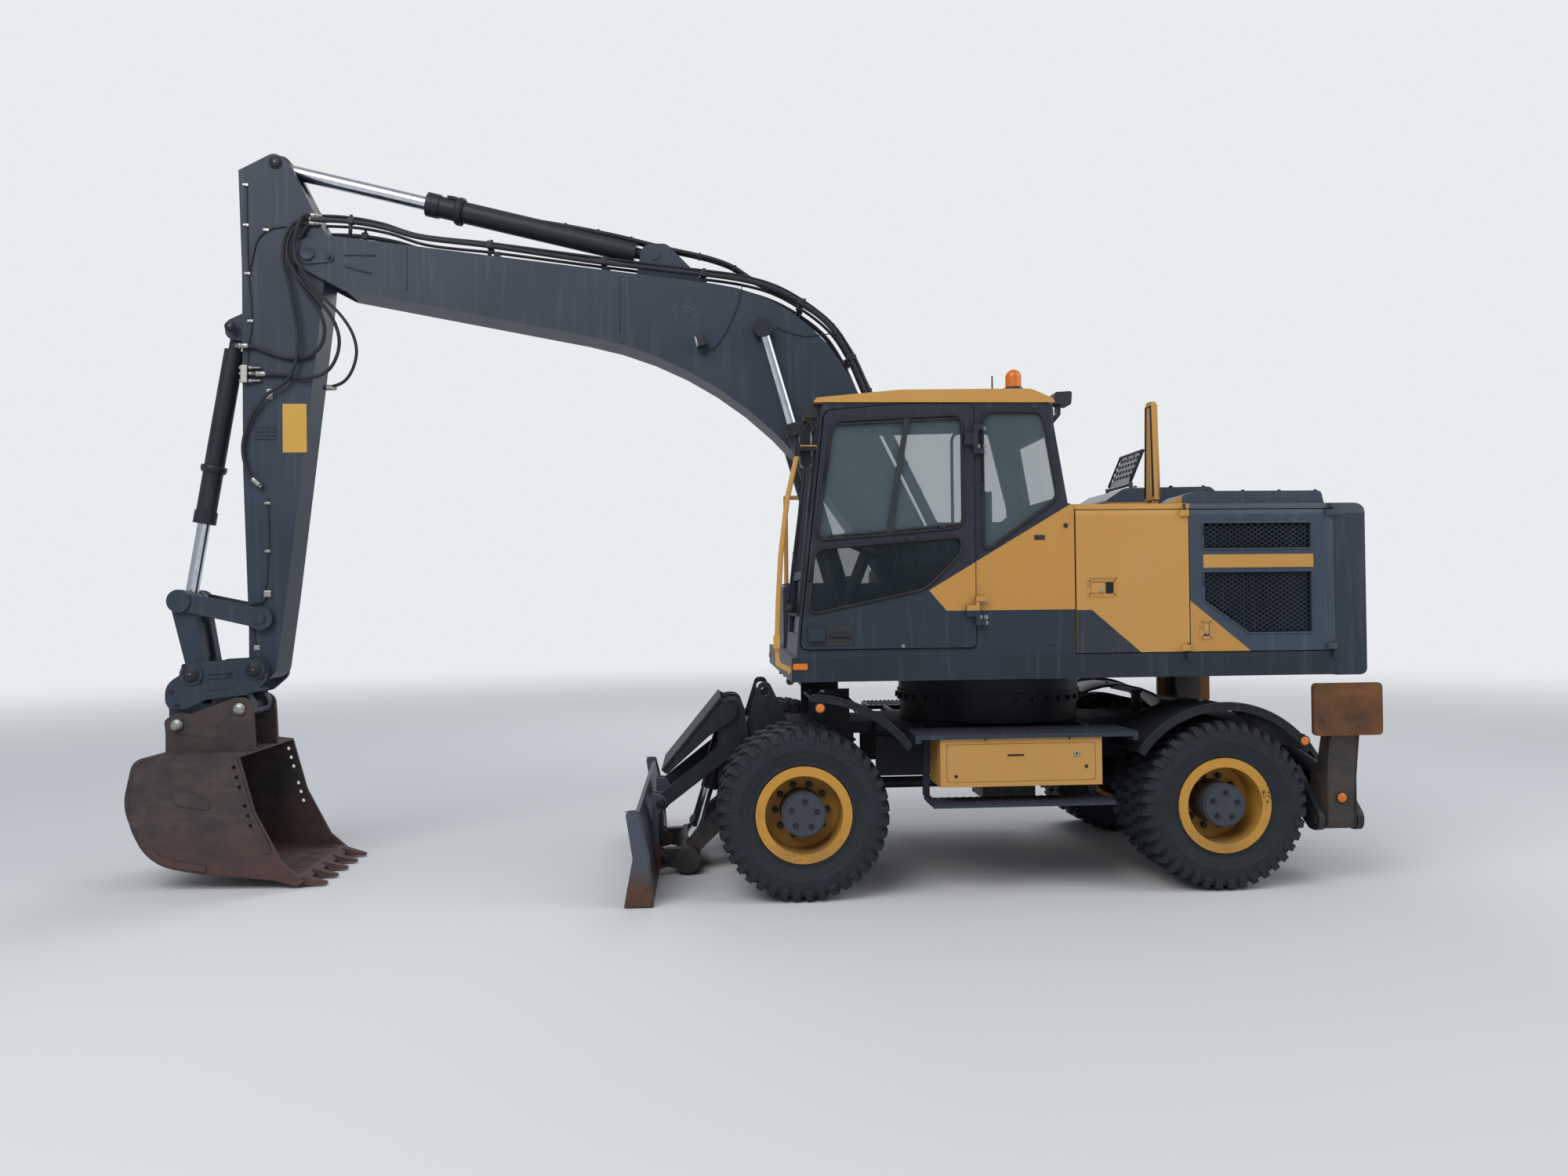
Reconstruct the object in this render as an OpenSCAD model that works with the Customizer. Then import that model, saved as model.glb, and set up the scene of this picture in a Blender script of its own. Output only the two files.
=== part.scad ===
// Wheeled excavator on twin tyres, with a one-piece boom, a dozer blade at the
// front and two folding outriggers at the rear.
// The front is towards -X, the cab side towards -Y, and the ground is z = 0.

/* [Wheels and axles] */
// Distance between the two axles
wheelbase = 2650; // [2500:10:2800]
// Radius of a tyre over its lugs
tyre_r = 535; // [520:1:540]
// Width of one tyre
tyre_w = 293; // [280:1:295]
// Gap between twin tyres
twin_gap = 37; // [30:1:60]
// Width over the outer tyres
tyre_span = 2544; // [2530:2:2560]
// Radius of the bead seat of a rim
rim_r = 254; // [250:1:258]
// Radius of the flange of a rim
flange_r = 298; // [292:1:302]
// Width of a rim over its flanges
rim_w = 250; // [240:1:256]
// Radius of the planetary hub
hub_r = 137; // [125:1:145]
// Distance of a kingpin inside the outer wall of the outer tyre
kingpin_inset = 632; // [626:1:640]
// Number of lugs on each shoulder of a tyre
lug_count = 12; // [10:1:14]

/* [Chassis] */
// Height of the top plate of the chassis
chassis_top = 1010; // [1000:1:1020]
// Half width of the chassis box behind the front wheels
chassis_half = 430; // [400:5:460]
// Half width of the chassis between the front wheels
nose_half = 345; // [330:1:350]
// Distance of the swing axis behind the middle of the wheelbase
swing_back = 120; // [100:5:140]
// Radius of the slewing ring
ring_r = 650; // [600:5:680]

/* [Upper body] */
// Width over the upper body
body_w = 2500; // [2460:10:2520]
// Height of the lower edge of the skirts
skirt_bottom = 1348; // [1340:1:1352]
// Height of the deck
deck_z = 1498; // [1480:1:1510]
// Height of the engine housing
hood_z = 2436; // [2400:2:2460]
// Radius of the rear of the counterweight about the swing axis
tail_r = 2480; // [2450:5:2500]
// Thickness of the side doors
door_t = 40; // [30:1:45]
// Gap round a door
door_gap = 6; // [5:1:10]
// Distance of the inner wall of the cab from the middle of the machine
cab_inner = 345; // [340:1:380]
// Thickness of the walls of the cab
cab_wall = 45; // [35:1:60]

/* [Working arm] */
// Half width of the boom
boom_half = 190; // [180:1:195]
// Half width of the arm
arm_half = 145; // [140:1:150]
// Distance of a boom cylinder from the middle of the machine
boom_cyl_y = 268; // [266:1:270]
// Radius of the barrel of a boom cylinder
boom_barrel_r = 62; // [56:1:62]
// Radius of a boom cylinder rod
boom_rod_r = 35; // [32:1:38]
// Radius of the barrel of the arm cylinder
arm_barrel_r = 75; // [70:1:80]
// Radius of the barrel of the bucket cylinder
bucket_barrel_r = 66; // [60:1:70]
// Width of the bucket
bucket_w = 1040; // [1000:10:1100]
// Thickness of the shell of the bucket
bucket_t = 25; // [16:1:30]
// Number of teeth on the bucket
tooth_count = 5; // [4:1:6]

/* [Blade and outriggers] */
// Width of the dozer blade
blade_w = 2540; // [2500:10:2550]
// Distance of a blade cylinder from the middle of the machine
blade_cyl_y = 255; // [250:1:260]
// Width of the pad of an outrigger
pad_w = 450; // [400:10:450]
// Height of the pad of an outrigger
pad_h = 330; // [300:5:340]
// Distance of the pivot of an outrigger from the middle of the machine
leg_pivot_y = 1130; // [1120:1:1140]

/* [Hidden] */
$fn = 48;
// The origin lies under the middle of the machine's box, this far ahead of
// the middle of the wheelbase
mid_x = 1545;
// Running gap between a shaft and its hole
fit = 0.06;
// Gap between pieces that are bolted or seated
seat_gap = 0.3;
// Side gap at a pin joint
side_gap = 5;

front_x = -wheelbase / 2;
rear_x = wheelbase / 2;
wheel_z = tyre_r;
tyre_y = tyre_span / 2 - tyre_w / 2;
inner_tyre_y = tyre_y - tyre_w - twin_gap;
body_y = body_w / 2;
kingpin_y = tyre_span / 2 - kingpin_inset;

// Pivots of the working arm, as [x, z]
boom_foot = [-320, 1850];
boom_tip = [-4618, 4272];
boom_cyl_base = [-870, 1600];
boom_cyl_pin = [-1496, 3754];
arm_cyl_base = [-2249, 4321];
arm_cyl_pin = [-4845, 4915];
bucket_cyl_base = [-5157, 3780];
rocker_pivot = [-4948, 1770];
rocker_end = [-5488, 1894];
bucket_pivot = [-4972, 1424];
coupler_pin = [-5385, 1399];
bucket_pin_rear = [-5071, 1158];
bucket_pin_front = [-5482, 1056];

// Pivots of the blade, as [x, z]
blade_top_pin = [-1740, 1100];
link_pivot = [-1743, 865];
link_end = [-2229, 494];
arm_end = [-2201, 118];
arm_root = arm_end + link_pivot - link_end;
blade_cyl_pin = [-1999, 251];

// Pivots of the outriggers, as [y, z] on the right side
leg_pivot = [leg_pivot_y, 412];
leg_cyl_pin = [leg_pivot_y - 89, 655];
leg_cyl_base = [420, 800];
leg_x = 2110;
beam_front = 1962;
beam_rear = 2258;

// Hinges of the doors, as [x, y] or [x, z]
cab_door_hinge = [-241, -body_y - 32];
door_split = 391;
grille_split = 1116;
hood_rear = 2062;
// The hatch beside the cab and the lid by it, as [x, z], with their sizes
hatch_hinge = [1045, hood_z + 30];
hatch_y0 = -body_y + 320;
hatch_w = 170;
hatch_reach = 672;
lid_hinge = [1010, hood_z + 190];
lid_y = [-530, -90];
lid_reach = 262;

lifting_eye = [-5612, 1040];
lifting_r = 24;
// Half width of the boss at the tip of the arm
boss_half = 195;
// Hinges of the side doors, as [x, side]
hinge_back = 15;
side_hinges = [[grille_split - hinge_back, -1], [hood_rear - hinge_back, -1], [hood_rear - hinge_back, 1]];
hinge_y = body_y + 14;
// Bevel along the top of the side walls, as [width, height]
bevel = [34, 70];

// Point part of the way from a to b
function between(a, b, t) = a + (b - a) * t;
function arc(c, r, a0, a1, n) = [for (i = [0:n]) c + r * [cos(a0 + (a1 - a0) * i / n), sin(a0 + (a1 - a0) * i / n)]];

// Round stretch at corner b between a and c, with radius r
function fillet(a, b, c, r, n) =
    let (u = (a - b) / norm(a - b), v = (c - b) / norm(c - b))
    let (half = acos(max(-1, min(1, u * v))) / 2)
    let (m = b + (u + v) / norm(u + v) * r / sin(half))
    let (p = b + u * r / tan(half), q = b + v * r / tan(half))
    let (a0 = atan2(p[1] - m[1], p[0] - m[0]), turn = atan2(q[1] - m[1], q[0] - m[0]) - a0)
    let (sweep = turn > 180 ? turn - 360 : turn < -180 ? turn + 360 : turn)
    arc(m, r, a0, a0 + sweep, n);

// Outline from corners given as [x, z, radius]; a radius of 0 is a sharp corner
function outline(c, n = 4) = [for (i = [0:len(c) - 1])
    let (here = [c[i][0], c[i][1]], k = len(c))
    let (before = [c[(i + k - 1) % k][0], c[(i + k - 1) % k][1]])
    let (after = [c[(i + 1) % k][0], c[(i + 1) % k][1]])
    each (c[i][2] == 0 ? [here] : fillet(before, here, after, c[i][2], n))];

// Everything is drawn from the middle of the wheelbase
module placed() {
    translate([mid_x, 0, 0]) children();
}

module both_sides() {
    children();
    mirror([0, 1, 0]) children();
}

// Flat shape in the XZ plane, extruded from y0 to y1
module slab_y(y0, y1) {
    translate([0, max(y0, y1), 0]) rotate([90, 0, 0]) linear_extrude(abs(y1 - y0)) children();
}

// Flat shape in the YZ plane, extruded from x0 to x1
module slab_x(x0, x1) {
    translate([x0, 0, 0]) rotate([90, 0, 90]) linear_extrude(x1 - x0) children();
}

module plate(points, y0, y1) {
    slab_y(y0, y1) polygon(points);
}

// Round bar along Y at p = [x, z]
module bar_y(p, r, y0, y1) {
    translate([p[0], max(y0, y1), p[1]]) rotate([90, 0, 0]) cylinder(r = r, h = abs(y1 - y0));
}

// Round bar in the XZ plane from p towards q, between distances d0 and d1
module bar_xz(p, q, r, d0, d1, y = 0) {
    turn = atan2(q[0] - p[0], q[1] - p[1]);
    translate([p[0], y, p[1]]) rotate([0, turn, 0]) translate([0, 0, d0]) cylinder(r = r, h = d1 - d0);
}

// Eye of a rod or barrel: a tube across Y, filled by its pin
module eye(p, r, y, w) {
    bar_y(p, r, y - w / 2, y + w / 2);
}

module box(x0, x1, y0, y1, z0, z1) {
    translate([x0, y0, z0]) cube([x1 - x0, y1 - y0, z1 - z0]);
}

// One tyre, centred on y = 0; the profile of its shell is a table of
// [radius, half width], and a ring of lugs stands on each of its shoulders
module tyre() {
    wall = tyre_w / 2;
    bead_w = rim_w / 2 - 14 - seat_gap;
    profile = [[rim_r + seat_gap, bead_w], [flange_r + 1, bead_w], [410, wall], [470, wall - 16]];
    rotate([90, 0, 0]) rotate_extrude($fn = 18)
        polygon([for (p = profile) [p[0], p[1]], for (i = [len(profile) - 1:-1:0]) [profile[i][0], -profile[i][1]]]);
    slab_y(-wall + 7, 0) lug_ring(0);
    slab_y(0, wall - 7) lug_ring(180 / lug_count);
}

// Half of the tread in the XZ plane, with its lugs turned by an angle; the root
// and the crown of a lug are given as [radius, half angle at twelve lugs]
module lug_ring(turn) {
    root = [tyre_r - 26, 6.6];
    crown = [tyre_r, 4.8];
    difference() {
        polygon([for (i = [0:lug_count - 1], c = [[root, -1], [crown, -1], [crown, 1], [root, 1]])
            let (a = turn + i * 360 / lug_count + c[1] * c[0][1] * 12 / lug_count) c[0][0] * [cos(a), sin(a)]]);
        circle(r = 420);
    }
}

module tyre_pair(x, side) {
    for (y = [tyre_y, inner_tyre_y])
        translate([x, side * y, wheel_z]) tyre();
}

// Rim pair with its hub; the outer side faces +Y
module rim_barrel() {
    rotate([90, 0, 0]) rotate_extrude() polygon([
        [rim_r - 14, -rim_w / 2], [flange_r, -rim_w / 2], [flange_r, -rim_w / 2 + 13.7],
        [rim_r, -rim_w / 2 + 14], [rim_r, rim_w / 2 - 14], [flange_r, rim_w / 2 - 13.7],
        [flange_r, rim_w / 2], [rim_r - 14, rim_w / 2]]);
}

module wheel_disc() {
    disc_y = tyre_y - rim_w / 2;
    face_y = tyre_y + rim_w / 2;
    back_y = inner_tyre_y + rim_w / 2;
    for (y = [tyre_y, inner_tyre_y])
        translate([0, y, 0]) rim_barrel();
    difference() {
        union() {
            bar_y([0, 0], rim_r - 14, disc_y - 2, disc_y + 14);
            bar_y([0, 0], 185, back_y - 25, disc_y);
            bar_y([0, 0], hub_r, disc_y, face_y - 14);
            bar_y([0, 0], hub_r - 12, disc_y, face_y - 2);
            for (i = [0:9])
                rotate([0, 36 * i, 0]) bar_y([165, 0], 14, disc_y, disc_y + 34);
        }
        bar_y([0, 0], spindle_r + fit, back_y - 40, back_y + 40);
    }
    difference() {
        bar_y([0, 0], rim_r, back_y - 6, disc_y - 2);
        bar_y([0, 0], rim_r - 34, back_y - 7, disc_y - 3);
    }
    difference() {
        bar_y([0, 0], rim_r - 14, disc_y - 14, disc_y - 2);
        bar_y([0, 0], 180, disc_y - 15, disc_y - 1);
    }
}
spindle_r = 60;

module wheel(x, side) {
    translate([x, 0, wheel_z]) mirror([0, side < 0 ? 1 : 0, 0]) wheel_disc();
}

// Steered knuckle with its brake housing and spindle; the outer side faces +Y
module knuckle(side) {
    back_y = inner_tyre_y + rim_w / 2;
    translate([front_x, 0, wheel_z]) mirror([0, side < 0 ? 1 : 0, 0]) {
        bar_y([0, 0], 185, kingpin_y + 75, back_y - 31);
        bar_y([0, 0], spindle_r, kingpin_y + 75, back_y + 34);
        bar_y([0, 0], 95, kingpin_y, kingpin_y + 80);
        translate([0, kingpin_y, -132]) cylinder(r = 62, h = 264);
        translate([0, kingpin_y, -180]) cylinder(r = 30, h = 360);
    }
}

module axle(x, steered) {
    translate([x, 0, wheel_z]) {
        sphere(r = 185);
        bar_y([0, 0], 110, -kingpin_y + 120, kingpin_y - 120);
        if (steered) {
            both_sides() {
                difference() {
                    union() {
                        box(-62, 62, kingpin_y - 140, kingpin_y - 80, -185, 185);
                        for (z = [140, -185])
                            box(-55, 55, kingpin_y - 85, kingpin_y + 50, z, z + 45);
                    }
                    translate([0, kingpin_y, -200]) cylinder(r = 30 + fit, h = 400);
                }
            }
        }
        else {
            back_y = inner_tyre_y + rim_w / 2;
            both_sides() {
                bar_y([0, 0], 110, kingpin_y - 125, kingpin_y + 80);
                bar_y([0, 0], 185, kingpin_y + 75, back_y - 31);
                bar_y([0, 0], spindle_r, kingpin_y + 75, back_y + 34);
            }
        }
    }
}

// Both axles, the gearbox between them and the drive shafts
module running_gear() {
    color("#2b2e33") placed() {
        axle(front_x, true);
        axle(rear_x, false);
        box(40, 420, -170, 170, 430, 645 - seat_gap);
        for (s = [-1, 1])
            box(rear_x - 80, rear_x + 80, s * 230 - 45, s * 230 + 45, wheel_z, 725 - seat_gap);
        box(front_x - 90, front_x + 90, -110, 110, wheel_z, 725 - seat_gap);
        translate([0, 0, wheel_z]) {
            bar_x(front_x + 180, 45, 40);
            bar_x(415, rear_x - 180, 40);
        }
    }
}

module bar_x(x0, x1, r) {
    translate([x0, 0, 0]) rotate([0, 90, 0]) cylinder(r = r, h = x1 - x0);
}

// Welded chassis: nose with the blade's pivots, box, slewing ring and rear beam
module chassis_frame() {
    nose_x = -1840;
    color("#2f333a") placed() {
        difference() {
            union() {
                box(-760, 800, -chassis_half, chassis_half, 645, chassis_top);
                plate(outline([[-1650, 725, 0], [-1650, chassis_top, 0], [-760, chassis_top, 0], [-760, 725, 0]]),
                    -nose_half + 15, nose_half - 15);
                plate(outline([[800, chassis_top, 0], [1900, chassis_top, 0], [beam_rear, 880, 0], [beam_rear, 480, 0],
                    [beam_front, 480, 0], [beam_front - 60, 725, 0], [800, 725, 0]]), -300, 300);
            }
            box(-900, 850, -chassis_half + 25, chassis_half - 25, 600, 930);
        }
        translate([swing_back, 0, chassis_top]) {
            difference() {
                cylinder(r = ring_r - 20, h = 120);
                translate([0, 0, -1]) cylinder(r = ring_r - 60, h = 130);
            }
            translate([0, 0, 120]) difference() {
                cylinder(r = ring_r, h = 80);
                translate([0, 0, -1]) cylinder(r = ring_r - 90, h = 90);
            }
        }
        both_sides() {
            // Column plates that carry the blade's pivots
            for (y = [blade_cyl_y - 105, blade_cyl_y + 75])
                plate(outline([[nose_x, 430, 60], [nose_x, 1000, 0], [blade_top_pin[0] - 75, 1180, 70],
                    [blade_top_pin[0] + 75, 1180, 70], [-1640, 1000, 0], [-1600, 740, 0], [-1640, 430, 60]]), y, y + 30);
            bar_y(arm_root, 36, blade_cyl_y - 105, blade_cyl_y + 105);
            bar_y(blade_top_pin, 34, blade_cyl_y - 105, blade_cyl_y + 142);
            bar_y(link_pivot, 30, blade_cyl_y + 100, 430);
            // Lashing plate
            difference() {
                plate(outline([[-1640, 1010, 0], [-1550, 1290, 38], [-1480, 1290, 38], [-1350, 1010, 0]]), 290, 320);
                bar_y([-1515, 1225], lash_r, 280, 330);
            }
            // Rear beam and the ears of the outriggers
            slab_x(beam_front, beam_rear) polygon([[299, 480], [299, 640], [860, 520], [860, 470]]);
            for (x = [beam_front, beam_rear - 40])
                slab_x(x, x + 40) polygon(outline([[299, 880, 0], [460, 880, 60], [700, 725, 0], [880, 725, 0],
                    [leg_pivot[0] + 65, 450, 60], [leg_pivot[0] + 65, 345, 60], [leg_pivot[0] - 65, 345, 60],
                    [860, 470, 0], [299, 480, 0]]));
            translate([0, leg_pivot[0], leg_pivot[1]]) bar_x(beam_front - 14, beam_rear + 14, 36);
            translate([0, leg_cyl_base[0], leg_cyl_base[1]]) bar_x(beam_front, beam_rear, 28);
        }
    }
}
lash_r = 30;

// Fixed half of a door hinge: a lug from z0 to z1 with a pin on to z2
module hinge_pin(h, z0, z1, z2) {
    lo = min(z0, z1);
    hi = max(z0, z1);
    translate([h[0], h[1] * hinge_y, lo]) cylinder(r = 13, h = hi - lo);
    translate([h[0], h[1] * hinge_y, min(z1, z2)]) cylinder(r = 6, h = abs(z2 - z1));
    side_box(h[1], h[0] - 11, h[0] + 11, body_y - bevel[0] - 2, hinge_y, lo, hi);
}

// Box on one side of the machine, between two distances from its middle
module side_box(side, x0, x1, d0, d1, z0, z1) {
    box(x0, x1, min(side * d0, side * d1), max(side * d0, side * d1), z0, z1);
}

// Moving half of a door hinge: two knuckles on the face of the door
module hinge_knuckles(h) {
    for (z = [deck_z + 12, hood_z - 82])
        difference() {
            union() {
                translate([h[0], h[1] * hinge_y, z]) cylinder(r = 12, h = 38);
                side_box(h[1], h[0] - 45, h[0], body_y - 20, hinge_y + 6, z, z + 38);
            }
            translate([h[0], h[1] * hinge_y, z - 10]) cylinder(r = 6 + fit, h = 60);
        }
}

// Arc-shaped mudguards over the wheels, with their stays
module fender(c, r, a0, a1, lip) {
    plate([each arc(c, r + 20, a0, a1, 12), each arc(c, r, a1, a0, 12)], 700, body_y + 5);
    plate([each arc(c, r + 32, a0 - 0.5, a1 + 0.5, 12), each arc(c, r - lip, a1 + 0.5, a0 - 0.5, 12)],
        body_y - 10, body_y + 20);
}

module fenders() {
    color("#23262b") placed() both_sides() {
        fender([-1300, 465], 772, 37, 88, 8);
        fender([rear_x, 500], 645, 35, 145, 12);
        box(-1200, -1140, nose_half, 720, 1205, 1235);
        box(-1000, -940, nose_half, 720, 1150, 1180);
        box(-1210, -930, nose_half - 15 + seat_gap, nose_half + 5, 960, 1240);
        box(rear_x - 40, rear_x + 40, 245, 720, 1130, 1155);
        box(rear_x - 30, rear_x + 30, 250, 290, chassis_top + seat_gap, 1140);
    }
}

// Steps on both sides, with their hangers
module steps() {
    color("#3b3f46") placed() both_sides() {
        box(-634, 765, 860, body_y + 20, 983 + seat_gap, 1014);
        box(-634, -600, 860, body_y + 20, 960, 984);
        box(731, 765, 860, body_y + 20, 960, 984);
        box(-523, 620, 1000, body_y + 20, 560, 583);
        for (x = [-520, 580]) {
            box(x, x + 40, chassis_half + seat_gap, 900, 990, 1009);
            box(x, x + 40, 860, 900, 583, 990);
            box(x, x + 40, 900, 1005, 560, 583);
        }
        box(-480, 575, chassis_half + seat_gap, 862, 960, 983);
    }
}

module tool_boxes() {
    color("#e2a33a") placed() both_sides() {
        difference() {
            box(-478, 540, 905, body_y, 686, 983);
            box(-440, 500, body_y - 6, body_y + 1, 715, 950);
        }
    }
}

// Dozer blade: curved mouldboard with side plates
module blade() {
    x0 = -2419;
    color("#3f4248") placed() {
        plate(outline([[x0 + 60, 560, 0], [x0 + 85, 560, 0], [-2285, 300, 300], [-2249, 8, 0], [x0, 8, 0], [-2330, 300, 300]]),
            -blade_w / 2 + 25, blade_w / 2 - 25);
        both_sides() {
            plate(outline([[x0 + 5, 590, 30], [-2330, 590, 30], [-2270, 330, 60], [-2245, 8, 0], [x0 - 5, 8, 0], [-2370, 300, 60]]),
                blade_w / 2 - 25, blade_w / 2);
            // Lugs for the lower arms and the upper links
            for (y = [300, 420])
                plate(outline([[-2290, 40, 0], [-2290, 560, 0], [-2200, 545, 45], [-2180, 480, 45], [-2250, 420, 0],
                    [-2240, 180, 0], [-2160, 120, 40], [-2190, 60, 30]]), y, y + 25);
            bar_y(link_end, 30, 300, 460);
            bar_y(arm_end, 32, 300, 460);
        }
    }
}

// Lower arms of the blade, joined by a cross tube
module blade_arms() {
    tube = [-2053, 104];
    color("#33373d") placed() {
        bar_y(tube, 86, -445, 445);
        both_sides() {
            for (y = [blade_cyl_y - 65, blade_cyl_y + 35])
                difference() {
                    plate(outline([[arm_root[0] + 45, arm_root[1] + 60, 48], [arm_root[0] + 55, arm_root[1] - 60, 48],
                        [-1930, 180, 60], [tube[0], 40, 30], [tube[0] - 60, 60, 30],
                        [-2060, 200, 30], [-1960, 330, 40]]), y, y + 30);
                    bar_y(arm_root, 36 + fit, 0, 500);
                }
            difference() {
                plate(outline([[tube[0], 30, 0], [tube[0], 180, 30], [arm_end[0] - 20, 175, 45], [arm_end[0] - 50, 118, 45],
                    [arm_end[0] - 10, 62, 45]]), 335, 410);
                bar_y(arm_end, 32 + fit, 0, 500);
            }
        }
    }
}

// Upper links of the blade, outside the column plates
module blade_links() {
    color("#33373d") placed() both_sides() {
        difference() {
            union() {
                bar_y(link_pivot, 62, 366, 420);
                bar_y(link_end, 55, 366, 412);
                plate(strip(link_pivot, link_end, 52, 48), 372, 410);
            }
            bar_y(link_pivot, 30 + fit, 300, 500);
            bar_y(link_end, 30 + fit, 300, 500);
        }
    }
}

// Four-sided strip from a to b, with half widths u and v
function strip(a, b, u, v) =
    let (d = (b - a) / norm(b - a), n = [-d[1], d[0]])
    [a + n * u, b + n * v, b - n * v, a - n * u];

// Guard plate over the blade cylinders, hung on their top pins
module blade_guard() {
    top = blade_top_pin;
    low = [-2205, 690];
    d = (low - top) / norm(low - top);
    n = [d[1], -d[0]];
    color("#4a4e55") placed() {
        plate([top + n * 128, low + n * 30, low + n * 18, top + n * 112], -150 - blade_cyl_y, 150 + blade_cyl_y);
        both_sides() difference() {
            plate(outline([[top[0] + n[0] * 112, top[1] + n[1] * 112, 0], [low[0] + n[0] * 18, low[1] + n[1] * 18, 0],
                [low[0] - n[0] * 20, low[1] - n[1] * 20, 20], [top[0] + d[0] * 230 - n[0] * 20, top[1] + d[1] * 230 - n[1] * 20, 60],
                [top[0] - n[0] * 50, top[1] - n[1] * 50, 40], [top[0] - d[0] * 50, top[1] - d[1] * 50, 30]]),
                blade_cyl_y + 111, blade_cyl_y + 135);
            bar_y(top, 34 + fit, 0, 500);
        }
    }
}

module blade_barrels() {
    length = norm(blade_cyl_pin - blade_top_pin);
    color("#33373d") placed() both_sides() {
        difference() {
            union() {
                bar_y(blade_top_pin, 56, blade_cyl_y - 70, blade_cyl_y + 70);
                difference() {
                    bar_xz(blade_top_pin, blade_cyl_pin, 58, 20, 560, blade_cyl_y);
                    bar_xz(blade_top_pin, blade_cyl_pin, 32 + fit, 120, 561, blade_cyl_y);
                }
            }
            bar_y(blade_top_pin, 34 + fit, 0, 500);
        }
    }
}

module blade_rods() {
    length = norm(blade_cyl_pin - blade_top_pin);
    color("#c9cdd2") placed() both_sides() {
        bar_xz(blade_top_pin, blade_cyl_pin, 32, 380, length - 30, blade_cyl_y);
        eye(blade_cyl_pin, 50, blade_cyl_y, 69);
    }
}

// Outrigger leg with its pad, folded up beside the machine; drawn on the +Y side
module outrigger() {
    sole = body_y + 42;
    color("#4c4a47") {
        difference() {
            slab_x(leg_x - 98, leg_x + 98) polygon(outline([[leg_pivot[0] - 60, 355, 50], [leg_pivot[0] + 60, 355, 50],
                [leg_pivot[0] + 70, 700, 0], [sole - 50, 980, 0], [sole - 50, 1230, 10], [sole - 80, 1230, 10],
                [leg_pivot[0] - 50, 760, 60], [leg_cyl_pin[0] - 45, leg_cyl_pin[1] + 60, 40],
                [leg_cyl_pin[0] - 45, leg_cyl_pin[1] - 50, 40]]));
            slab_x(leg_x - 50, leg_x + 50) polygon([[leg_pivot[0] - 200, 300], [leg_pivot[0] - 38, 300],
                [leg_pivot[0] - 38, 520], [leg_cyl_pin[0] + 75, 560], [leg_cyl_pin[0] + 75, 790], [leg_pivot[0] - 200, 790]]);
            translate([0, leg_pivot[0], leg_pivot[1]]) bar_x(leg_x - 120, leg_x + 120, 36 + fit);
        }
        plate(outline([for (c = [[-1, -1], [-1, 1], [1, 1], [1, -1]]) [leg_x + c[0] * pad_w / 2, 1130 + c[1] * pad_h / 2, 28]]),
            sole - 30, sole);
        box(leg_x - 140, leg_x + 140, sole - 50, sole - 30, 1010, 1250);
    }
}

module on_side(side) {
    placed() mirror([0, side < 0 ? 1 : 0, 0]) children();
}

module outrigger_barrel() {
    run = norm(leg_cyl_pin - leg_cyl_base);
    tilt = atan2(leg_cyl_pin[1] - leg_cyl_base[1], leg_cyl_pin[0] - leg_cyl_base[0]);
    color("#33373d") translate([leg_x, leg_cyl_base[0], leg_cyl_base[1]]) rotate([tilt, 0, 0]) difference() {
        union() {
            translate([-48, 0, 0]) rotate([0, 90, 0]) cylinder(r = 50, h = 96);
            difference() {
                bar_y([0, 0], 56, 30, run - 90);
                bar_y([0, 0], 30 + fit, 90, run);
            }
        }
        translate([-60, 0, 0]) rotate([0, 90, 0]) cylinder(r = 28 + fit, h = 120);
    }
}

module outrigger_rod() {
    run = norm(leg_cyl_pin - leg_cyl_base);
    tilt = atan2(leg_cyl_pin[1] - leg_cyl_base[1], leg_cyl_pin[0] - leg_cyl_base[0]);
    color("#c9cdd2") translate([leg_x, leg_cyl_base[0], leg_cyl_base[1]]) rotate([tilt, 0, 0]) {
        bar_y([0, 0], 30, 100, run - 20);
        translate([-49.5, run, 0]) rotate([0, 90, 0]) cylinder(r = 42, h = 99);
    }
}

// Platform of the upper body with its skirts and the brackets of the boom
module upper_frame() {
    front = -1392;
    color("#363b43") placed() {
        difference() {
            box(front, hood_rear - seat_gap, -body_y, body_y, skirt_bottom, deck_z - seat_gap);
            box(front + 30, hood_rear, -body_y + 30, body_y - 30, skirt_bottom - 1, deck_z - 30);
        }
        translate([swing_back, 0, chassis_top + 200 + seat_gap]) cylinder(r = ring_r - 10, h = skirt_bottom - chassis_top - 140);
        for (y = [-460, 420])
            box(front + 30, hood_rear - 1, y, y + 40, 1300, deck_z - 30);
        both_sides() {
            plate(outline([[boom_foot[0] + 500, deck_z - 30, 0], [boom_foot[0] + 160, boom_foot[1] + 160, 150],
                [boom_foot[0] - 160, boom_foot[1] + 160, 150], [boom_foot[0] - 330, 1560, 0], [boom_foot[0] - 330, deck_z - 30, 0]]),
                boom_half + side_gap, boom_half + side_gap + 35);
            for (y = [boom_cyl_y - 62, boom_cyl_y + 32])
                plate(outline([[-700, deck_z - 30, 0], [boom_cyl_base[0] + 90, 1690, 80], [boom_cyl_base[0] - 90, 1690, 80],
                    [-1010, deck_z - 30, 0]]), y, y + 30);
            bar_y(boom_cyl_base, 38, boom_cyl_y - 62, boom_cyl_y + 62);
        }
        bar_y(boom_foot, 50, -boom_half - 50, boom_half + 50);
        // Lower pins of the side doors, and the pins of the cab door below
        for (h = side_hinges)
            hinge_pin(h, skirt_bottom + 100, deck_z - seat_gap, deck_z + 60);
    }
}

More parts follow.
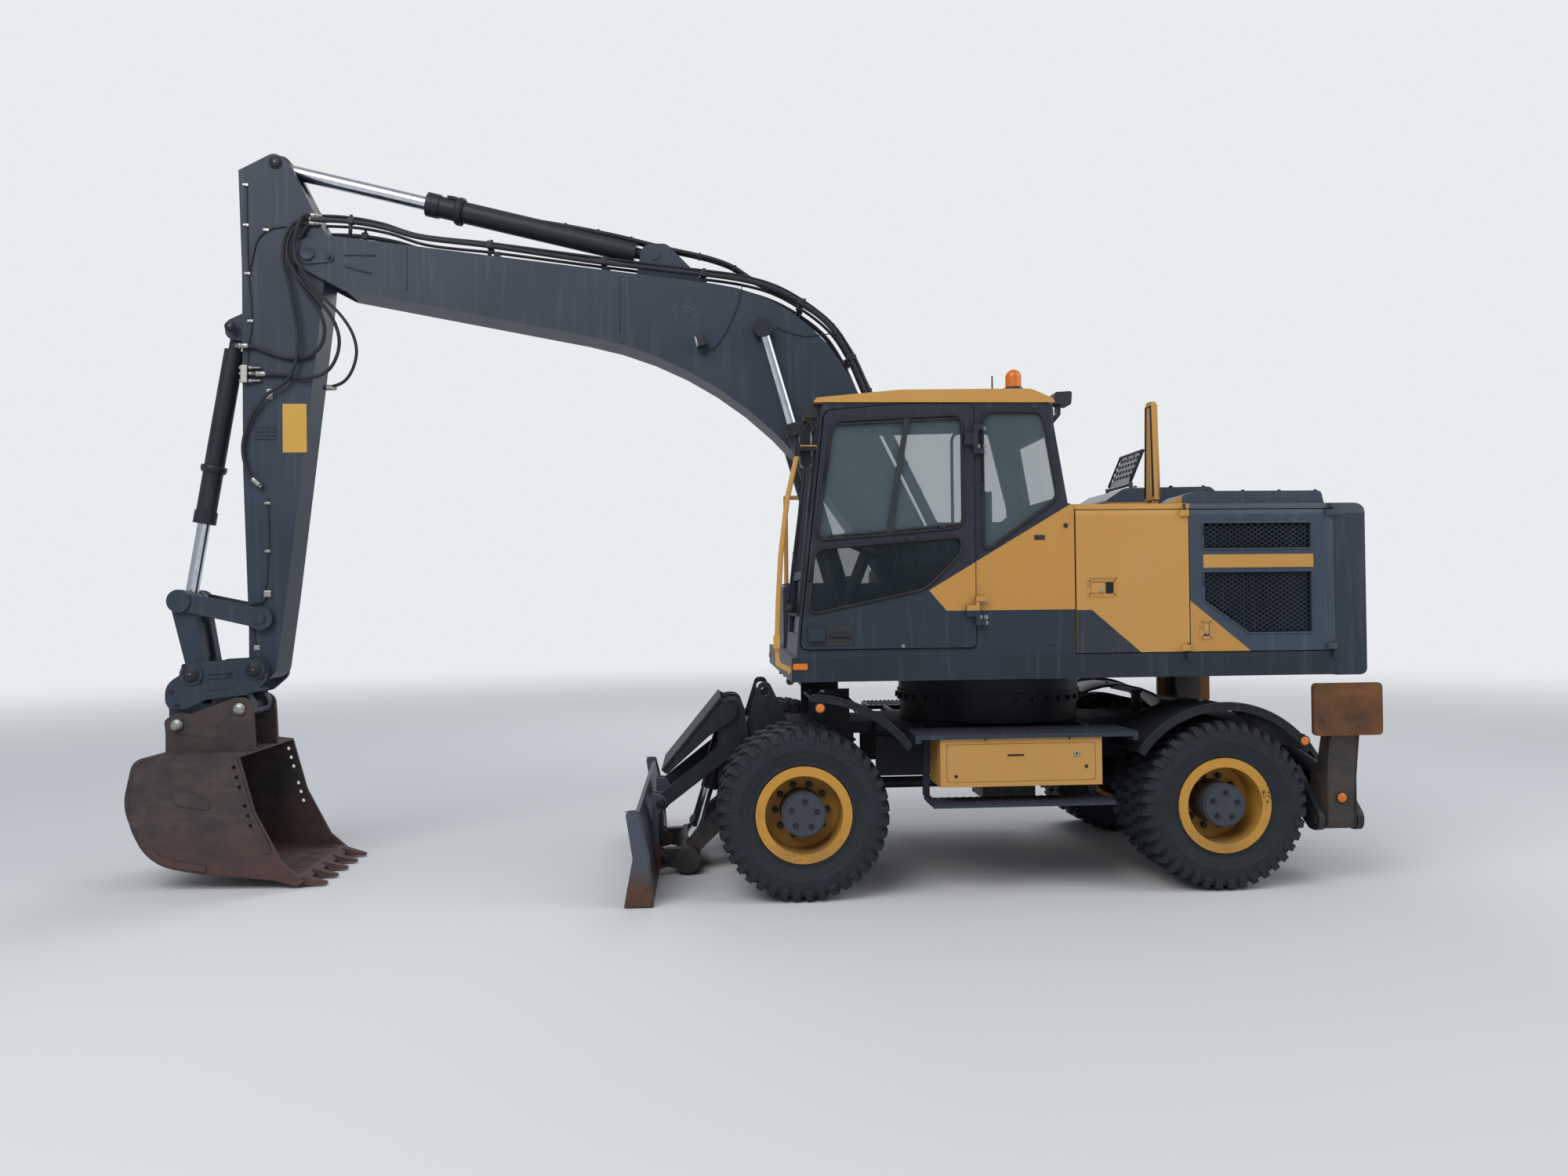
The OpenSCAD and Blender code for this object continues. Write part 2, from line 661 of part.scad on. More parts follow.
// Flat shape of the side walls with their bevel, seen from behind and drawn in by t
module wall_shape(z0, z1, t = 0) {
    polygon([for (p = [[1, z0], [1, z1 - bevel[1]], [0, z1]]) [body_y - (1 - p[0]) * bevel[0] - t, p[1]],
        for (p = [[0, z1], [1, z1 - bevel[1]], [1, z0]]) [-body_y + (1 - p[0]) * bevel[0] + t, p[1]]]);
}

// Cast counterweight with its round tail and rounded edges
module counterweight() {
    low = skirt_bottom - 4;
    color("#3a3f47") placed() intersection() {
        translate([swing_back, 0, 0]) rotate_extrude($fn = 96)
            polygon(outline([[0, low, 0], [tail_r, low, 40], [tail_r, hood_z, 60], [0, hood_z, 0]]));
        linear_extrude(3000) polygon(outline([[hood_rear, -body_y, 0], [2282, -body_y, 60], [2700, -700, 0], [2700, 700, 0],
            [2282, body_y, 60], [hood_rear, body_y, 0]]));
        slab_x(hood_rear, 2750) wall_shape(low - 1, hood_z);
    }
}

// Covers on the roof of the engine housing, as [outline, y0, y1]
low_cover = 85;
high_cover = 170;
covers = [
    [[[961, 0, 0], [1094, 50, 60], [1222, low_cover, 60], [hood_rear - 30, low_cover, 30], [hood_rear - 4, 0, 0]], -1150, -960],
    [[[1100, 0, 0], [1190, 50, 60], [1300, low_cover, 60], [hood_rear - 30, low_cover, 30], [hood_rear - 4, 0, 0]], -960, 1050],
    [[[815, 0, 0], [830, 80, 30], [958, high_cover - 8, 60], [1560, high_cover, 60], [1680, 60, 60], [1700, 0, 0]], -570, 180]];
function cover_outline(c, t) = outline([for (p = c) [p[0] + (p[0] < 1300 ? t : -t), hood_z + p[1] - (p[1] > 0 ? t : 30), p[2]]]);

// Roof of the engine housing with its raised covers, and the inner walls
module hood() {
    wall_y = body_y - 50;
    color("#3d4249") placed() {
        difference() {
            union() {
                slab_x(door_split, hood_rear - seat_gap) intersection() {
                    wall_shape(hood_z - bevel[1], hood_z);
                    translate([-body_y, hood_z - 35]) square([body_w, 40]);
                }
                for (c = covers)
                    plate(cover_outline(c[0], 0), c[1], c[2]);
            }
            // Hollow of the high cover, and the openings under the lid and the hatch
            plate(cover_outline(covers[2][0], 30), covers[2][1] + 30, covers[2][2] - 30);
            box(lid_hinge[0] + 20, lid_hinge[0] + lid_reach - 30, lid_y[0] + 20, lid_y[1] - 20, hood_z, hood_z + 300);
            box(hatch_hinge[0] - hatch_reach + 70, hatch_hinge[0] - 80, hatch_y0 + 15, hatch_y0 + hatch_w - 15, hood_z - 60, hood_z + 1);
        }
        // Walls round the engine bay
        box(door_split, door_split + 30, -wall_y, wall_y, deck_z, hood_z - 30);
        box(grille_split - 15, grille_split + 15, -wall_y, -wall_y + 60, deck_z, hood_z - 30);
        box(hood_rear - 40, hood_rear - 10, -wall_y, wall_y, deck_z, hood_z - 30);
        // Ears and pins of the hatch and the lid
        for (y = [hatch_y0 + 20, hatch_y0 + hatch_w - 50]) {
            box(hatch_hinge[0] - 14, hatch_hinge[0] + 14, y, y + 12, hood_z - 5, hatch_hinge[1]);
            bar_y(hatch_hinge, 14, y, y + 12);
            bar_y(hatch_hinge, 8, y, y + 44);
        }
        for (y = [lid_y[0] - 22, lid_y[1] + 7])
            box(lid_hinge[0] - 12, lid_hinge[0] + 12, y, y + 15, hood_z + 145, lid_hinge[1] + 12);
        bar_y(lid_hinge, 6, lid_y[0] - 10, lid_y[1] + 10);
        for (h = side_hinges)
            hinge_pin(h, hood_z - 5, hood_z - 34, hood_z - 90);
    }
}

module engine() {
    color("#55585c") placed() {
        box(1180, 1980, -420, 420, deck_z + 80, 2290);
        // Feet on the platform
        for (x = [1220, 1820])
            for (y = [-410, 290])
                box(x, x + 120, y, y + 120, deck_z, deck_z + 81);
    }
}

// Tank, stair and pump housing on the right side
module right_body() {
    color("#40454d") placed() {
        difference() {
            plate(outline([[-1330, deck_z, 0], [-1330, 1980, 60], [-560, 1980, 0], [-560, 2120, 60], [-200, 2120, 0],
                [-200, hood_z, 40], [door_split - 1, hood_z, 0], [door_split - 1, deck_z, 0]]), cab_inner + 60, body_y);
            for (i = [0:1])
                box(-1331, -1000 + 330 * i, 980, body_y + 1, 1600 + 240 * i, 2500);
        }
    }
}

// Cab outline seen from the side, drawn in by t
function cab_outline(t) = outline([[-1361 + t * 1.1, deck_z + t, 0], [-1345 + t, 1700, 0], [-1190 + t, 3080 - t, 60],
    [-700, 3122 - t, 900], [120, 3130 - t, 200], [262 - t, 3050 - t, 60], [262 - t, 2930, 0], [345 - t, 2440, 0],
    [door_split - 8 - t, 2430 - t, 0], [door_split - 8 - t, deck_z + t, 0]]);

// Front door edge: the door fills the side from the front pillar to the rear one
module door_face(t) {
    polygon(outline([[-1345 + t, deck_z + 45 + t, 40], [-1330 + t, 1700, 0], [-1178 + t, 3020 - t, 50], [-700, 3062 - t, 900],
        [cab_door_hinge[0] - t, 3062 - t, 30], [cab_door_hinge[0] - t, deck_z + 45 + t, 30]]));
}

module cab_shell() {
    side = -body_y;
    color("#2c3036") placed() {
        cab_hinges();
        difference() {
            plate(cab_outline(0), side, -cab_inner);
            plate(cab_outline(cab_wall), side + cab_wall, -cab_inner - cab_wall);
            // Doorway
            slab_y(side - 1, side + cab_wall + 1) door_face(0);
            // Rear side window
            plate(outline([[-190, 2130, 30], [-190, 3010, 30], [190, 3010, 50], [215, 2900, 0], [285, 2470, 30]]), side - 1, side + cab_wall + 1);
            // Windscreen, rear window and roof window
            slab_x(-1500, -1100) polygon([[side + 60, 2040], [side + 60, 2960], [-cab_inner - 60, 2960], [-cab_inner - 60, 2040]]);
            slab_x(-1500, -1290) polygon([[side + 60, 1640], [side + 60, 1985], [-cab_inner - 60, 1985], [-cab_inner - 60, 1640]]);
            slab_x(100, 500) polygon([[side + 90, 2480], [side + 90, 2880], [-cab_inner - 90, 2880], [-cab_inner - 90, 2480]]);
            // Window towards the boom
            plate(outline([[-1230, 1760, 40], [-1110, 2980, 40], [60, 3010, 40], [190, 2470, 40], [190, 2130, 40], [-300, 1760, 40]]),
                -cab_inner - cab_wall - 1, -cab_inner + 1);
        }
    }
}

module cab_hinges() {
    for (z = [1720, 2780]) {
        bar_z(cab_door_hinge, 8, z - 40, z + 150);
        for (d = [-34, 114]) {
            box(cab_door_hinge[0], cab_door_hinge[0] + 50, cab_door_hinge[1] - 13, -body_y + 1, z + d, z + d + 30);
            bar_z(cab_door_hinge, 13, z + d, z + d + 30);
        }
    }
}

module cab_roof() {
    color("#e2a33a") placed() difference() {
        plate(outline([[-1240, 3068, 0], [-1222, 3096, 20], [-700, 3146, 900], [120, 3154, 150], [262, 3092, 40], [270, 3068, 0]]),
            -body_y - 10, -cab_inner + 4);
        plate(cab_outline(-seat_gap), -body_y - seat_gap, -cab_inner + seat_gap);
    }
}

// Panes let into the frames, each 6 mm thick
module cab_glass() {
    side = -body_y;
    color([0.35, 0.45, 0.5, 0.5]) placed() {
        plate(outline([[-189, 2131, 30], [-189, 3009, 30], [189, 3009, 50], [214, 2900, 0], [284, 2471, 30]]), side + 14, side + 20);
        plate(outline([[-1229, 1761, 40], [-1109, 2979, 40], [59, 3009, 40], [189, 2471, 40], [189, 2131, 40], [-299, 1761, 40]]),
            -cab_inner - 20, -cab_inner - 14);
        pane_x([-1290, 2041], [-1191, 2959], side + 60.3, -cab_inner - 60.3);
        pane_x([-1331, 1641], [-1299, 1984], side + 60.3, -cab_inner - 60.3);
        pane_x([320, 2481], [252, 2879], side + 90.3, -cab_inner - 90.3);
    }
}

// Flat pane from p to q in the XZ plane
module pane_x(p, q, y0, y1) {
    plate([p, q, q + [6, 0], p + [6, 0]], y0, y1);
}

module cab_interior() {
    side = -body_y;
    mid = (side - cab_inner) / 2;
    color("#26282b") placed() {
        box(-1290, 330, side + cab_wall + 5, -cab_inner - cab_wall - 5, deck_z + cab_wall + seat_gap, deck_z + cab_wall + 25);
        // Seat base
        box(-560, -120, mid - 200, mid + 200, deck_z + 70, 1820);
        box(-60, 320, side + cab_wall + 30, -cab_inner - cab_wall - 30, deck_z + 70, 2100);
        // Arm rests with their levers
        for (y = [mid - 290, mid + 230]) {
            box(-640, -150, y, y + 60, 2000, 2070);
            box(-460, -380, y, y + 60, deck_z + 70, 2000);
            translate([-600, y + 30, 2065]) cylinder(r = 18, h = 120);
        }
        // Steering column and wheel
        translate([-1100, mid, deck_z + 70]) rotate([0, 22, 0]) {
            cylinder(r = 40, h = 640);
            translate([0, 0, 640]) cylinder(r = 170, h = 28);
        }
        box(-1180, -1050, mid - 60, mid + 60, deck_z + 70, deck_z + 160);
    }
}

module seat() {
    side = -body_y;
    mid = (side - cab_inner) / 2;
    color("#1f2124") placed() {
        plate(outline([[-620, 1820 + seat_gap, 40], [-620, 1950, 40], [-160, 1940, 30], [-160, 1820 + seat_gap, 20]]), mid - 215, mid + 215);
        plate(outline([[-155, 1850, 20], [-230, 1960, 30], [-120, 2560, 25], [-62, 2560, 20], [-62, 1850, 20]]), mid - 215, mid + 215);
    }
}

// Face of the cab's front at height z
function cab_front(z) = -1345 + (z - 1700) * 155 / 1380;

// Work lamps, beacon, marker lamps and antenna
module lamps() {
    side = -body_y;
    color("#d98a1e") placed() {
        translate([50, -1100, 3154 + seat_gap]) {
            cylinder(r = 62, h = 25);
            translate([0, 0, 25]) cylinder(r = 50, h = 75);
            translate([0, 0, 100]) intersection() {
                sphere(r = 50);
                cylinder(r = 60, h = 60);
            }
        }
        translate([-61, -1000, 3152 + 2 * seat_gap]) {
            cylinder(r = 18, h = 10);
            cylinder(r = 5, h = 128);
        }
        both_sides() {
            box(-1402, -1392 - seat_gap, body_y - 160, body_y - 60, 1395, 1435);
            plate(outline([[-1385, 1425, 10], [-1385, 1463, 10], [-1294, 1463, 10], [-1294, 1425, 10]]),
                body_y + seat_gap, body_y + 12);
        }
        // Work lamps under the front edge of the roof and on a bracket behind it
        for (y = [side + 60, -cab_inner - 150])
            plate([[-1292, 2984], [-1282, 3062], [cab_front(3062) - seat_gap, 3062], [cab_front(2984) - seat_gap, 2984]], y, y + 90);
        plate(outline([[262 + seat_gap, 2940, 0], [262 + seat_gap, 2975, 0], [322, 3020, 20], [322, 3080, 0], [345, 3080, 0],
            [345, 3010, 20], [285, 2940, 0]]), -1130, -1070);
        plate(outline([[292, 3075, 15], [300, 3150, 15], [412, 3157, 15], [404, 3066, 15]]), -1160, -1040);
    }
}

// Mirror on its arm ahead of the front pillar, beside the grab rail
module mirrors() {
    color("#24272c") placed() {
        plate([[cab_front(2925) - 14, 2925], [cab_front(2925) - seat_gap, 2925], [cab_front(2972) - seat_gap, 2972],
            [cab_front(2972) - 14, 2972]], -1205, -1160);
        rail([[cab_front(2950) - 8, -1182, 2950], [-1262, -1160, 2960], [-1284, -1150, 2890]], 9);
        plate(outline([[-1318, 2668, 25], [-1322, 2890, 25], [-1262, 2912, 20], [-1250, 2690, 20]]), -1200, -1085);
    }
}

// Rails in the hand's way: a curved one ahead of the door, a square one on the right
module handrails() {
    front = -1392;
    grab_y = -body_y + 20;
    color("#e2a33a") placed() {
        rail([[-1327, grab_y, 2814], [-1405, grab_y, 2484], [-1450, grab_y, 2134], [-1469, grab_y, 1838], [-1480, grab_y, 1543]], 16);
        plate([[-1335, 2782], [-1335, 2806], [cab_front(2806) - seat_gap, 2806], [cab_front(2782) - seat_gap, 2782]], grab_y - 8, grab_y + 8);
        plate(outline([[-1492, 1560, 0], [-1468, 1560, 0], [-1464, 1470, 30], [front - seat_gap, 1440, 0], [front - seat_gap, 1405, 0],
            [-1490, 1450, 30]]), grab_y - 8, grab_y + 8);
    }
    color("#2c3036") placed() {
        rail([[-1250, body_y - 60, 1980 + seat_gap], [-1250, body_y - 60, 2700], [-300, body_y - 60, 2700],
            [-300, body_y - 60, 2120 + seat_gap]], 18);
    }
}

// Round rail through a list of points
module rail(points, r) {
    for (i = [0:len(points) - 2]) {
        d = points[i + 1] - points[i];
        translate(points[i]) rotate([0, acos(d[2] / norm(d)), atan2(d[1], d[0])]) cylinder(r = r, h = norm(d));
        if (i < len(points) - 2)
            translate(points[i + 1]) sphere(r = r + 0.5, $fn = 24);
    }
}

module cab_door() {
    color("#2c3036") placed() {
        difference() {
            slab_y(-body_y - 14, -body_y + cab_wall - 5) door_face(door_gap);
            plate(door_window(0), -body_y - 20, -body_y + 60);
            plate(door_lower_window(0), -body_y - 20, -body_y + 60);
        }
        for (z = [1720, 2780])
            difference() {
                union() {
                    bar_z(cab_door_hinge, 16, z, z + 110);
                    box(cab_door_hinge[0] - 70, cab_door_hinge[0], cab_door_hinge[1] - 10, -body_y - 8, z + 20, z + 90);
                }
                bar_z(cab_door_hinge, 8 + fit, z - 1, z + 111);
            }
        box(-1290, -1190, -body_y - 40, -body_y - 10, 1600, 1680);
    }
}

function door_window(t) = outline([[-1235 + t, 2215 + t, 40], [-1125 + t, 2950 - t, 50], [-320 - t, 2990 - t, 50], [-320 - t, 2290 + t, 50]]);
function door_lower_window(t) = outline([[-1290 + t, 1760 + t, 40], [-1245 + t, 2165 - t, 30], [-330 - t, 2235 - t, 60], [-330 - t, 2130, 60],
    [-560, 1910 + t, 200]]);

module bar_z(p, r, z0, z1) {
    translate([p[0], p[1], z0]) cylinder(r = r, h = z1 - z0);
}

module cab_door_glass() {
    color([0.35, 0.45, 0.5, 0.5]) placed() {
        plate(door_window(0.3), -body_y + 2, -body_y + 8);
        plate(door_lower_window(0.3), -body_y + 2, -body_y + 8);
    }
}

// Door in a side wall: a panel from x0 to x1 with its face at y = -body_y
module side_panel(x0, x1) {
    slab_x(x0 + door_gap / 2, x1 - door_gap / 2) intersection() {
        wall_shape(deck_z + door_gap, hood_z);
        translate([-body_y, deck_z]) square([door_t, hood_z - 35 - door_gap - deck_z]);
    }
}

module side_door() {
    color("#e2a33a") placed() hinge_knuckles(side_hinges[0]);
    color("#e2a33a") placed() difference() {
        side_panel(door_split, grille_split);
        box(door_split + 85, door_split + 260, -body_y - 1, -body_y + 14, 1860, 1970);
    }
}

// Windows of the grille, one of them cut off at its lower front corner
grille_windows = [
    [[1205, 2145, 8], [1205, 2312, 8], [1910, 2312, 8], [1910, 2145, 8]],
    [[1205, 1822, 8], [1205, 2004, 8], [1910, 2004, 8], [1910, 1614, 8], [1494, 1614, 8]]];
grille_strip = [1206, 1925, 2026, 2114];

module grille_door() {
    color("#2c3036") placed() hinge_knuckles(side_hinges[1]);
    color("#2c3036") placed() difference() {
        side_panel(grille_split, hood_rear);
        for (w = grille_windows)
            plate(outline(w, 2), -body_y - 1, -body_y + door_t + 1);
        box(grille_strip[0], grille_strip[1], -body_y - 1, -body_y + 4, grille_strip[2], grille_strip[3]);
        box(1184, 1258, -body_y - 1, -body_y + 10, 1581, 1700);
    }
}

// Expanded metal let into the windows of the grille door: long six-sided cells
// in rows that are set off by half a cell
module grille_mesh() {
    cell = [92, 33];
    strand = 9;
    color("#1c1e21") placed() for (w = grille_windows) {
        x0 = w[0][0];
        x1 = 1910;
        z0 = min([for (p = w) p[1]]);
        rows = floor((w[1][1] - z0) / cell[1]);
        slab_y(-body_y + 18, -body_y + 24) difference() {
            polygon(outline([for (p = w) [p[0] + (p[0] < 1600 ? seat_gap : -seat_gap),
                p[1] + (p[1] > w[0][1] ? -seat_gap : seat_gap), 8]], 2));
            for (r = [0:rows - 1], c = [0:8]) {
                m = [x0 + 50 + cell[0] * (c + (r % 2) / 2), z0 + (r + 0.5) * cell[1]];
                lead = w[0][1] - (m[0] - x0) * (w[0][1] - z0) / (w[len(w) - 1][0] - x0);
                if (m[0] < x1 - 38 && (len(w) == 4 || m[1] > lead + 48))
                    translate(m) polygon([[-cell[0] / 2 + strand, 0], [-18, cell[1] / 2 - strand / 2], [18, cell[1] / 2 - strand / 2],
                        [cell[0] / 2 - strand, 0], [18, -cell[1] / 2 + strand / 2], [-18, -cell[1] / 2 + strand / 2]]);
            }
        }
    }
}

module right_door() {
    color("#3d4249") placed() hinge_knuckles(side_hinges[2]);
    color("#3d4249") placed() mirror([0, 1, 0]) difference() {
        side_panel(door_split, hood_rear);
        for (z = [1640:50:2040])
            box(1250, 1900, -body_y - 1, -body_y + door_t + 1, z, z + 26);
    }
}

// Narrow hatch behind the cab, standing open on its rear edge
module hatch() {
    foot = hatch_hinge[1] + 22;
    top = hatch_hinge[1] + hatch_reach;
    color("#e2a33a") placed() difference() {
        union() {
            slab_x(hatch_hinge[0] - 20, hatch_hinge[0] + 14) polygon(outline([[hatch_y0, foot, 0], [hatch_y0 + hatch_w, foot, 0],
                [hatch_y0 + hatch_w - 35, top, 20], [hatch_y0 + 35, top, 20]]));
            for (y = [hatch_y0 + 34, hatch_y0 + hatch_w - 36]) {
                bar_y(hatch_hinge, 18, y, y + 24);
                box(hatch_hinge[0] - 16, hatch_hinge[0] + 10, y, y + 24, hatch_hinge[1], foot + 1);
            }
        }
        bar_y(hatch_hinge, 8 + fit, -2000, 2000);
    }
}

// Perforated inner lid, standing open on its front edge
module hatch_lid() {
    color("#1c1e21") placed() translate([lid_hinge[0], 0, lid_hinge[1]]) difference() {
        union() {
            bar_y([0, 0], 12, lid_y[0] + 15, lid_y[1] - 15);
            rotate([0, -67, 0]) difference() {
                box(3, lid_reach, lid_y[0], lid_y[1], -6, 6);
                for (x = [60:45:lid_reach - 30], y = [lid_y[0] + 40:60:lid_y[1] - 40])
                    box(x, x + 25, y, y + 40, -7, 7);
            }
        }
        bar_y([0, 0], 6 + fit, -2000, 2000);
    }
}

// One-piece boom
module boom() {
    top = [-1165, 4006];
    belly = [-1696, 3520];
    side = outline([[boom_tip[0] + 60, boom_tip[1] + 138, 60], [top[0], top[1], 1215], [-150, 1950, 0], [-190, 1760, 60], [-440, 1740, 60],
        [-600, 1955, 0], [belly[0], belly[1], 2600], [boom_tip[0] + 220, boom_tip[1] - 240, 60], [boom_tip[0] - 80, boom_tip[1] - 80, 70]], 8);
    color("#363b43") placed() difference() {
        union() {
            difference() {
                plate(side, -boom_half, boom_half);
                // Slot between the fork plates at the tip, as deep as the arm needs
                translate([boom_tip[0], 0, boom_tip[1]]) plate([[-500, -700], [260, -700], [245, -219], [200, -100],
                    [350, 6], [690, 168], [690, 700], [-500, 700]], -arm_half - side_gap, arm_half + side_gap);
            }
            bar_y(boom_tip, 105, -boom_half, -arm_half - side_gap);
            bar_y(boom_tip, 105, arm_half + side_gap, boom_half);
            bar_y(boom_tip, 45, -boom_half - 12, boom_half + 12);
            bar_y(boom_foot, 130, -boom_half, boom_half);
            bar_y(boom_cyl_pin, 70, -boom_cyl_y + 35.5, boom_cyl_y - 35.5);
            bar_y(arm_cyl_base, 38, -80, 80);
            for (y = [-72, 42])
                plate(outline([[arm_cyl_base[0] - 141, 4130, 0], [arm_cyl_base[0] - 85, arm_cyl_base[1] + 80, 76],
                    [arm_cyl_base[0] + 85, arm_cyl_base[1] + 80, 76], [arm_cyl_base[0] + 400, 4080, 0]]), y, y + 30);
        }
        bar_y(boom_foot, 50 + fit, -500, 500);
    }
}

// Barrel from its base pin towards q, with a bore for the rod
module barrel(p, q, r, rod_r, length, y, eye_w, pin_r) {
    difference() {
        union() {
            eye(p, r * 0.95, y, eye_w);
            bar_xz(p, q, eye_w / 2, pin_r + 5, base_neck + 5, y);
            bar_xz(p, q, r, base_neck, length, y);
            bar_xz(p, q, r + 9, length - 90, length, y);
        }
        bar_xz(p, q, rod_r + fit, base_neck + 20, length + 1, y);
        bar_y(p, pin_r + fit, y - eye_w, y + eye_w);
    }
}

module rod(p, q, rod_r, start, eye_r, y, eye_w) {
    bar_xz(p, q, rod_r, start, norm(q - p) - eye_r * 0.6, y);
    eye(q, eye_r, y, eye_w);
}

boom_barrel_len = 1545;
base_neck = 140;
module boom_barrels() {
    color("#33373d") placed() both_sides()
        barrel(boom_cyl_base, boom_cyl_pin, boom_barrel_r - 9, boom_rod_r, boom_barrel_len, boom_cyl_y, 58, 38);
}

module boom_rods() {
    color("#c9cdd2") placed() both_sides()
        rod(boom_cyl_base, boom_cyl_pin, boom_rod_r, 1000, 68, boom_cyl_y, 70);
}

// Tapered arm with its end plates
module arm() {
    color("#363b43") placed() difference() {
        union() {
            difference() {
                plate(outline([[-5095, 4859, 0], [-4849, 4990, 70], [-4758, 4915, 30], [-4498, 4390, 30], [-4533, 3970, 300],
                    [-4790, 1900, 200], [-4860, 1400, 60], [-4930, 1335, 60], [-5040, 1400, 60], [-5040, 1700, 0], [-5074, 2800, 400], [-5074, 4160, 0]]),
                    -arm_half, arm_half);
                // Slot for the rod of the arm cylinder
                plate([[-5300, 4835], [-5300, 5300], [-4600, 5300], [-4600, 4735], [-4920, 4735], [-5000, 4835]], -62, 62);
            }
            bar_y(rocker_pivot, 62, -arm_half - 9.5, arm_half + 9.5);
            bar_y(rocker_pivot, 35, -arm_half - 60, arm_half + 60);
            bar_y(bucket_pivot, 80, -boss_half, boss_half);
            bar_y(bucket_pivot, 40, -boss_half - 60, boss_half + 60);
            bar_y(bucket_cyl_base, 34, -80, 80);
            for (y = [-75, 45])
                plate(outline([[-5070, 3900, 0], [bucket_cyl_base[0] - 60, bucket_cyl_base[1] + 50, 60],
                    [bucket_cyl_base[0] - 60, bucket_cyl_base[1] - 70, 60], [-5070, 3690, 0]]), y, y + 30);
        }
        bar_y(boom_tip, 45 + fit, -500, 500);
    }
}

module arm_barrel() {
    color("#33373d") placed() barrel(arm_cyl_base, arm_cyl_pin, arm_barrel_r, 48, 1640, 0, 78, 38);
}

module arm_rod() {
    color("#c9cdd2") placed() rod(arm_cyl_base, arm_cyl_pin, 48, 1110, 78, 0, 123);
}

module bucket_barrel() {
    color("#33373d") placed() barrel(bucket_cyl_base, rocker_end, bucket_barrel_r, 42, 1370, 0, 82, 34);
}

module bucket_rod() {
    color("#c9cdd2") placed() rod(bucket_cyl_base, rocker_end, 42, 620, 70, 0, 118);
}

// Rocker levers on both sides of the arm
module rocker() {
    color("#363b43") placed() both_sides() difference() {
        union() {
            plate(strip(rocker_pivot, rocker_end, 68, 62), arm_half + 10, arm_half + 40);
            bar_y(rocker_pivot, 80, arm_half + 10, arm_half + 50);
            bar_y(rocker_end, 78, arm_half + 10, arm_half + 55);
        }
        bar_y(rocker_pivot, 35 + fit, 0, 500);
    }
    color("#363b43") placed() for (s = [-1, 1])
        bar_y(rocker_end, 34, s * (arm_half + 10), s * 60);
}

// Link between rocker and coupler
module link() {
    color("#363b43") placed() both_sides() difference() {
        union() {
            plate(strip(rocker_end, coupler_pin, 78, 60), arm_half - 80, arm_half + 4);
            bar_y(rocker_end, 74, arm_half - 80, arm_half + 4);
            bar_y(coupler_pin, 66, arm_half - 80, boss_half + 4.5);
        }
        bar_y(rocker_end, 34 + fit, 0, 500);
    }
    color("#363b43") placed() plate(strip(between(rocker_end, coupler_pin, 0.32), between(rocker_end, coupler_pin, 0.8), 50, 40), -66, 66);
}

// Quick coupler between the arm and the bucket
module coupler() {
    color("#363b43") placed() {
        both_sides() difference() {
            union() {
                plate(outline([[-5330, 1480, 60], [-4920, 1500, 70], [-4890, 1360, 70], [-5010, 1255, 60], [-5290, 1225, 60],
                    [-5420, 1165, 60], [-5560, 1165, 60], [-5560, 1330, 120]]), boss_half + 5, boss_half + 40);
                bar_y(coupler_pin, 75, boss_half + 5, boss_half + 52);
                bar_y(bucket_pivot, 68, boss_half + 5, boss_half + 50);
            }
            bar_y(bucket_pivot, 40 + fit, 0, 500);
        }
        // Cross webs between the ears
        plate(outline([[-5250, 1300, 0], [-5020, 1285, 0], [-5020, 1262, 0], [-5250, 1240, 0]]), -boss_half - 6, boss_half + 6);
        plate([[-5555, 1235], [-5480, 1200], [-5480, 1170], [-5555, 1170]], -boss_half - 6, boss_half + 6);
        // Lower body that grips the bucket's pins
        difference() {
            plate(outline([[-5250, 1290, 0], [-5050, 1275, 0], [-5000, 1190, 40], [-5010, 1110, 40], [-5300, 1080, 0],
                [-5390, 1010, 30], [-5530, 1010, 40], [-5555, 1090, 40], [-5555, 1190, 0], [-5280, 1190, 0]]), -boss_half + 10, boss_half - 10);
            bar_y(bucket_pin_rear, 40 + seat_gap, -300, 300);
            bar_y(bucket_pin_front, 40 + seat_gap, -300, 300);
            plate([[-5330, 1320], [-5330, 1170], [-4900, 1150], [-4900, 1320]], -100, 100);
        }
    }
}

// Bucket side outline, drawn in by t
bucket_side = [[-5486, 890, 60], [-5640, 860, 100], [-5705, 560, 330], [-5560, 180, 330], [-5200, 105, 300], [-4760, 60, 0], [-4600, 14, 0],
    [-4560, 45, 0], [-4700, 170, 60], [-4871, 502, 200], [-4972, 874, 0], [-5100, 890, 0]];

cutter_holes = [for (t = [0, 0.17, 0.34, 0.66, 0.83, 1]) [-5003 + 105 * t, 800 - 385 * t]];

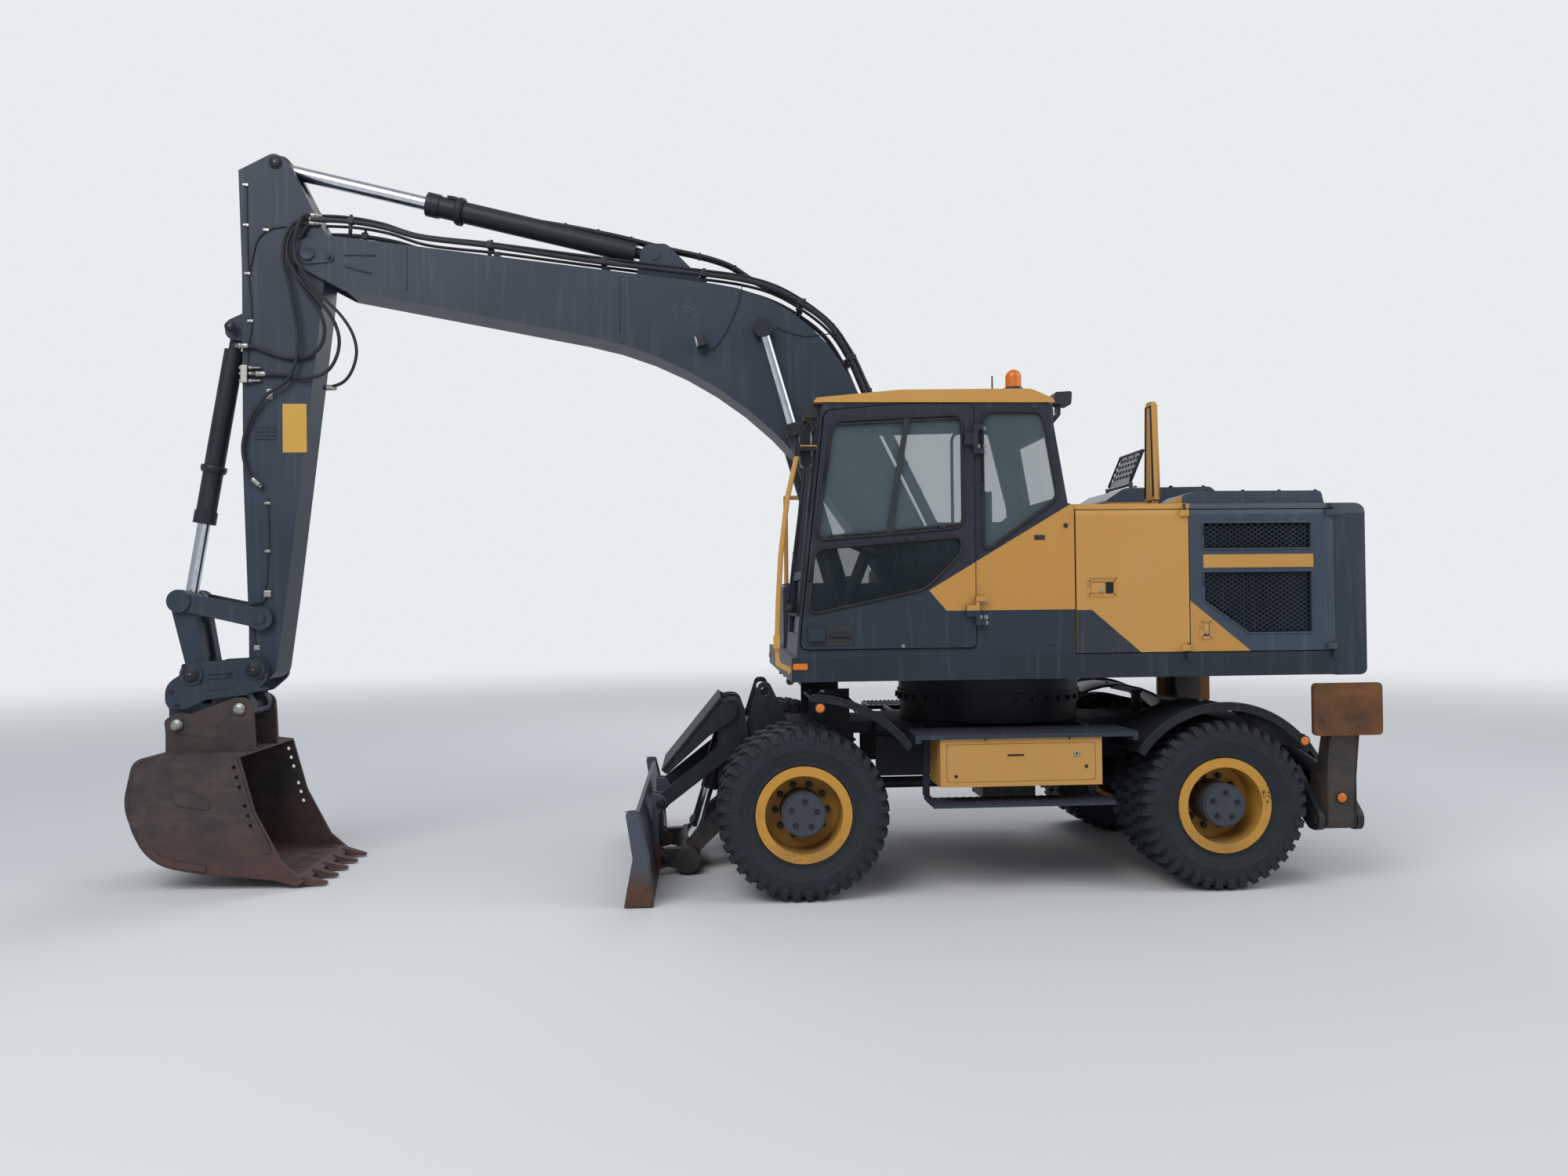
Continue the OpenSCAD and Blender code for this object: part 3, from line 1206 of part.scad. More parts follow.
module bucket() {
    half = bucket_w / 2;
    shell = outline(bucket_side, 6);
    color("#5b4a3e") placed() {
        difference() {
            plate(shell, -half, half);
            plate(outline([[-5470, 860, 40], [-5610, 830, 80], [-5678, 560, 310], [-5545, 205, 305], [-5200, 130, 280],
                [-4755, 86, 0], [-4500, 80, 0], [-4500, 200, 0], [-4700, 400, 0], [-4780, 865, 0]], 6), -half + bucket_t, half - bucket_t);
            // Holes for side cutters
            for (c = cutter_holes)
                bar_y(c, 14, -half - 1, half + 1);
        }
        // Ears with the pins that the coupler grips
        both_sides() difference() {
            plate(outline([[-5560, 870, 0], [-5560, 1075, 60], [-5490, 1142, 60], [-5390, 1130, 60], [-5100, 1236, 70],
                [-4995, 1236, 70], [-4985, 1100, 60], [-4975, 880, 0]]), boss_half, boss_half + 35);
        }
        for (p = [bucket_pin_rear, bucket_pin_front])
            bar_y(p, 40, -boss_half - 45, boss_half + 45);
        // Lifting eye behind the ears
        difference() {
            plate(outline([[-5640, 864, 0], [-5664, 1080, 44], [-5600, 1098, 44], [-5545, 1050, 0], [-5520, 873, 0]]), -20, 20);
            bar_y(lifting_eye, lifting_r, -30, 30);
        }
        for (i = [0:tooth_count - 1])
            tooth(-half + 70 + i * (bucket_w - 140) / (tooth_count - 1));
    }
}

module tooth(y) {
    hull($fn = 32) {
        translate([-4640, y - 45, 14]) cube([20, 90, 70]);
        translate([-4440, y - 22, 12]) cube([10, 44, 14]);
    }
}

module wheel_side(x, side) {
    color("#d9a441") placed() wheel(x, side);
}

module tyres(x, side) {
    color("#26282a") placed() tyre_pair(x, side);
}

chassis_frame();
running_gear();
fenders();
steps();
tool_boxes();
color("#33373d") placed() knuckle(-1);  // knuckle_left
color("#33373d") placed() knuckle(1);  // knuckle_right
tyres(front_x, -1);  // tyres_front_left
tyres(front_x, 1);  // tyres_front_right
tyres(rear_x, -1);  // tyres_rear_left
tyres(rear_x, 1);  // tyres_rear_right
wheel_side(front_x, -1);  // rims_front_left
wheel_side(front_x, 1);  // rims_front_right
wheel_side(rear_x, -1);  // rims_rear_left
wheel_side(rear_x, 1);  // rims_rear_right
blade();
blade_arms();
blade_links();
blade_guard();
blade_barrels();
blade_rods();
on_side(-1) outrigger();  // outrigger_left
on_side(1) outrigger();  // outrigger_right
on_side(-1) outrigger_barrel();  // outrigger_barrel_left
on_side(1) outrigger_barrel();  // outrigger_barrel_right
on_side(-1) outrigger_rod();  // outrigger_rod_left
on_side(1) outrigger_rod();  // outrigger_rod_right
upper_frame();
counterweight();
hood();
engine();
right_body();
cab_shell();
cab_roof();
cab_glass();
cab_interior();
seat();
lamps();
mirrors();
handrails();
cab_door();
cab_door_glass();
side_door();
grille_door();
grille_mesh();
right_door();
hatch();
hatch_lid();
boom();
boom_barrels();
boom_rods();
arm();
arm_barrel();
arm_rod();
bucket_barrel();
bucket_rod();
rocker();
link();
coupler();
bucket();
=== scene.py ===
# %% [markdown]
# # A wheeled excavator, dressed for its picture
#
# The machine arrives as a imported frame: plain solids with the right sizes, sorted into the bodies
# that move. This notebook gives them paint, rubber, glass and rust, and adds the pieces that a CAD
# model leaves plain, such as tread lugs, hoses, gaskets and bolts. Everything is in metres, with the
# front towards -X, the cab side towards -Y and the ground at z = 0.

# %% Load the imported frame
import math
import random

import bmesh
import bpy
from mathutils import Matrix, Vector


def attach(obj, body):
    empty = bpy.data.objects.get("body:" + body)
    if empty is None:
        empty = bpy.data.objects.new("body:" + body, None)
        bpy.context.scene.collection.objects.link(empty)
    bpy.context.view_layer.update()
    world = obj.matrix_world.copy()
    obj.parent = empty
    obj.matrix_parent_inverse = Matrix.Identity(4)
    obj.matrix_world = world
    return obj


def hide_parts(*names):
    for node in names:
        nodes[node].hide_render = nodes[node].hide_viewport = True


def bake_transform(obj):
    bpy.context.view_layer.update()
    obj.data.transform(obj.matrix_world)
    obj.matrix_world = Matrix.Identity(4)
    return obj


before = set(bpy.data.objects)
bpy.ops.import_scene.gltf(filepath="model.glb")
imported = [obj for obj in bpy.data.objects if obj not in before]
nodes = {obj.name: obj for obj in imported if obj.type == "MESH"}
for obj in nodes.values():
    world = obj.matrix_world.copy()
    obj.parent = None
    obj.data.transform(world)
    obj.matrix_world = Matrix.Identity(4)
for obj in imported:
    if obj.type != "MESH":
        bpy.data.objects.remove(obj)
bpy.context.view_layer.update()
# The drawing measures from the middle of the wheelbase, which lies at this X in the frame
MID_X = 1.545
# Half the wheelbase, and the height of the wheels' axles
AXLE_X, WHEEL_Z = 1.325, 0.535
# The machine's left is -Y
SIDES = (("left", -1), ("right", 1))
UP = (0, 0, 1)

# %% [markdown]
# ## The camera
#
# A camera is solved from the photo by matching known points, such as the rims and the corners of the
# body. A phone's wide lens at 27 mm stands a little over head height, about eight metres away. The
# same three axes are written here as a matrix, so that nothing has to be turned by eye.

# %% Camera
CAMERA_PLACE = Vector((-1.91481 + MID_X, -8.43937, 1.83625))
CAMERA_YAW, CAMERA_PITCH, CAMERA_ROLL = 0.066841, 0.012703, -0.010958
camera_data = bpy.data.cameras.new("camera")
camera_data.lens = 27.0
camera_data.sensor_width = 36.0
camera = bpy.data.objects.new("camera", camera_data)
bpy.context.scene.collection.objects.link(camera)
forward = Vector((
    math.sin(CAMERA_YAW) * math.cos(CAMERA_PITCH),
    math.cos(CAMERA_YAW) * math.cos(CAMERA_PITCH),
    math.sin(CAMERA_PITCH),
))
level_right = Vector((math.cos(CAMERA_YAW), -math.sin(CAMERA_YAW), 0))
level_up = level_right.cross(forward)
right = level_right * math.cos(CAMERA_ROLL) + level_up * math.sin(CAMERA_ROLL)
up = right.cross(forward)
camera.matrix_world = Matrix((
    (right.x, up.x, -forward.x, CAMERA_PLACE.x),
    (right.y, up.y, -forward.y, CAMERA_PLACE.y),
    (right.z, up.z, -forward.z, CAMERA_PLACE.z),
    (0, 0, 0, 1),
))
camera_data.clip_end = 200
bpy.context.scene.camera = camera

# %% [markdown]
# ## Helpers for colour and nodes
#
# Colours are picked as sRGB hex codes, the way a paint chart gives them. Blender's shaders work in
# linear light, so one function turns a code into linear values. One more adds a node with its settings
# and feeds its inputs, which keeps each material short enough to read.

# %% Colour and node helpers
def linear(code):
    parts = [int(code[i:i + 2], 16) / 255 for i in (1, 3, 5)]
    return [p / 12.92 if p <= 0.04045 else ((p + 0.055) / 1.055) ** 2.4 for p in parts] + [1.0]


def feed(tree, node, sockets):
    """Feeds inputs, by name or number: with a value, a hex colour, an output, or a node's first output."""
    for key, value in sockets.items():
        if isinstance(value, bpy.types.Node):
            value = value.outputs[0]
        if isinstance(value, bpy.types.NodeSocket):
            tree.links.new(value, node.inputs[key])
        elif isinstance(value, str) and value.startswith("#"):
            node.inputs[key].default_value = linear(value)
        else:
            node.inputs[key].default_value = value
    return node


def add(tree, kind, sockets=None, **settings):
    """Adds a node with its settings and feeds its inputs."""
    node = tree.nodes.new(kind)
    for key, value in settings.items():
        setattr(node, key, value)
    return feed(tree, node, sockets or {})


def new_material(name):
    """A material with its tree, its shader, and the place on the object that every pattern starts from."""
    material = bpy.data.materials.new(name)
    material.use_nodes = True
    tree = material.node_tree
    tree.nodes.clear()
    shader = add(tree, "ShaderNodeBsdfPrincipled")
    add(tree, "ShaderNodeOutputMaterial", {"Surface": shader})
    return material, tree, shader, add(tree, "ShaderNodeTexCoord").outputs["Object"]


def ramp(tree, value, stops):
    node = add(tree, "ShaderNodeValToRGB", {"Fac": value})
    elements = node.color_ramp.elements
    while len(elements) < len(stops):
        elements.new(0.5)
    for element, (place, shade) in zip(elements, stops):
        element.position = place
        element.color = linear(shade) if isinstance(shade, str) else (shade, shade, shade, 1)
    return node


def blend_colour(tree, factor, first, second):
    # A mix node keeps its colours after the inputs for numbers and vectors
    mix = add(tree, "ShaderNodeMix", {0: factor, 6: first, 7: second}, data_type="RGBA")
    return mix.outputs[2]

# %% [markdown]
# ## Painted steel that has worked outdoors
#
# Construction paint is a two-pack enamel sprayed over primer. Years of sun chalk it, so the colour
# varies gently over a panel and the gloss is low. Dust settles on faces that look upwards, mud
# splashes reach the lower parts, and stones chip it through to the steel. The recipe is the same for
# each colour, so one function makes them all from the paint's own values.
#
# The side is painted in blocks of colour that run across doors and cab alike. Each block is a convex
# outline on the drawing, and the sprayer's masking tape becomes a row of half-plane tests.

# %% Weathered paint
def inside(tree, place, corners):
    """1 inside a convex outline in the XZ plane, given as (x, z) in drawing millimetres."""
    loop = list(zip(corners, corners[1:] + corners[:1]))
    turn = 1 if sum(x0 * z1 - x1 * z0 for (x0, z0), (x1, z1) in loop) > 0 else -1
    product = 1.0
    for (x0, z0), (x1, z1) in loop:
        normal = Vector((z0 - z1, 0, x1 - x0)).normalized() * turn
        along = add(
            tree, "ShaderNodeVectorMath", {0: place, 1: normal}, operation="DOT_PRODUCT"
        ).outputs["Value"]
        limit = normal.dot(Vector((x0 * 0.001 + MID_X, 0, z0 * 0.001)))
        test = add(tree, "ShaderNodeMath", {0: along, 1: limit}, operation="GREATER_THAN")
        product = add(tree, "ShaderNodeMath", {0: product, 1: test}, operation="MULTIPLY")
    return product


def weathered_paint(name, paint, faded, dust="#8E8675", dust_amount=0.35, roughness=0.45, chips=0.0,
                    chip_colour="#4A3528", mud=0.0, mud_top=0.9, zones=(), bare_below=0.0):
    material, tree, shader, place = new_material(name)
    normal = add(tree, "ShaderNodeNewGeometry").outputs["Normal"]
    # Slow fading, over patches of about 0.7 m
    patches = add(tree, "ShaderNodeTexNoise", {
        "Vector": place, "Scale": 1.4, "Detail": 5.0, "Roughness": 0.55
    })
    fading = ramp(tree, patches, [(0.3, 0.0), (0.75, 1.0)])
    colour = blend_colour(tree, fading, paint, faded)
    if zones:
        sideways = add(tree, "ShaderNodeSeparateXYZ", {0: normal}).outputs["Y"]
        outer = add(tree, "ShaderNodeMath", {0: sideways, 1: -0.5}, operation="LESS_THAN")
        for shade, corners in zones:
            block = inside(tree, place, corners)
            masked = add(tree, "ShaderNodeMath", {0: block, 1: outer}, operation="MULTIPLY")
            colour = blend_colour(tree, masked, colour, shade)
    # Streaks that rain draws down a wall: stretched noise, 30 mm wide
    stretch = add(tree, "ShaderNodeMapping", {"Vector": place, "Scale": (30.0, 30.0, 1.6)})
    streaks = add(tree, "ShaderNodeTexNoise", {"Vector": stretch, "Scale": 1.0, "Detail": 3.0})
    streak_mask = ramp(tree, streaks, [(0.55, 0.0), (0.85, 0.22)])
    colour = blend_colour(tree, streak_mask, colour, dust)
    # Dust on faces that look up, broken up by noise of about 60 mm
    upward = add(tree, "ShaderNodeSeparateXYZ", {0: normal}).outputs["Z"]
    grains = add(tree, "ShaderNodeTexNoise", {
        "Vector": place, "Scale": 16.0, "Detail": 6.0, "Roughness": 0.7
    })
    facing = add(tree, "ShaderNodeMapRange", {
        "Value": upward, "From Min": 0.2, "From Max": 1.0, "To Max": dust_amount * 1.6
    })
    settled = add(tree, "ShaderNodeMath", {0: facing, 1: grains}, operation="MULTIPLY")
    film = add(tree, "ShaderNodeMath", {0: grains, 1: dust_amount * 0.35}, operation="MULTIPLY")
    dusting = add(tree, "ShaderNodeMath", {0: settled, 1: film}, operation="ADD", use_clamp=True)
    colour = blend_colour(tree, dusting, colour, dust)
    if mud:
        height = add(tree, "ShaderNodeSeparateXYZ", {0: place}).outputs["Z"]
        splash = add(tree, "ShaderNodeTexNoise", {
            "Vector": place, "Scale": 7.0, "Detail": 8.0, "Roughness": 0.7
        })
        low = add(tree, "ShaderNodeMapRange", {
            "Value": height, "From Min": 0.0, "From Max": mud_top, "To Min": 1.0, "To Max": 0.0
        })
        amount = add(tree, "ShaderNodeMath", {0: low, 1: splash}, operation="MULTIPLY")
        mask = ramp(tree, amount, [(0.28, 0.0), (0.6, mud)])
        colour = blend_colour(tree, mask, colour, "#5A5147")
    if bare_below:
        # The ground scours the paint away, and what shows below is rust
        height = add(tree, "ShaderNodeSeparateXYZ", {0: place}).outputs["Z"]
        ragged = add(tree, "ShaderNodeMath", {0: patches, 1: 0.25}, operation="MULTIPLY")
        edge = add(tree, "ShaderNodeMath", {0: height, 1: ragged}, operation="ADD")
        scoured = add(tree, "ShaderNodeMapRange", {
            "Value": edge, "From Min": bare_below + 0.03, "From Max": bare_below + 0.16, "To Min": 1.0,
            "To Max": 0.0
        })
        rust = blend_colour(tree, grains, "#3B2A24", "#6A4C3C")
        colour = blend_colour(tree, scoured, colour, rust)
    rough = add(tree, "ShaderNodeMapRange", {"Value": dusting, "To Min": roughness, "To Max": 0.85})
    if chips:
        spots = add(tree, "ShaderNodeTexNoise", {
            "Vector": place, "Scale": 48.0, "Detail": 4.0, "Roughness": 0.75
        })
        spread = add(tree, "ShaderNodeTexNoise", {"Vector": place, "Scale": 3.0, "Detail": 2.0})
        both = add(tree, "ShaderNodeMath", {0: spots, 1: spread}, operation="MULTIPLY")
        chip_mask = ramp(tree, both, [(0.44 - 0.16 * chips, 0.0), (0.47 - 0.16 * chips, 1.0)])
        colour = blend_colour(tree, chip_mask, colour, chip_colour)
    # Sprayed enamel has an orange peel of a few millimetres
    peel = add(tree, "ShaderNodeTexNoise", {"Vector": place, "Scale": 260.0, "Detail": 2.0})
    relief = add(tree, "ShaderNodeBump", {"Height": peel, "Strength": 0.05, "Distance": 0.002})
    # Enamel that has stood outside for years has lost much of its gloss
    feed(tree, shader, {
        "Base Color": colour, "Roughness": rough, "Normal": relief, "Specular IOR Level": 0.25
    })
    return material


GREY_PAINT = weathered_paint("sprayed_grey_enamel", "#29323D", "#323C48", dust="#70757B", dust_amount=0.12)
DARK_PAINT = weathered_paint("dark_grey_enamel", "#222932", "#29313B", dust="#66686A", dust_amount=0.14)
BOOM_PAINT = weathered_paint(
    "boom_grey_enamel", "#28313D", "#323C49", dust="#686F78", dust_amount=0.14, chips=0.12,
    chip_colour="#4E545C"
)
YELLOW = "#BD8A45"
YELLOW_PAINT = weathered_paint("sprayed_yellow_enamel", YELLOW, "#C29452", dust="#A99A7E", dust_amount=0.12)
SIDE_DOOR_PAINT = weathered_paint(
    "masked_side_door_enamel", YELLOW, "#C29452", dust="#A99A7E", dust_amount=0.12,
    zones=[("#2B333E", [(380, 1772), (490, 1772), (822, 1485), (380, 1485)])]
)
GRILLE_DOOR_PAINT = weathered_paint(
    "masked_grille_door_enamel", "#37424F", "#3F4A57", dust="#73787E", dust_amount=0.12,
    zones=[(YELLOW, [(1090, 1847), (1530, 1484), (1090, 1484)])]
)
CAB_PAINT = weathered_paint(
    "masked_cab_enamel", "#242932", "#2A303A", dust="#66686A", dust_amount=0.12,
    zones=[
        (YELLOW, [(-538, 1904), (363, 2434), (400, 2434), (400, 1776), (-429, 1777)]),
        ("#28323C", [(-1420, 1480), (-1420, 1714), (-1338, 1731), (-538, 1904), (-429, 1776)]),
        ("#28323C", [(-1420, 1480), (-429, 1777), (400, 1777), (400, 1480)])
    ]
)
HOOD_PAINT = weathered_paint(
    "masked_hood_enamel", "#37414C", "#404B56", dust="#777A7C", dust_amount=0.16,
    zones=[(YELLOW, [(380, 2300), (380, 2500), (1116, 2500), (1116, 2300)])]
)
HUB_PAINT = weathered_paint(
    "hub_grey_enamel", "#363B45", "#444A54", dust="#5F5A50", dust_amount=0.35, mud=0.4, mud_top=1.2
)
RIM_PAINT = weathered_paint(
    "rim_yellow_enamel", "#CC963C", "#BD8A3D", dust="#6B5B45", dust_amount=0.4, chips=0.3,
    chip_colour="#4B3A2B", mud=0.5, mud_top=1.4
)
CHASSIS_PAINT = weathered_paint(
    "chassis_grey_enamel", "#1A1F27", "#242A33", dust="#5B5850", dust_amount=0.25, chips=0.15, mud=0.6,
    mud_top=1.2
)
BLADE_PAINT = weathered_paint(
    "scoured_blade_enamel", "#434955", "#4E5460", dust="#5B5850", dust_amount=0.25, chips=0.4, mud=0.5,
    mud_top=0.8, bare_below=0.2
)
BLACK_PAINT = weathered_paint(
    "satin_black_enamel", "#161A20", "#1E232A", dust="#5F605E", dust_amount=0.14, roughness=0.4
)
STEEL_DARK = weathered_paint(
    "oiled_black_steel", "#1C2027", "#262B32", dust="#55524B", dust_amount=0.2, roughness=0.4
)

# %% [markdown]
# ## Bare steel: rust, chrome and worn edges
#
# The bucket, the blade's edge and the outriggers' pads lose their paint in the ground. Warm brown
# rust lies over darker mill scale in ragged patches, 20 cm wide and less, and its grain of about 5 mm
# makes it matt. Rods are ground and hard-chromed, so they mirror the sky with hardly any texture.

# %% Bare metal
def rusty_steel(name, dark, mid, bright, clay, clay_amount=0.3, scale=5.0, red_below=0.0):
    material, tree, shader, place = new_material(name)
    patches = add(tree, "ShaderNodeTexNoise", {
        "Vector": place, "Scale": scale, "Detail": 9.0, "Roughness": 0.65
    })
    colour = ramp(tree, patches, [(0.3, dark), (0.52, mid), (0.75, bright)])
    smears = add(tree, "ShaderNodeMapping", {"Vector": place, "Scale": (3.0, 3.0, 11.0)})
    clay_noise = add(tree, "ShaderNodeTexNoise", {
        "Vector": smears, "Scale": 1.0, "Detail": 7.0, "Roughness": 0.7
    })
    clay_mask = ramp(tree, clay_noise, [(0.5, 0.0), (0.72, clay_amount)])
    colour = blend_colour(tree, clay_mask, colour, clay)
    if red_below:
        # Fresh rust where the teeth and the lip drag over stone
        height = add(tree, "ShaderNodeSeparateXYZ", {0: place}).outputs["Z"]
        low = add(tree, "ShaderNodeMapRange", {
            "Value": height, "From Max": red_below, "To Min": 1.2, "To Max": 0.0
        })
        amount = add(tree, "ShaderNodeMath", {0: low, 1: patches}, operation="MULTIPLY", use_clamp=True)
        colour = blend_colour(tree, amount, colour, "#64403A")
    grain = add(tree, "ShaderNodeTexNoise", {
        "Vector": place, "Scale": 180.0, "Detail": 6.0, "Roughness": 0.7
    })
    rough = add(tree, "ShaderNodeMapRange", {"Value": patches, "To Min": 0.5, "To Max": 0.95})
    pits = add(tree, "ShaderNodeBump", {"Height": grain, "Strength": 0.35, "Distance": 0.003})
    feed(tree, shader, {"Base Color": colour, "Roughness": rough, "Normal": pits, "Metallic": 0.25})
    return material


BUCKET_STEEL = rusty_steel(
    "worn_bucket_steel", "#2F2C2D", "#443D3C", "#5C4A41", "#6A5B4C", 0.45, red_below=0.5
)
EDGE_STEEL = rusty_steel("ground_edge_steel", "#33292A", "#4E3B34", "#6E4E3C", "#7A6148", 0.4, 9.0)
PAD_RUST = rusty_steel("rusted_pad_steel", "#4A3222", "#6B4526", "#8A5A2C", "#6E5B42", 0.4, 6.0)
LEG_STEEL = rusty_steel("dusty_leg_steel", "#35322F", "#45403C", "#57493C", "#5D5648", 0.4, 6.0)


def polished(name, colour, roughness):
    material, tree, shader, place = new_material(name)
    film = add(tree, "ShaderNodeTexNoise", {"Vector": place, "Scale": 22.0, "Detail": 5.0})
    shade = blend_colour(tree, ramp(tree, film, [(0.45, 0.0), (0.8, 0.35)]), colour, "#6C6A66")
    gloss = add(tree, "ShaderNodeMapRange", {"Value": film, "To Min": roughness, "To Max": roughness + 0.2})
    feed(tree, shader, {"Base Color": shade, "Roughness": gloss, "Metallic": 1.0})
    return material


CHROME = polished("hard_chrome", "#D3D8DD", 0.08)
ZINC = polished("zinc_plated_steel", "#A7A69F", 0.3)

# %% [markdown]
# ## Rubber, plastic, glass and cloth
#
# Tyre rubber is a dull black that greys where the road scrubs it, with dried mud in its grooves. Cab
# trim is moulded plastic with a leather-like grain of about 1 mm. The windows are tinted safety
# glass: mostly clear, slightly grey-green, and mirror-smooth.

# %% Rubber, plastic, glass and cloth
def rubber(name, black, worn, mud="#4E463C", mud_amount=0.4, grain=120.0):
    material, tree, shader, place = new_material(name)
    scrub = add(tree, "ShaderNodeTexNoise", {"Vector": place, "Scale": 9.0, "Detail": 8.0, "Roughness": 0.65})
    colour = blend_colour(tree, ramp(tree, scrub, [(0.35, 0.0), (0.7, 1.0)]), black, worn)
    dirt = add(tree, "ShaderNodeTexNoise", {"Vector": place, "Scale": 26.0, "Detail": 7.0, "Roughness": 0.75})
    colour = blend_colour(tree, ramp(tree, dirt, [(0.5, 0.0), (0.78, mud_amount)]), colour, mud)
    fine = add(tree, "ShaderNodeTexNoise", {"Vector": place, "Scale": grain, "Detail": 3.0})
    relief = add(tree, "ShaderNodeBump", {"Height": fine, "Strength": 0.2, "Distance": 0.002})
    feed(tree, shader, {"Base Color": colour, "Roughness": 0.72, "Normal": relief})
    return material


TYRE_RUBBER = rubber("road_tyre_rubber", "#0D141B", "#18212A", mud="#403D38", mud_amount=0.18)
HOSE_RUBBER = rubber("braided_hose_rubber", "#15181C", "#22262B", mud_amount=0.15)
SEAL_RUBBER = rubber("window_seal_rubber", "#101214", "#191C1F", mud_amount=0.1)
TRIM_PLASTIC = rubber("grained_cab_plastic", "#202327", "#2A2D31", mud="#55524B", mud_amount=0.2, grain=900.0)


def glass(name, tint, density):
    material, tree, shader, place = new_material(name)
    haze = add(tree, "ShaderNodeTexNoise", {"Vector": place, "Scale": 6.0, "Detail": 6.0})
    rough = add(tree, "ShaderNodeMapRange", {"Value": haze, "To Min": 0.02, "To Max": 0.09})
    feed(tree, shader, {
        "Base Color": tint, "Roughness": rough, "Alpha": density, "IOR": 1.45, "Specular IOR Level": 0.6
    })
    return material


WINDOW_GLASS = glass("tinted_safety_glass", "#6E8086", 0.25)
# The lower panes' darker, denser tint is painted shade of the dim cab inside, not a tint of the glass
SHADED_LOWER_GLASS = glass("painted_shade_lower_glass", "#1A282D", 0.34)


def moulded(name, colour, worn, roughness=0.35):
    material, tree, shader, place = new_material(name)
    shade = add(tree, "ShaderNodeTexNoise", {"Vector": place, "Scale": 30.0, "Detail": 4.0})
    feed(tree, shader, {"Base Color": blend_colour(tree, shade, colour, worn), "Roughness": roughness})
    return material


AMBER_LENS = moulded("amber_acrylic_lens", "#E07A1F", "#C9661A", 0.25)
BLACK_PLASTIC = moulded("black_lamp_housing", "#1A1C1F", "#26282B", 0.5)
CLEAR_LENS = moulded("clear_lamp_lens", "#C9CDD0", "#AEB3B7", 0.15)
BLANK_PLATE = moulded("yellow_vinyl_plate", "#C79A3A", "#BC8E36", 0.5)


def woven(name, colour, light):
    material, tree, shader, place = new_material(name)
    # Threads about 4 mm apart, drawn coarser than the real 0.6 mm so that they show
    warp = add(tree, "ShaderNodeTexWave", {
        "Vector": place, "Scale": 80.0, "Distortion": 1.0
    }, bands_direction="X")
    weft = add(tree, "ShaderNodeTexWave", {
        "Vector": place, "Scale": 80.0, "Distortion": 1.0
    }, bands_direction="Z")
    cloth = add(tree, "ShaderNodeMath", {
        0: warp.outputs["Fac"], 1: weft.outputs["Fac"]
    }, operation="MULTIPLY")
    relief = add(tree, "ShaderNodeBump", {"Height": cloth, "Strength": 0.4, "Distance": 0.001})
    feed(tree, shader, {
        "Base Color": blend_colour(tree, cloth, colour, light), "Roughness": 0.9, "Normal": relief
    })
    return material


SEAT_CLOTH = woven("woven_seat_cloth", "#202226", "#33363B")

# %% [markdown]
# ## Dressing the CAD nodes
#
# The solids that already have the right shape only need their finish. The table below lists each
# finish with the nodes it belongs to, as a spray shop's order would.

# %% Finish for each CAD node
FINISHES = {
    GREY_PAINT: ["counterweight", "right_body", "right_door"],
    HOOD_PAINT: ["hood"],
    GRILLE_DOOR_PAINT: ["grille_door"],
    SIDE_DOOR_PAINT: ["side_door"],
    DARK_PAINT: ["upper_frame"],
    CAB_PAINT: ["cab_shell", "cab_door"],
    BOOM_PAINT: ["boom", "arm", "coupler", "link", "rocker", "steps"],
    STEEL_DARK: ["boom_barrels", "arm_barrel", "bucket_barrel", "blade_barrels", "outrigger_barrel_left",
                 "outrigger_barrel_right"],
    YELLOW_PAINT: ["tool_boxes", "cab_roof", "hatch", "handrails"],
    CHASSIS_PAINT: ["chassis_frame", "running_gear", "knuckle_left", "knuckle_right", "blade_arms",
                    "blade_links", "blade_guard"],
    BLADE_PAINT: ["blade"],
    BLACK_PAINT: ["fenders", "hatch_lid", "engine", "mirrors", "grille_mesh"],
    RIM_PAINT: ["rims_front_left", "rims_front_right", "rims_rear_left", "rims_rear_right"],
    TYRE_RUBBER: ["tyres_front_left", "tyres_front_right", "tyres_rear_left", "tyres_rear_right"],
    CHROME: ["boom_rods", "arm_rod", "bucket_rod", "blade_rods", "outrigger_rod_left", "outrigger_rod_right"],
    BUCKET_STEEL: ["bucket"],
    LEG_STEEL: ["outrigger_left", "outrigger_right"],
    WINDOW_GLASS: ["cab_glass", "cab_door_glass"],
    TRIM_PLASTIC: ["cab_interior"],
    SEAT_CLOTH: ["seat"],
    AMBER_LENS: ["lamps"],
}
# The radii within which a hub lies in its rim, and an eye at the end of its rod
HUB_R, EYE_R = 0.139, 0.16


def reach(mesh, face, x, z):
    """The greatest distance of a face's corners from a line along Y, given from the wheelbase's middle."""
    corners = [mesh.vertices[i].co for i in face.vertices]
    return max(math.hypot(corner.x - MID_X - x, corner.z - z) for corner in corners)


for finish, names in FINISHES.items():
    for name in names:
        node = nodes[name]
        node.data.materials.clear()
        node.data.materials.append(finish)
# The lamps are one node of several solids: each face gets its finish from where it lies
cluster = nodes["lamps"].data
cluster.materials.append(BLACK_PLASTIC)
cluster.materials.append(CLEAR_LENS)
for face in cluster.polygons:
    x, y, z = face.center
    x -= MID_X
    if x < -1.19 and z > 2.9:
        face.material_index = 2 if face.normal.x < -0.8 else 1
    elif x > 0.2 or (z > 3.14 and (x < 0 and y > -1.03 or z < 3.178)):
        face.material_index = 2 if face.normal.x > 0.9 and z > 3.03 else 1
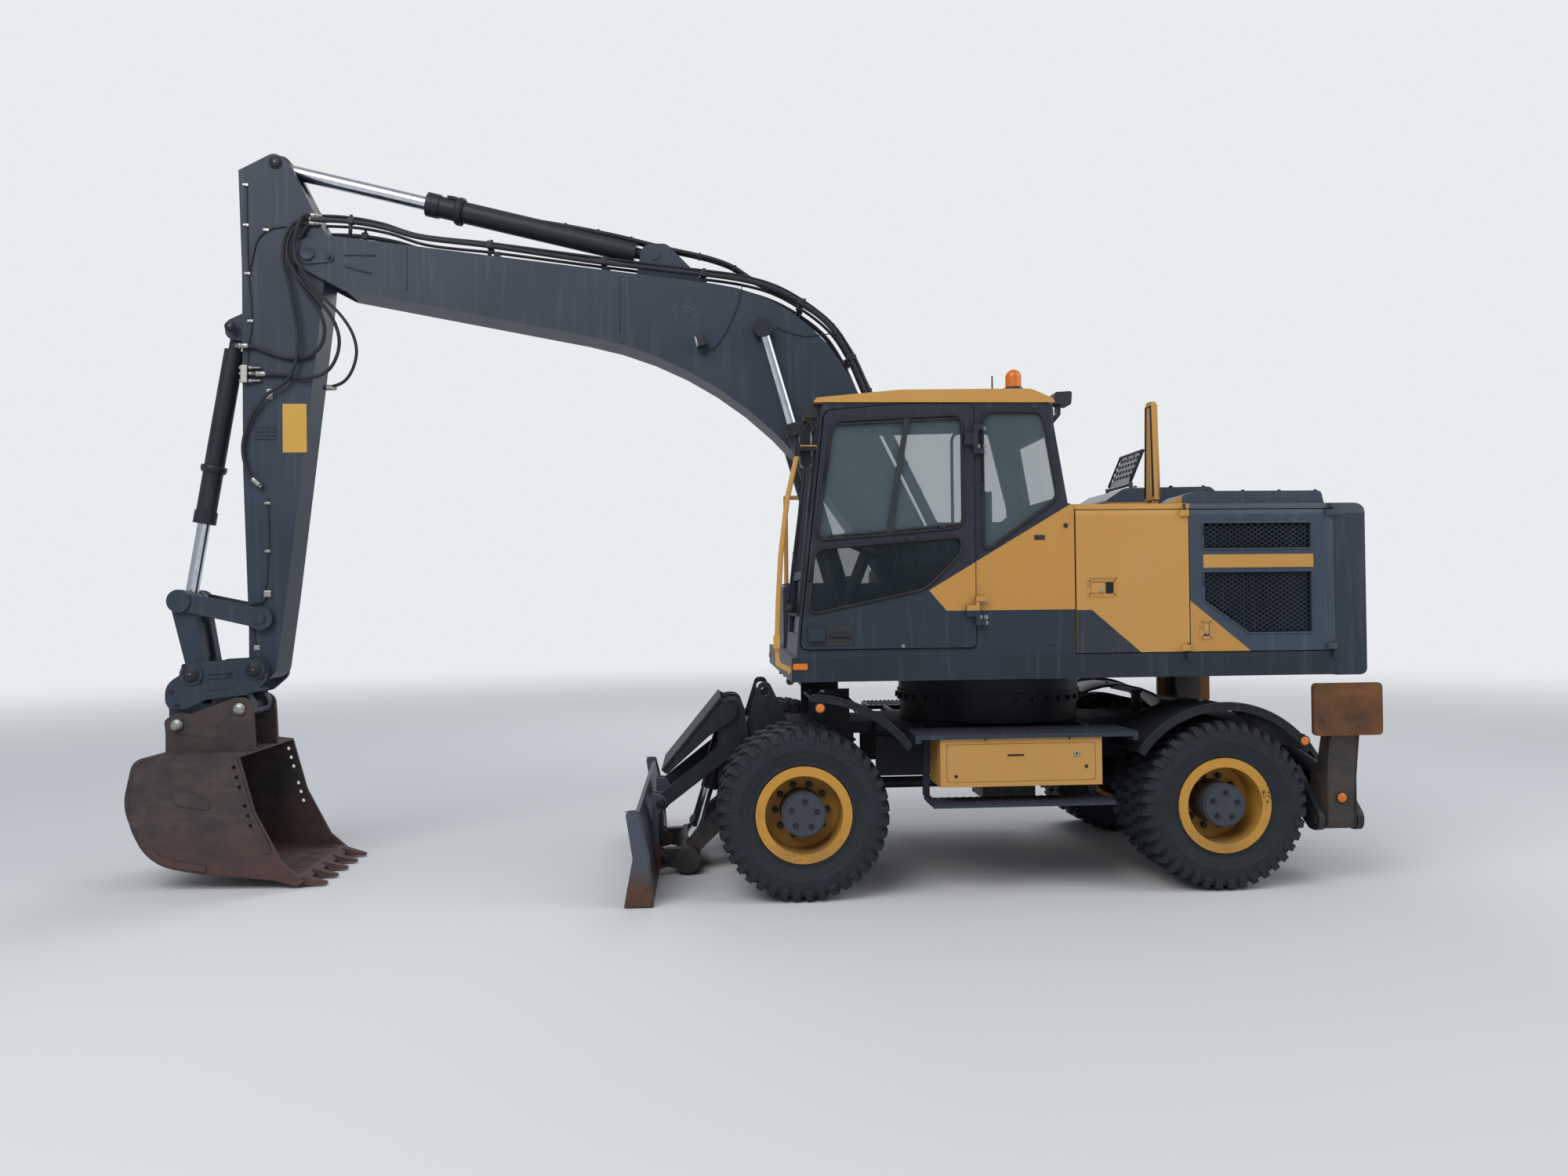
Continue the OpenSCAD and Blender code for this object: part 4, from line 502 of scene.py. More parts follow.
# The pads have rusted brown, the legs are only dusty; the hubs are grey in yellow rims
for label in ("left", "right"):
    legs = nodes[f"outrigger_{label}"].data
    legs.materials.append(PAD_RUST)
    for face in legs.polygons:
        face.material_index = int(abs(face.center.y) > 1.2605 and face.center.z > 0.96)
    for end, axle_x in (("front", -AXLE_X), ("rear", AXLE_X)):
        rims = nodes[f"rims_{end}_{label}"].data
        rims.materials.append(HUB_PAINT)
        for face in rims.polygons:
            face.material_index = int(reach(rims, face, axle_x, WHEEL_Z) < HUB_R and abs(face.center.y) > 0.9)
# The lower panes are darker: painted shade of the dim cab inside that shows through them
for name in ("cab_glass", "cab_door_glass"):
    panes = nodes[name].data
    panes.materials.append(SHADED_LOWER_GLASS)
    for face in panes.polygons:
        x, y, z = face.center
        face.material_index = int(z < 2.24 and x < MID_X - 0.32)
# Only the bars of the rods are chromed: the eyes at their ends are painted forgings
EYES = {"boom_rods": (-1484, 3750), "arm_rod": (-4845, 4915), "bucket_rod": (-5488, 1894)}
for name, (eye_x, eye_z) in EYES.items():
    bars = nodes[name].data
    bars.materials.append(STEEL_DARK)
    for face in bars.polygons:
        face.material_index = int(reach(bars, face, eye_x * 0.001, eye_z * 0.001) < EYE_R)
print("finished nodes", sum(len(v) for v in FINISHES.values()), "of", len(nodes))

# %% [markdown]
# ## Small tools for making pieces
#
# Every piece ends the same way: a mesh with its finish, riding on the body that carries it. Pieces
# that are unique, such as a mirror, are drawn with bmesh. What repeats or follows a path, such as
# bolts and hoses, is grown by Geometry Nodes: a tree takes a few named sizes and can be used again.

# %% Mesh tools
def M(x, y, z):
    """A point measured in millimetres from the middle of the wheelbase, as on the side drawing."""
    return Vector((x * 0.001 + MID_X, y * 0.001, z * 0.001))


def bake(name, mesh):
    """Turns a bmesh into a mesh."""
    made = bpy.data.meshes.new(name)
    mesh.to_mesh(made)
    mesh.free()
    return made


def add_piece(name, mesh, body, *materials):
    """Makes an object of a mesh or bmesh, gives it its finishes and lets it ride on its body."""
    if isinstance(mesh, bmesh.types.BMesh):
        bmesh.ops.remove_doubles(mesh, verts=mesh.verts, dist=1e-6)
        mesh = bake(name, mesh)
    mesh.name = name
    for material in materials:
        mesh.materials.append(material)
    piece = bpy.data.objects.new(name, mesh)
    bpy.context.scene.collection.objects.link(piece)
    # A hose over a joint rides on no body
    if body:
        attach(piece, body)
    return piece


def soften(mesh, edges, bevel):
    """Rounds edges a little, as every real edge is, and returns the vertices that this makes."""
    made = bmesh.ops.bevel(mesh, geom=edges, offset=bevel, segments=2, profile=0.6, affect="EDGES")
    return made["verts"]


def put_box(mesh, low, high, bevel=0.0, turn=None, material=0):
    """Adds a box with softened edges between two corners, and turns it about its own middle."""
    low, high = Vector(low), Vector(high)
    place = Matrix.Translation((low + high) / 2) @ (turn or Matrix.Identity(4))
    verts = bmesh.ops.create_cube(mesh, size=1.0, matrix=place @ Matrix.Diagonal((*(high - low), 1)))["verts"]
    if bevel:
        verts = soften(mesh, list({edge for vert in verts for edge in vert.link_edges}), bevel)
    for face in {face for vert in verts for face in vert.link_faces}:
        face.material_index = material


def put_slab(mesh, outline, low_y, high_y, bevel=0.0):
    """Adds a plate whose outline is a list of (x, z) in metres, between two y values."""
    area = sum(a[0] * b[1] - b[0] * a[1] for a, b in zip(outline, outline[1:] + outline[:1]))
    # A loop that runs anticlockwise in X and Z faces -Y
    loop = outline[::-1] if area < 0 else outline
    front = [mesh.verts.new((x, low_y, z)) for x, z in loop]
    back = [mesh.verts.new((x, high_y, z)) for x, z in loop]
    faces = [mesh.faces.new(front), mesh.faces.new(back[::-1])]
    for a, b, c, d in zip(front, back, back[1:] + back[:1], front[1:] + front[:1]):
        mesh.faces.new((a, b, c, d))
    if bevel:
        soften(mesh, [*faces[0].edges, *faces[1].edges], bevel)


def join_rings(mesh, rings, material=0, smooth=True, capped=False):
    """Adds the faces between each ring of vertices and the next. A ring of one vertex is a tip."""
    for lower, upper in zip(rings, rings[1:]):
        count = max(len(lower), len(upper))
        for i in range(count):
            j = (i + 1) % count
            corners = [ring[k % len(ring)] for ring, k in ((lower, i), (lower, j), (upper, j), (upper, i))]
            corners = list(dict.fromkeys(corners))
            if len(corners) > 2:
                face = mesh.faces.new(corners)
                face.smooth = smooth
                face.material_index = material
    if capped:
        for cap in (rings[0][::-1], rings[-1]):
            mesh.faces.new(cap).material_index = material


def put_turned(mesh, centre, axis, profile, steps=32, material=0, smooth=True):
    """Adds a turned piece: a profile of (distance along the axis, radius), spun round the axis."""
    centre = Vector(centre)
    turn = Vector(axis).normalized().to_track_quat("Z", "Y").to_matrix()
    rings = []
    for along, radius in profile:
        # A radius of nothing makes a tip
        angles = [2 * math.pi * i / steps for i in range(steps)] if radius > 1e-6 else [0]
        spots = [Vector((radius * math.cos(a), radius * math.sin(a), along)) for a in angles]
        rings.append([mesh.verts.new(centre + turn @ spot) for spot in spots])
    join_rings(mesh, rings, material, smooth)


def put_tube(mesh, points, radius, sides=10, material=0):
    """Adds a round bar through the points, mitred at its bends."""
    points = [Vector(p) for p in points]
    tangents = []
    for i in range(len(points)):
        before = points[max(i - 1, 0)]
        after = points[min(i + 1, len(points) - 1)]
        tangents.append((after - before).normalized())
    side = tangents[0].orthogonal().normalized()
    rings = []
    for point, tangent in zip(points, tangents):
        side = (side - tangent * side.dot(tangent)).normalized()
        other = tangent.cross(side)
        rings.append([
            mesh.verts.new(point + (side * math.cos(a) + other * math.sin(a)) * radius)
            for a in (2 * math.pi * i / sides for i in range(sides))
        ])
    join_rings(mesh, rings, material, capped=True)


def bend_path(points, radius=0.06, steps=6):
    """Rounds the corners of a list of points, as a tube bender does."""
    points = [Vector(p) for p in points]
    path = [points[0]]
    for before, corner, after in zip(points, points[1:], points[2:]):
        start, end = before - corner, after - corner
        cut = min(radius, start.length * 0.49, end.length * 0.49)
        a, b = corner + start.normalized() * cut, corner + end.normalized() * cut
        for i in range(steps + 1):
            t = i / steps
            path.append(a * (1 - t) ** 2 + corner * 2 * t * (1 - t) + b * t ** 2)
    path.append(points[-1])
    return path

# %% [markdown]
# ### Growing pieces with Geometry Nodes
#
# A tree gets a mesh whose points mark where things go, or the path that they follow. The sizes are
# named inputs. The result is realized and turned into a plain mesh, because an exported model keeps
# no instances, and the modifier goes before the piece rides on anything.

# %% Geometry Nodes tools
def new_tree(name, inputs):
    """A tree with a Geometry input and the inputs given as (name, kind, value), and its input node."""
    tree = bpy.data.node_groups.new(name, "GeometryNodeTree")
    tree.interface.new_socket("Geometry", in_out="INPUT", socket_type="NodeSocketGeometry")
    for label, kind, value in inputs:
        socket = tree.interface.new_socket(label, in_out="INPUT", socket_type="NodeSocket" + kind)
        if value is not None:
            socket.default_value = value
    tree.interface.new_socket("Geometry", in_out="OUTPUT", socket_type="NodeSocketGeometry")
    return tree, add(tree, "NodeGroupInput")


def close_tree(tree, geometry, inlet):
    """Every tree ends alike: instances become real, the finish is set, and the result goes out."""
    real = add(tree, "GeometryNodeRealizeInstances", {"Geometry": geometry})
    dressed = add(tree, "GeometryNodeSetMaterial", {"Geometry": real, "Material": inlet.outputs["Finish"]})
    add(tree, "NodeGroupOutput", {0: dressed})
    return tree


def wire(name, points, edges=()):
    """A mesh of points and edges, for a tree to work on."""
    mesh = bpy.data.meshes.new(name)
    mesh.from_pydata([tuple(point) for point in points], edges, [])
    return mesh


def sample(name, mesh):
    """An object that stays out of the scene: a tree sets copies of it at its places."""
    bmesh.ops.recalc_face_normals(mesh, faces=mesh.faces)
    return bpy.data.objects.new(name, bake(name, mesh))


def grow(name, tree, body, base, values):
    """Runs a tree on a base mesh and keeps its result as a plain mesh that rides on a body."""
    holder = bpy.data.objects.new(name, base)
    bpy.context.scene.collection.objects.link(holder)
    modifier = holder.modifiers.new("grow", "NODES")
    modifier.node_group = tree
    sockets = {item.name: item.identifier for item in tree.interface.items_tree
               if item.item_type == "SOCKET" and item.in_out == "INPUT"}
    for label, value in values.items():
        modifier[sockets[label]] = value
    graph = bpy.context.evaluated_depsgraph_get()
    graph.update()
    mesh = bpy.data.meshes.new_from_object(holder.evaluated_get(graph), depsgraph=graph)
    holder.modifiers.remove(modifier)
    bpy.data.objects.remove(holder)
    piece = add_piece(name, mesh, body)
    print(name, len(mesh.polygons), "faces")
    return piece


def marks(name, places):
    """A mesh of loose points with a turn for each, given as (point, direction) pairs."""
    mesh = wire(name, [point for point, direction in places])
    turn = mesh.attributes.new("turn", "FLOAT_VECTOR", "POINT")
    spin = random.Random(len(places))
    for i, (point, direction) in enumerate(places):
        quaternion = Vector(direction).to_track_quat("Z", "Y")
        # Bolts are never all clocked alike, so each turns a little about its own axis
        quaternion = quaternion @ Matrix.Rotation(spin.uniform(0, 1.0), 3, "Z").to_quaternion()
        turn.data[i].vector = quaternion.to_euler()
    return mesh


def bolt_tree():
    """A hexagon head on a round washer at every point, standing along the point's direction."""
    tree, inlet = new_tree("bolt_heads", [
        ("Width", "Float", 0.03), ("Height", "Float", 0.02), ("Washer", "Float", 0.025),
        ("Finish", "Material", None)
    ])
    half = add(tree, "ShaderNodeMath", {0: inlet.outputs["Width"], 1: 0.577}, operation="MULTIPLY")
    head = add(tree, "GeometryNodeMeshCylinder", {
        "Vertices": 6, "Radius": half, "Depth": inlet.outputs["Height"]
    })
    lift = add(tree, "ShaderNodeMath", {0: inlet.outputs["Height"], 1: 0.5}, operation="MULTIPLY")
    above = add(tree, "ShaderNodeCombineXYZ", {"Z": lift})
    raised = add(tree, "GeometryNodeTransform", {"Geometry": head.outputs["Mesh"], "Translation": above})
    thin = add(tree, "ShaderNodeMath", {0: inlet.outputs["Height"], 1: 0.3}, operation="MULTIPLY")
    washer = add(tree, "GeometryNodeMeshCylinder", {
        "Vertices": 14, "Radius": inlet.outputs["Washer"], "Depth": thin
    })
    both = add(tree, "GeometryNodeJoinGeometry")
    feed(tree, both, {0: raised})
    feed(tree, both, {0: washer})
    turn = add(tree, "GeometryNodeInputNamedAttribute", {"Name": "turn"}, data_type="FLOAT_VECTOR")
    spread = add(tree, "GeometryNodeInstanceOnPoints", {
        "Points": inlet.outputs["Geometry"], "Instance": both, "Rotation": turn.outputs["Attribute"],
    })
    return close_tree(tree, spread, inlet)


BOLTS = bolt_tree()


def bolts(name, body, places, width, finish, height=None, washer=None):
    """Hexagon heads at the (point, direction) pairs, with the width across flats in metres."""
    grow(name, BOLTS, body, marks(name, places), {
        "Width": width, "Height": height or width * 0.6, "Washer": washer or width * 0.85, "Finish": finish,
    })


def hose_tree():
    """A round hose or pipe along each edge path, with a smooth surface."""
    tree, inlet = new_tree("hoses", [
        ("Radius", "Float", 0.012), ("Step", "Float", 0.03), ("Sides", "Int", 10),
        ("Finish", "Material", None)
    ])
    curve = add(tree, "GeometryNodeMeshToCurve", {"Mesh": inlet.outputs["Geometry"]})
    kind = add(tree, "GeometryNodeCurveSplineType", {"Curve": curve}, spline_type="CATMULL_ROM")
    even = add(tree, "GeometryNodeResampleCurve", {
        "Curve": kind, "Length": inlet.outputs["Step"]
    }, mode="LENGTH")
    ring = add(tree, "GeometryNodeCurvePrimitiveCircle", {
        "Resolution": inlet.outputs["Sides"], "Radius": inlet.outputs["Radius"]
    })
    skin = add(tree, "GeometryNodeCurveToMesh", {"Curve": even, "Profile Curve": ring, "Fill Caps": True})
    smooth = add(tree, "GeometryNodeSetShadeSmooth", {"Geometry": skin, "Shade Smooth": True})
    return close_tree(tree, smooth, inlet)


HOSES = hose_tree()


def hoses(name, body, paths, radius, finish, step=0.03, sides=10):
    """Hoses through lists of points. The nodes smooth the path and give it its round section."""
    points, edges = [], []
    for path in paths:
        start = len(points)
        points += path
        edges += [(start + i, start + i + 1) for i in range(len(path) - 1)]
    values = {"Radius": radius, "Step": step, "Sides": sides, "Finish": finish}
    return grow(name, HOSES, body, wire(name, points, edges), values)

# %% [markdown]
# ## Tyres
#
# Each wheel carries two tyres side by side. A tyre is a turned shell, the carcass, with a ring of
# rubber blocks, the lugs. Sculpting one by hand would take 80 equal lugs, so a tree sets two kinds of
# lug round the wheel instead, long and short by turns, first on one shoulder and then, half a step
# on, on the other. That is how the mould of such a tyre is laid out too.

# %% One tread lug
# The lugs are counted on one shoulder
TYRE_W, LUGS = 0.293, 40


def lug_object(name, reach_r, width, skew):
    """A rubber block from the middle of the tread over the shoulder, down to the radius reach_r."""
    outer = [
        (0.006, 0.5315), (0.06, 0.5325), (0.112, 0.530), (0.133, 0.513), (0.1435, 0.482), (0.1455, reach_r)
    ]
    inner = [
        (0.006, 0.508), (0.06, 0.508), (0.104, 0.503), (0.118, 0.49), (0.130, 0.468),
        (0.1395, reach_r - 0.012)
    ]
    mesh = bmesh.new()
    rows = []
    for i, ((y, r), (yi, ri)) in enumerate(zip(outer, inner)):
        shift = skew * (0.5 - y / 0.146)
        half = width / 2 * (0.82 if i == 0 else 1.0)
        # A lug is wider at its foot than at its top
        corners = ((-0.84, y, r), (0.84, y, r), (1.1, yi, ri), (-1.1, yi, ri))
        rows.append([mesh.verts.new((shift + half * x, across, height)) for x, across, height in corners])
    join_rings(mesh, rows, smooth=False, capped=True)
    return sample(name, mesh)


LONG_LUG = lug_object("long_lug", 0.435, 0.052, 0.030)
SHORT_LUG = lug_object("short_lug", 0.470, 0.048, 0.026)

# %% [markdown]
# The tree turns each lug about the wheel's own axis by its number times the step. A lug on the far
# shoulder is the same block turned half round, so one drawing serves both sides.

# %% Tread tree
def tread_tree():
    tree, inlet = new_tree("tread", [
        ("Lugs", "Int", LUGS), ("Near", "Vector", None), ("Far", "Vector", None),
        ("Long lug", "Object", None), ("Short lug", "Object", None), ("Finish", "Material", None),
    ])
    line = add(tree, "GeometryNodeMeshLine", {"Count": inlet.outputs["Lugs"], "Offset": (0, 0, 0)})
    number = add(tree, "GeometryNodeInputIndex")
    step = add(tree, "ShaderNodeMath", {0: 2 * math.pi, 1: inlet.outputs["Lugs"]}, operation="DIVIDE")
    parity = add(tree, "ShaderNodeMath", {0: number, 1: 2.0}, operation="MODULO")
    rings = add(tree, "GeometryNodeJoinGeometry")
    for side in (0, 1):
        place = add(tree, "ShaderNodeMath", {0: number, 1: 0.5 * side}, operation="ADD")
        angle = add(tree, "ShaderNodeMath", {0: place, 1: step}, operation="MULTIPLY")
        turn = add(tree, "ShaderNodeCombineXYZ", {"Y": angle})
        for label, chosen in (("Long lug", 0), ("Short lug", 1)):
            lug = add(tree, "GeometryNodeObjectInfo", {"Object": inlet.outputs[label]})
            faced = add(tree, "GeometryNodeTransform", {
                "Geometry": lug.outputs["Geometry"], "Rotation": (0, 0, math.pi * side)
            })
            wanted = add(tree, "FunctionNodeCompare", {"A": parity, "B": float(chosen), "Epsilon": 0.1},
                         data_type="FLOAT", operation="EQUAL")
            spread = add(tree, "GeometryNodeInstanceOnPoints", {
                "Points": line, "Selection": wanted, "Instance": faced, "Rotation": turn
            })
            feed(tree, rings, {0: spread})
    everything = add(tree, "GeometryNodeJoinGeometry")
    feed(tree, everything, {0: inlet})
    for label, offset in (("Near", 0.0), ("Far", 0.11)):
        moved = add(tree, "GeometryNodeTransform", {
            "Geometry": rings, "Translation": inlet.outputs[label], "Rotation": (0, offset, 0),
        })
        feed(tree, everything, {0: moved})
    return close_tree(tree, everything, inlet)


TREAD = tread_tree()

# %% [markdown]
# The carcass is turned like a bowl. Its side wall has the rib that shields the rim and a few fine
# steps left by the mould's rings, and it bulges most where a loaded tyre does, below half height.

# %% Tyres
CARCASS = [
    (0.1107, 0.2545), (0.1107, 0.2990), (0.1200, 0.3045), (0.1225, 0.3120), (0.1185, 0.3170),
    (0.1290, 0.3400), (0.1385, 0.3700), (0.1425, 0.3900), (0.1445, 0.3920), (0.1455, 0.4050),
    (0.1440, 0.4250), (0.1425, 0.4450), (0.1380, 0.4650), (0.1280, 0.4850), (0.1150, 0.5020),
    (0.0950, 0.5090), (0.0500, 0.5125)
]
WHEELS = {}
TYRE_Y = 2.544 / 2 - TYRE_W / 2
INNER_Y = TYRE_Y - TYRE_W - 0.037
for end, wheel_x in (("front", -AXLE_X), ("rear", AXLE_X)):
    for label, side in SIDES:
        WHEELS[f"{end}_{label}"] = (Vector((wheel_x + MID_X, 0, WHEEL_Z)), side)

for wheel, (centre, side) in WHEELS.items():
    shell = bmesh.new()
    places = []
    for y in (TYRE_Y, INNER_Y):
        middle = centre + Vector((0, side * y, 0))
        places.append(middle)
        ring = CARCASS + [(-w, r) for w, r in reversed(CARCASS)]
        put_turned(shell, middle, (0, 1, 0), ring[::-1] + [ring[-1]], steps=72)
    bmesh.ops.remove_doubles(shell, verts=shell.verts, dist=1e-6)
    bmesh.ops.recalc_face_normals(shell, faces=shell.faces)
    tyre = grow(f"tread_{wheel}", TREAD, f"wheel_{wheel}", bake("carcass", shell), {
        "Lugs": LUGS, "Near": places[0], "Far": places[1],
        "Long lug": LONG_LUG, "Short lug": SHORT_LUG, "Finish": TYRE_RUBBER,
    })
    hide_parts(f"tyres_{wheel}")

# %% [markdown]
# ## Wheel nuts and hub caps
#
# Ten nuts hold each pair of rims, well inside the dish, and five bolts close the planetary hub. Real
# nuts are forged hexagons with a washer face. They are grown at the marks round each wheel.

# %% Wheel nuts
# Faces of the rim's disc and of the hub, and the circles that their bolts stand on
DISC_Y, HUB_Y = TYRE_Y - 0.09, TYRE_Y + 0.124
NUT_CIRCLE_R, HUB_CIRCLE_R = 0.165, 0.082
for wheel, (centre, side) in WHEELS.items():
    nuts, caps = [], []
    out = Vector((0, side, 0))
    for i in range(10):
        angle = 2 * math.pi * i / 10
        spoke = Vector((math.cos(angle), 0, -math.sin(angle)))
        nuts.append((centre + spoke * NUT_CIRCLE_R + out * DISC_Y, out))
    for i in range(5):
        angle = 2 * math.pi * (i + 0.2) / 5
        spoke = Vector((math.cos(angle), 0, math.sin(angle)))
        caps.append((centre + spoke * HUB_CIRCLE_R + out * HUB_Y, out))
    bolts(f"wheel_nuts_{wheel}", f"wheel_{wheel}", nuts, 0.03, STEEL_DARK, height=0.022, washer=0.021)
    bolts(f"hub_bolts_{wheel}", f"wheel_{wheel}", caps, 0.024, STEEL_DARK, height=0.012, washer=0.017)

# %% [markdown]
# ## Hydraulic pipes along the boom
#
# Oil reaches the arm through steel pipes that lie on the boom and through hoses where something has
# to bend. Pipes are bent to a drawing, so a curve through a few points describes them well, and a
# tree gives the curve its round section. The pipes stand on clamps, welded to the boom's top plate.

# %% Smooth routes
# The points of a route lie about this far apart
ROUTE_STEP = 0.02


def mix(a, b, start, end, t):
    """The point at t on the straight way from a, which lies at start, to b, which lies at end."""
    return a * ((end - t) / (end - start)) + b * ((t - start) / (end - start))


def route(points, y=0.0):
    """A smooth line through points (x, z) or (x, y, z) in drawing millimetres, as close points."""
    knots = [M(p[0], y, p[1]) if len(p) == 2 else M(*p) for p in points]
    ends = [knots[0] * 2 - knots[1]] + knots + [knots[-1] * 2 - knots[-2]]
    path = []
    for a, b, c, d in zip(ends, ends[1:], ends[2:], ends[3:]):
        # Centripetal spacing keeps the line from looping where the points are uneven
        t1 = max((b - a).length, 1e-6) ** 0.5
        t2 = t1 + max((c - b).length, 1e-6) ** 0.5
        t3 = t2 + max((d - c).length, 1e-6) ** 0.5
        count = max(2, int((c - b).length / ROUTE_STEP))
        for i in range(count):
            t = t1 + (t2 - t1) * i / count
            ab, bc, cd = mix(a, b, 0, t1, t), mix(b, c, t1, t2, t), mix(c, d, t2, t3, t)
            path.append(mix(mix(ab, bc, 0, t2, t), mix(bc, cd, t1, t3, t), t1, t2, t))
    path.append(knots[-1])
    return path


def length_of(path):
    return sum((b - a).length for a, b in zip(path, path[1:]))


# %% Boom pipes
LOWER_PIPE = [
    (-4600, 4512), (-4348, 4503), (-4124, 4467), (-3885, 4402), (-3396, 4343), (-2647, 4238), (-2162, 4184),
    (-1631, 4118), (-1415, 4058), (-1205, 3946), (-1020, 3797), (-892, 3604), (-770, 3330), (-560, 2900),
    (-330, 2430), (-195, 2140)
]
UPPER_PIPE = [
    (-4585, 4560), (-4362, 4549), (-4138, 4509), (-3897, 4434), (-3405, 4379), (-3056, 4335), (-2651, 4284),
    (-2162, 4226), (-1631, 4160), (-1395, 4094), (-1180, 3975), (-985, 3815), (-855, 3618), (-733, 3340),
    (-523, 2915), (-293, 2440), (-158, 2150)
]
for label, side in SIDES:
    hoses(f"boom_pipes_{label}", "boom", [route(LOWER_PIPE, side * 172)], 0.017, STEEL_DARK)
    hoses(
        f"boom_return_pipe_{label}", "boom", [route(UPPER_PIPE, side * 115)], 0.011, BLACK_PAINT, step=0.04,
        sides=8
    )


def pipe_clamps(name, body, places):
    """Split clamp blocks with a bolt, on a foot that is welded to the boom."""
    mesh = bmesh.new()
    for x, y, z, half_width, foot, tilt in places:
        turn = Matrix.Rotation(math.radians(tilt), 4, "Y")
        middle = M(x, y, z)
        half = Vector((0.022, half_width, 0.024))
        put_box(mesh, middle - half, middle + half, 0.006, turn)
        down = turn @ Vector((0, 0, -1))
        low = middle + down * foot
        put_tube(mesh, [middle, low], 0.014, 8)
        put_tube(mesh, [middle - down * 0.02, middle - down * 0.042], 0.011, 6)
    add_piece(name, mesh, body, STEEL_DARK)


# The first clamp holds the outer pipe alone, so that the arm's upper end can swing in between
clamp_places = []
for side in (-1, 1):
    clamp_places.append((-4330, side * 171, 4507, 0.021, 0.12, 4))
    for x, z, foot, tilt in ((-3385, 4352, 0.08, 8), (-2600, 4243, 0.075, 6), (-1905, 4165, 0.08, 7),
                             (-1210, 3960, 0.06, 36), (-868, 3570, 0.05, 60), (-500, 2810, 0.05, 64)):
        clamp_places.append((x, side * 140, z, 0.05, foot, tilt))
pipe_clamps("boom_clamps", "boom", clamp_places)

# %% [markdown]
# ## Hoses of the arm cylinder
#
# Three hoses run from the cylinder's gland along its barrel and over its pin to the knee of the
# boom. They swing with the barrel as far as the pin, so the bundle is split there. Spiral guard
# and cable ties hold them together; the ties are thin bands a little wider than the hose.

# %% Arm cylinder hoses
BUNDLE_BARREL = [
    (-3700, 4722), (-3640, 4712), (-3544, 4650), (-3420, 4612), (-3302, 4592), (-2948, 4540), (-2674, 4492),
    (-2480, 4452), (-2340, 4418)
]
BUNDLE_BOOM = [
    (-2340, 4418), (-2142, 4370), (-1975, 4335), (-1850, 4305), (-1700, 4250), (-1560, 4160), (-1400, 4086),
    (-1190, 3985), (-1000, 3845), (-850, 3640), (-735, 3395), (-520, 2950), (-290, 2480), (-150, 2180)
]
# Where the three hoses lie across the machine, and their radius
BUNDLE_Y, BUNDLE_R = (-46, -14, 18), 0.014
hoses("arm_cylinder_hoses", "arm_barrel", [route(BUNDLE_BARREL, y) for y in BUNDLE_Y], BUNDLE_R, HOSE_RUBBER)
hoses("boom_back_hoses", "boom", [route(BUNDLE_BOOM, y) for y in BUNDLE_Y], BUNDLE_R, HOSE_RUBBER)


def hose_ties(name, body, path, gap):
    """Cable ties: flat bands around the flat bundle, one at every gap metres."""
    mesh = bmesh.new()
    y0, y1 = BUNDLE_Y[0] * 0.001, BUNDLE_Y[-1] * 0.001
    walked, wanted = 0.0, gap * 0.5
    for a, b in zip(path, path[1:]):
        walked += (b - a).length
        if walked < wanted:
            continue
        wanted += gap
        along = (b - a).normalized()
        turn = Matrix.Rotation(math.atan2(-along.z, along.x), 4, "Y")
        middle = Vector((b.x, (y0 + y1) / 2, b.z))
        half = Vector((0.006, (y1 - y0) / 2 + BUNDLE_R + 0.003, BUNDLE_R + 0.003))
        put_box(mesh, middle - half, middle + half, 0.004, turn)
        lock = middle + turn @ Vector((0, 0, BUNDLE_R))
        put_box(mesh, lock - Vector((0.008, 0.008, 0.0)), lock + Vector((0.008, 0.008, 0.014)), 0.002)
    add_piece(name, mesh, body, TRIM_PLASTIC)


hose_ties("barrel_ties", "arm_barrel", route(BUNDLE_BARREL), 0.24)
hose_ties("boom_ties", "boom", route(BUNDLE_BOOM), 0.27)
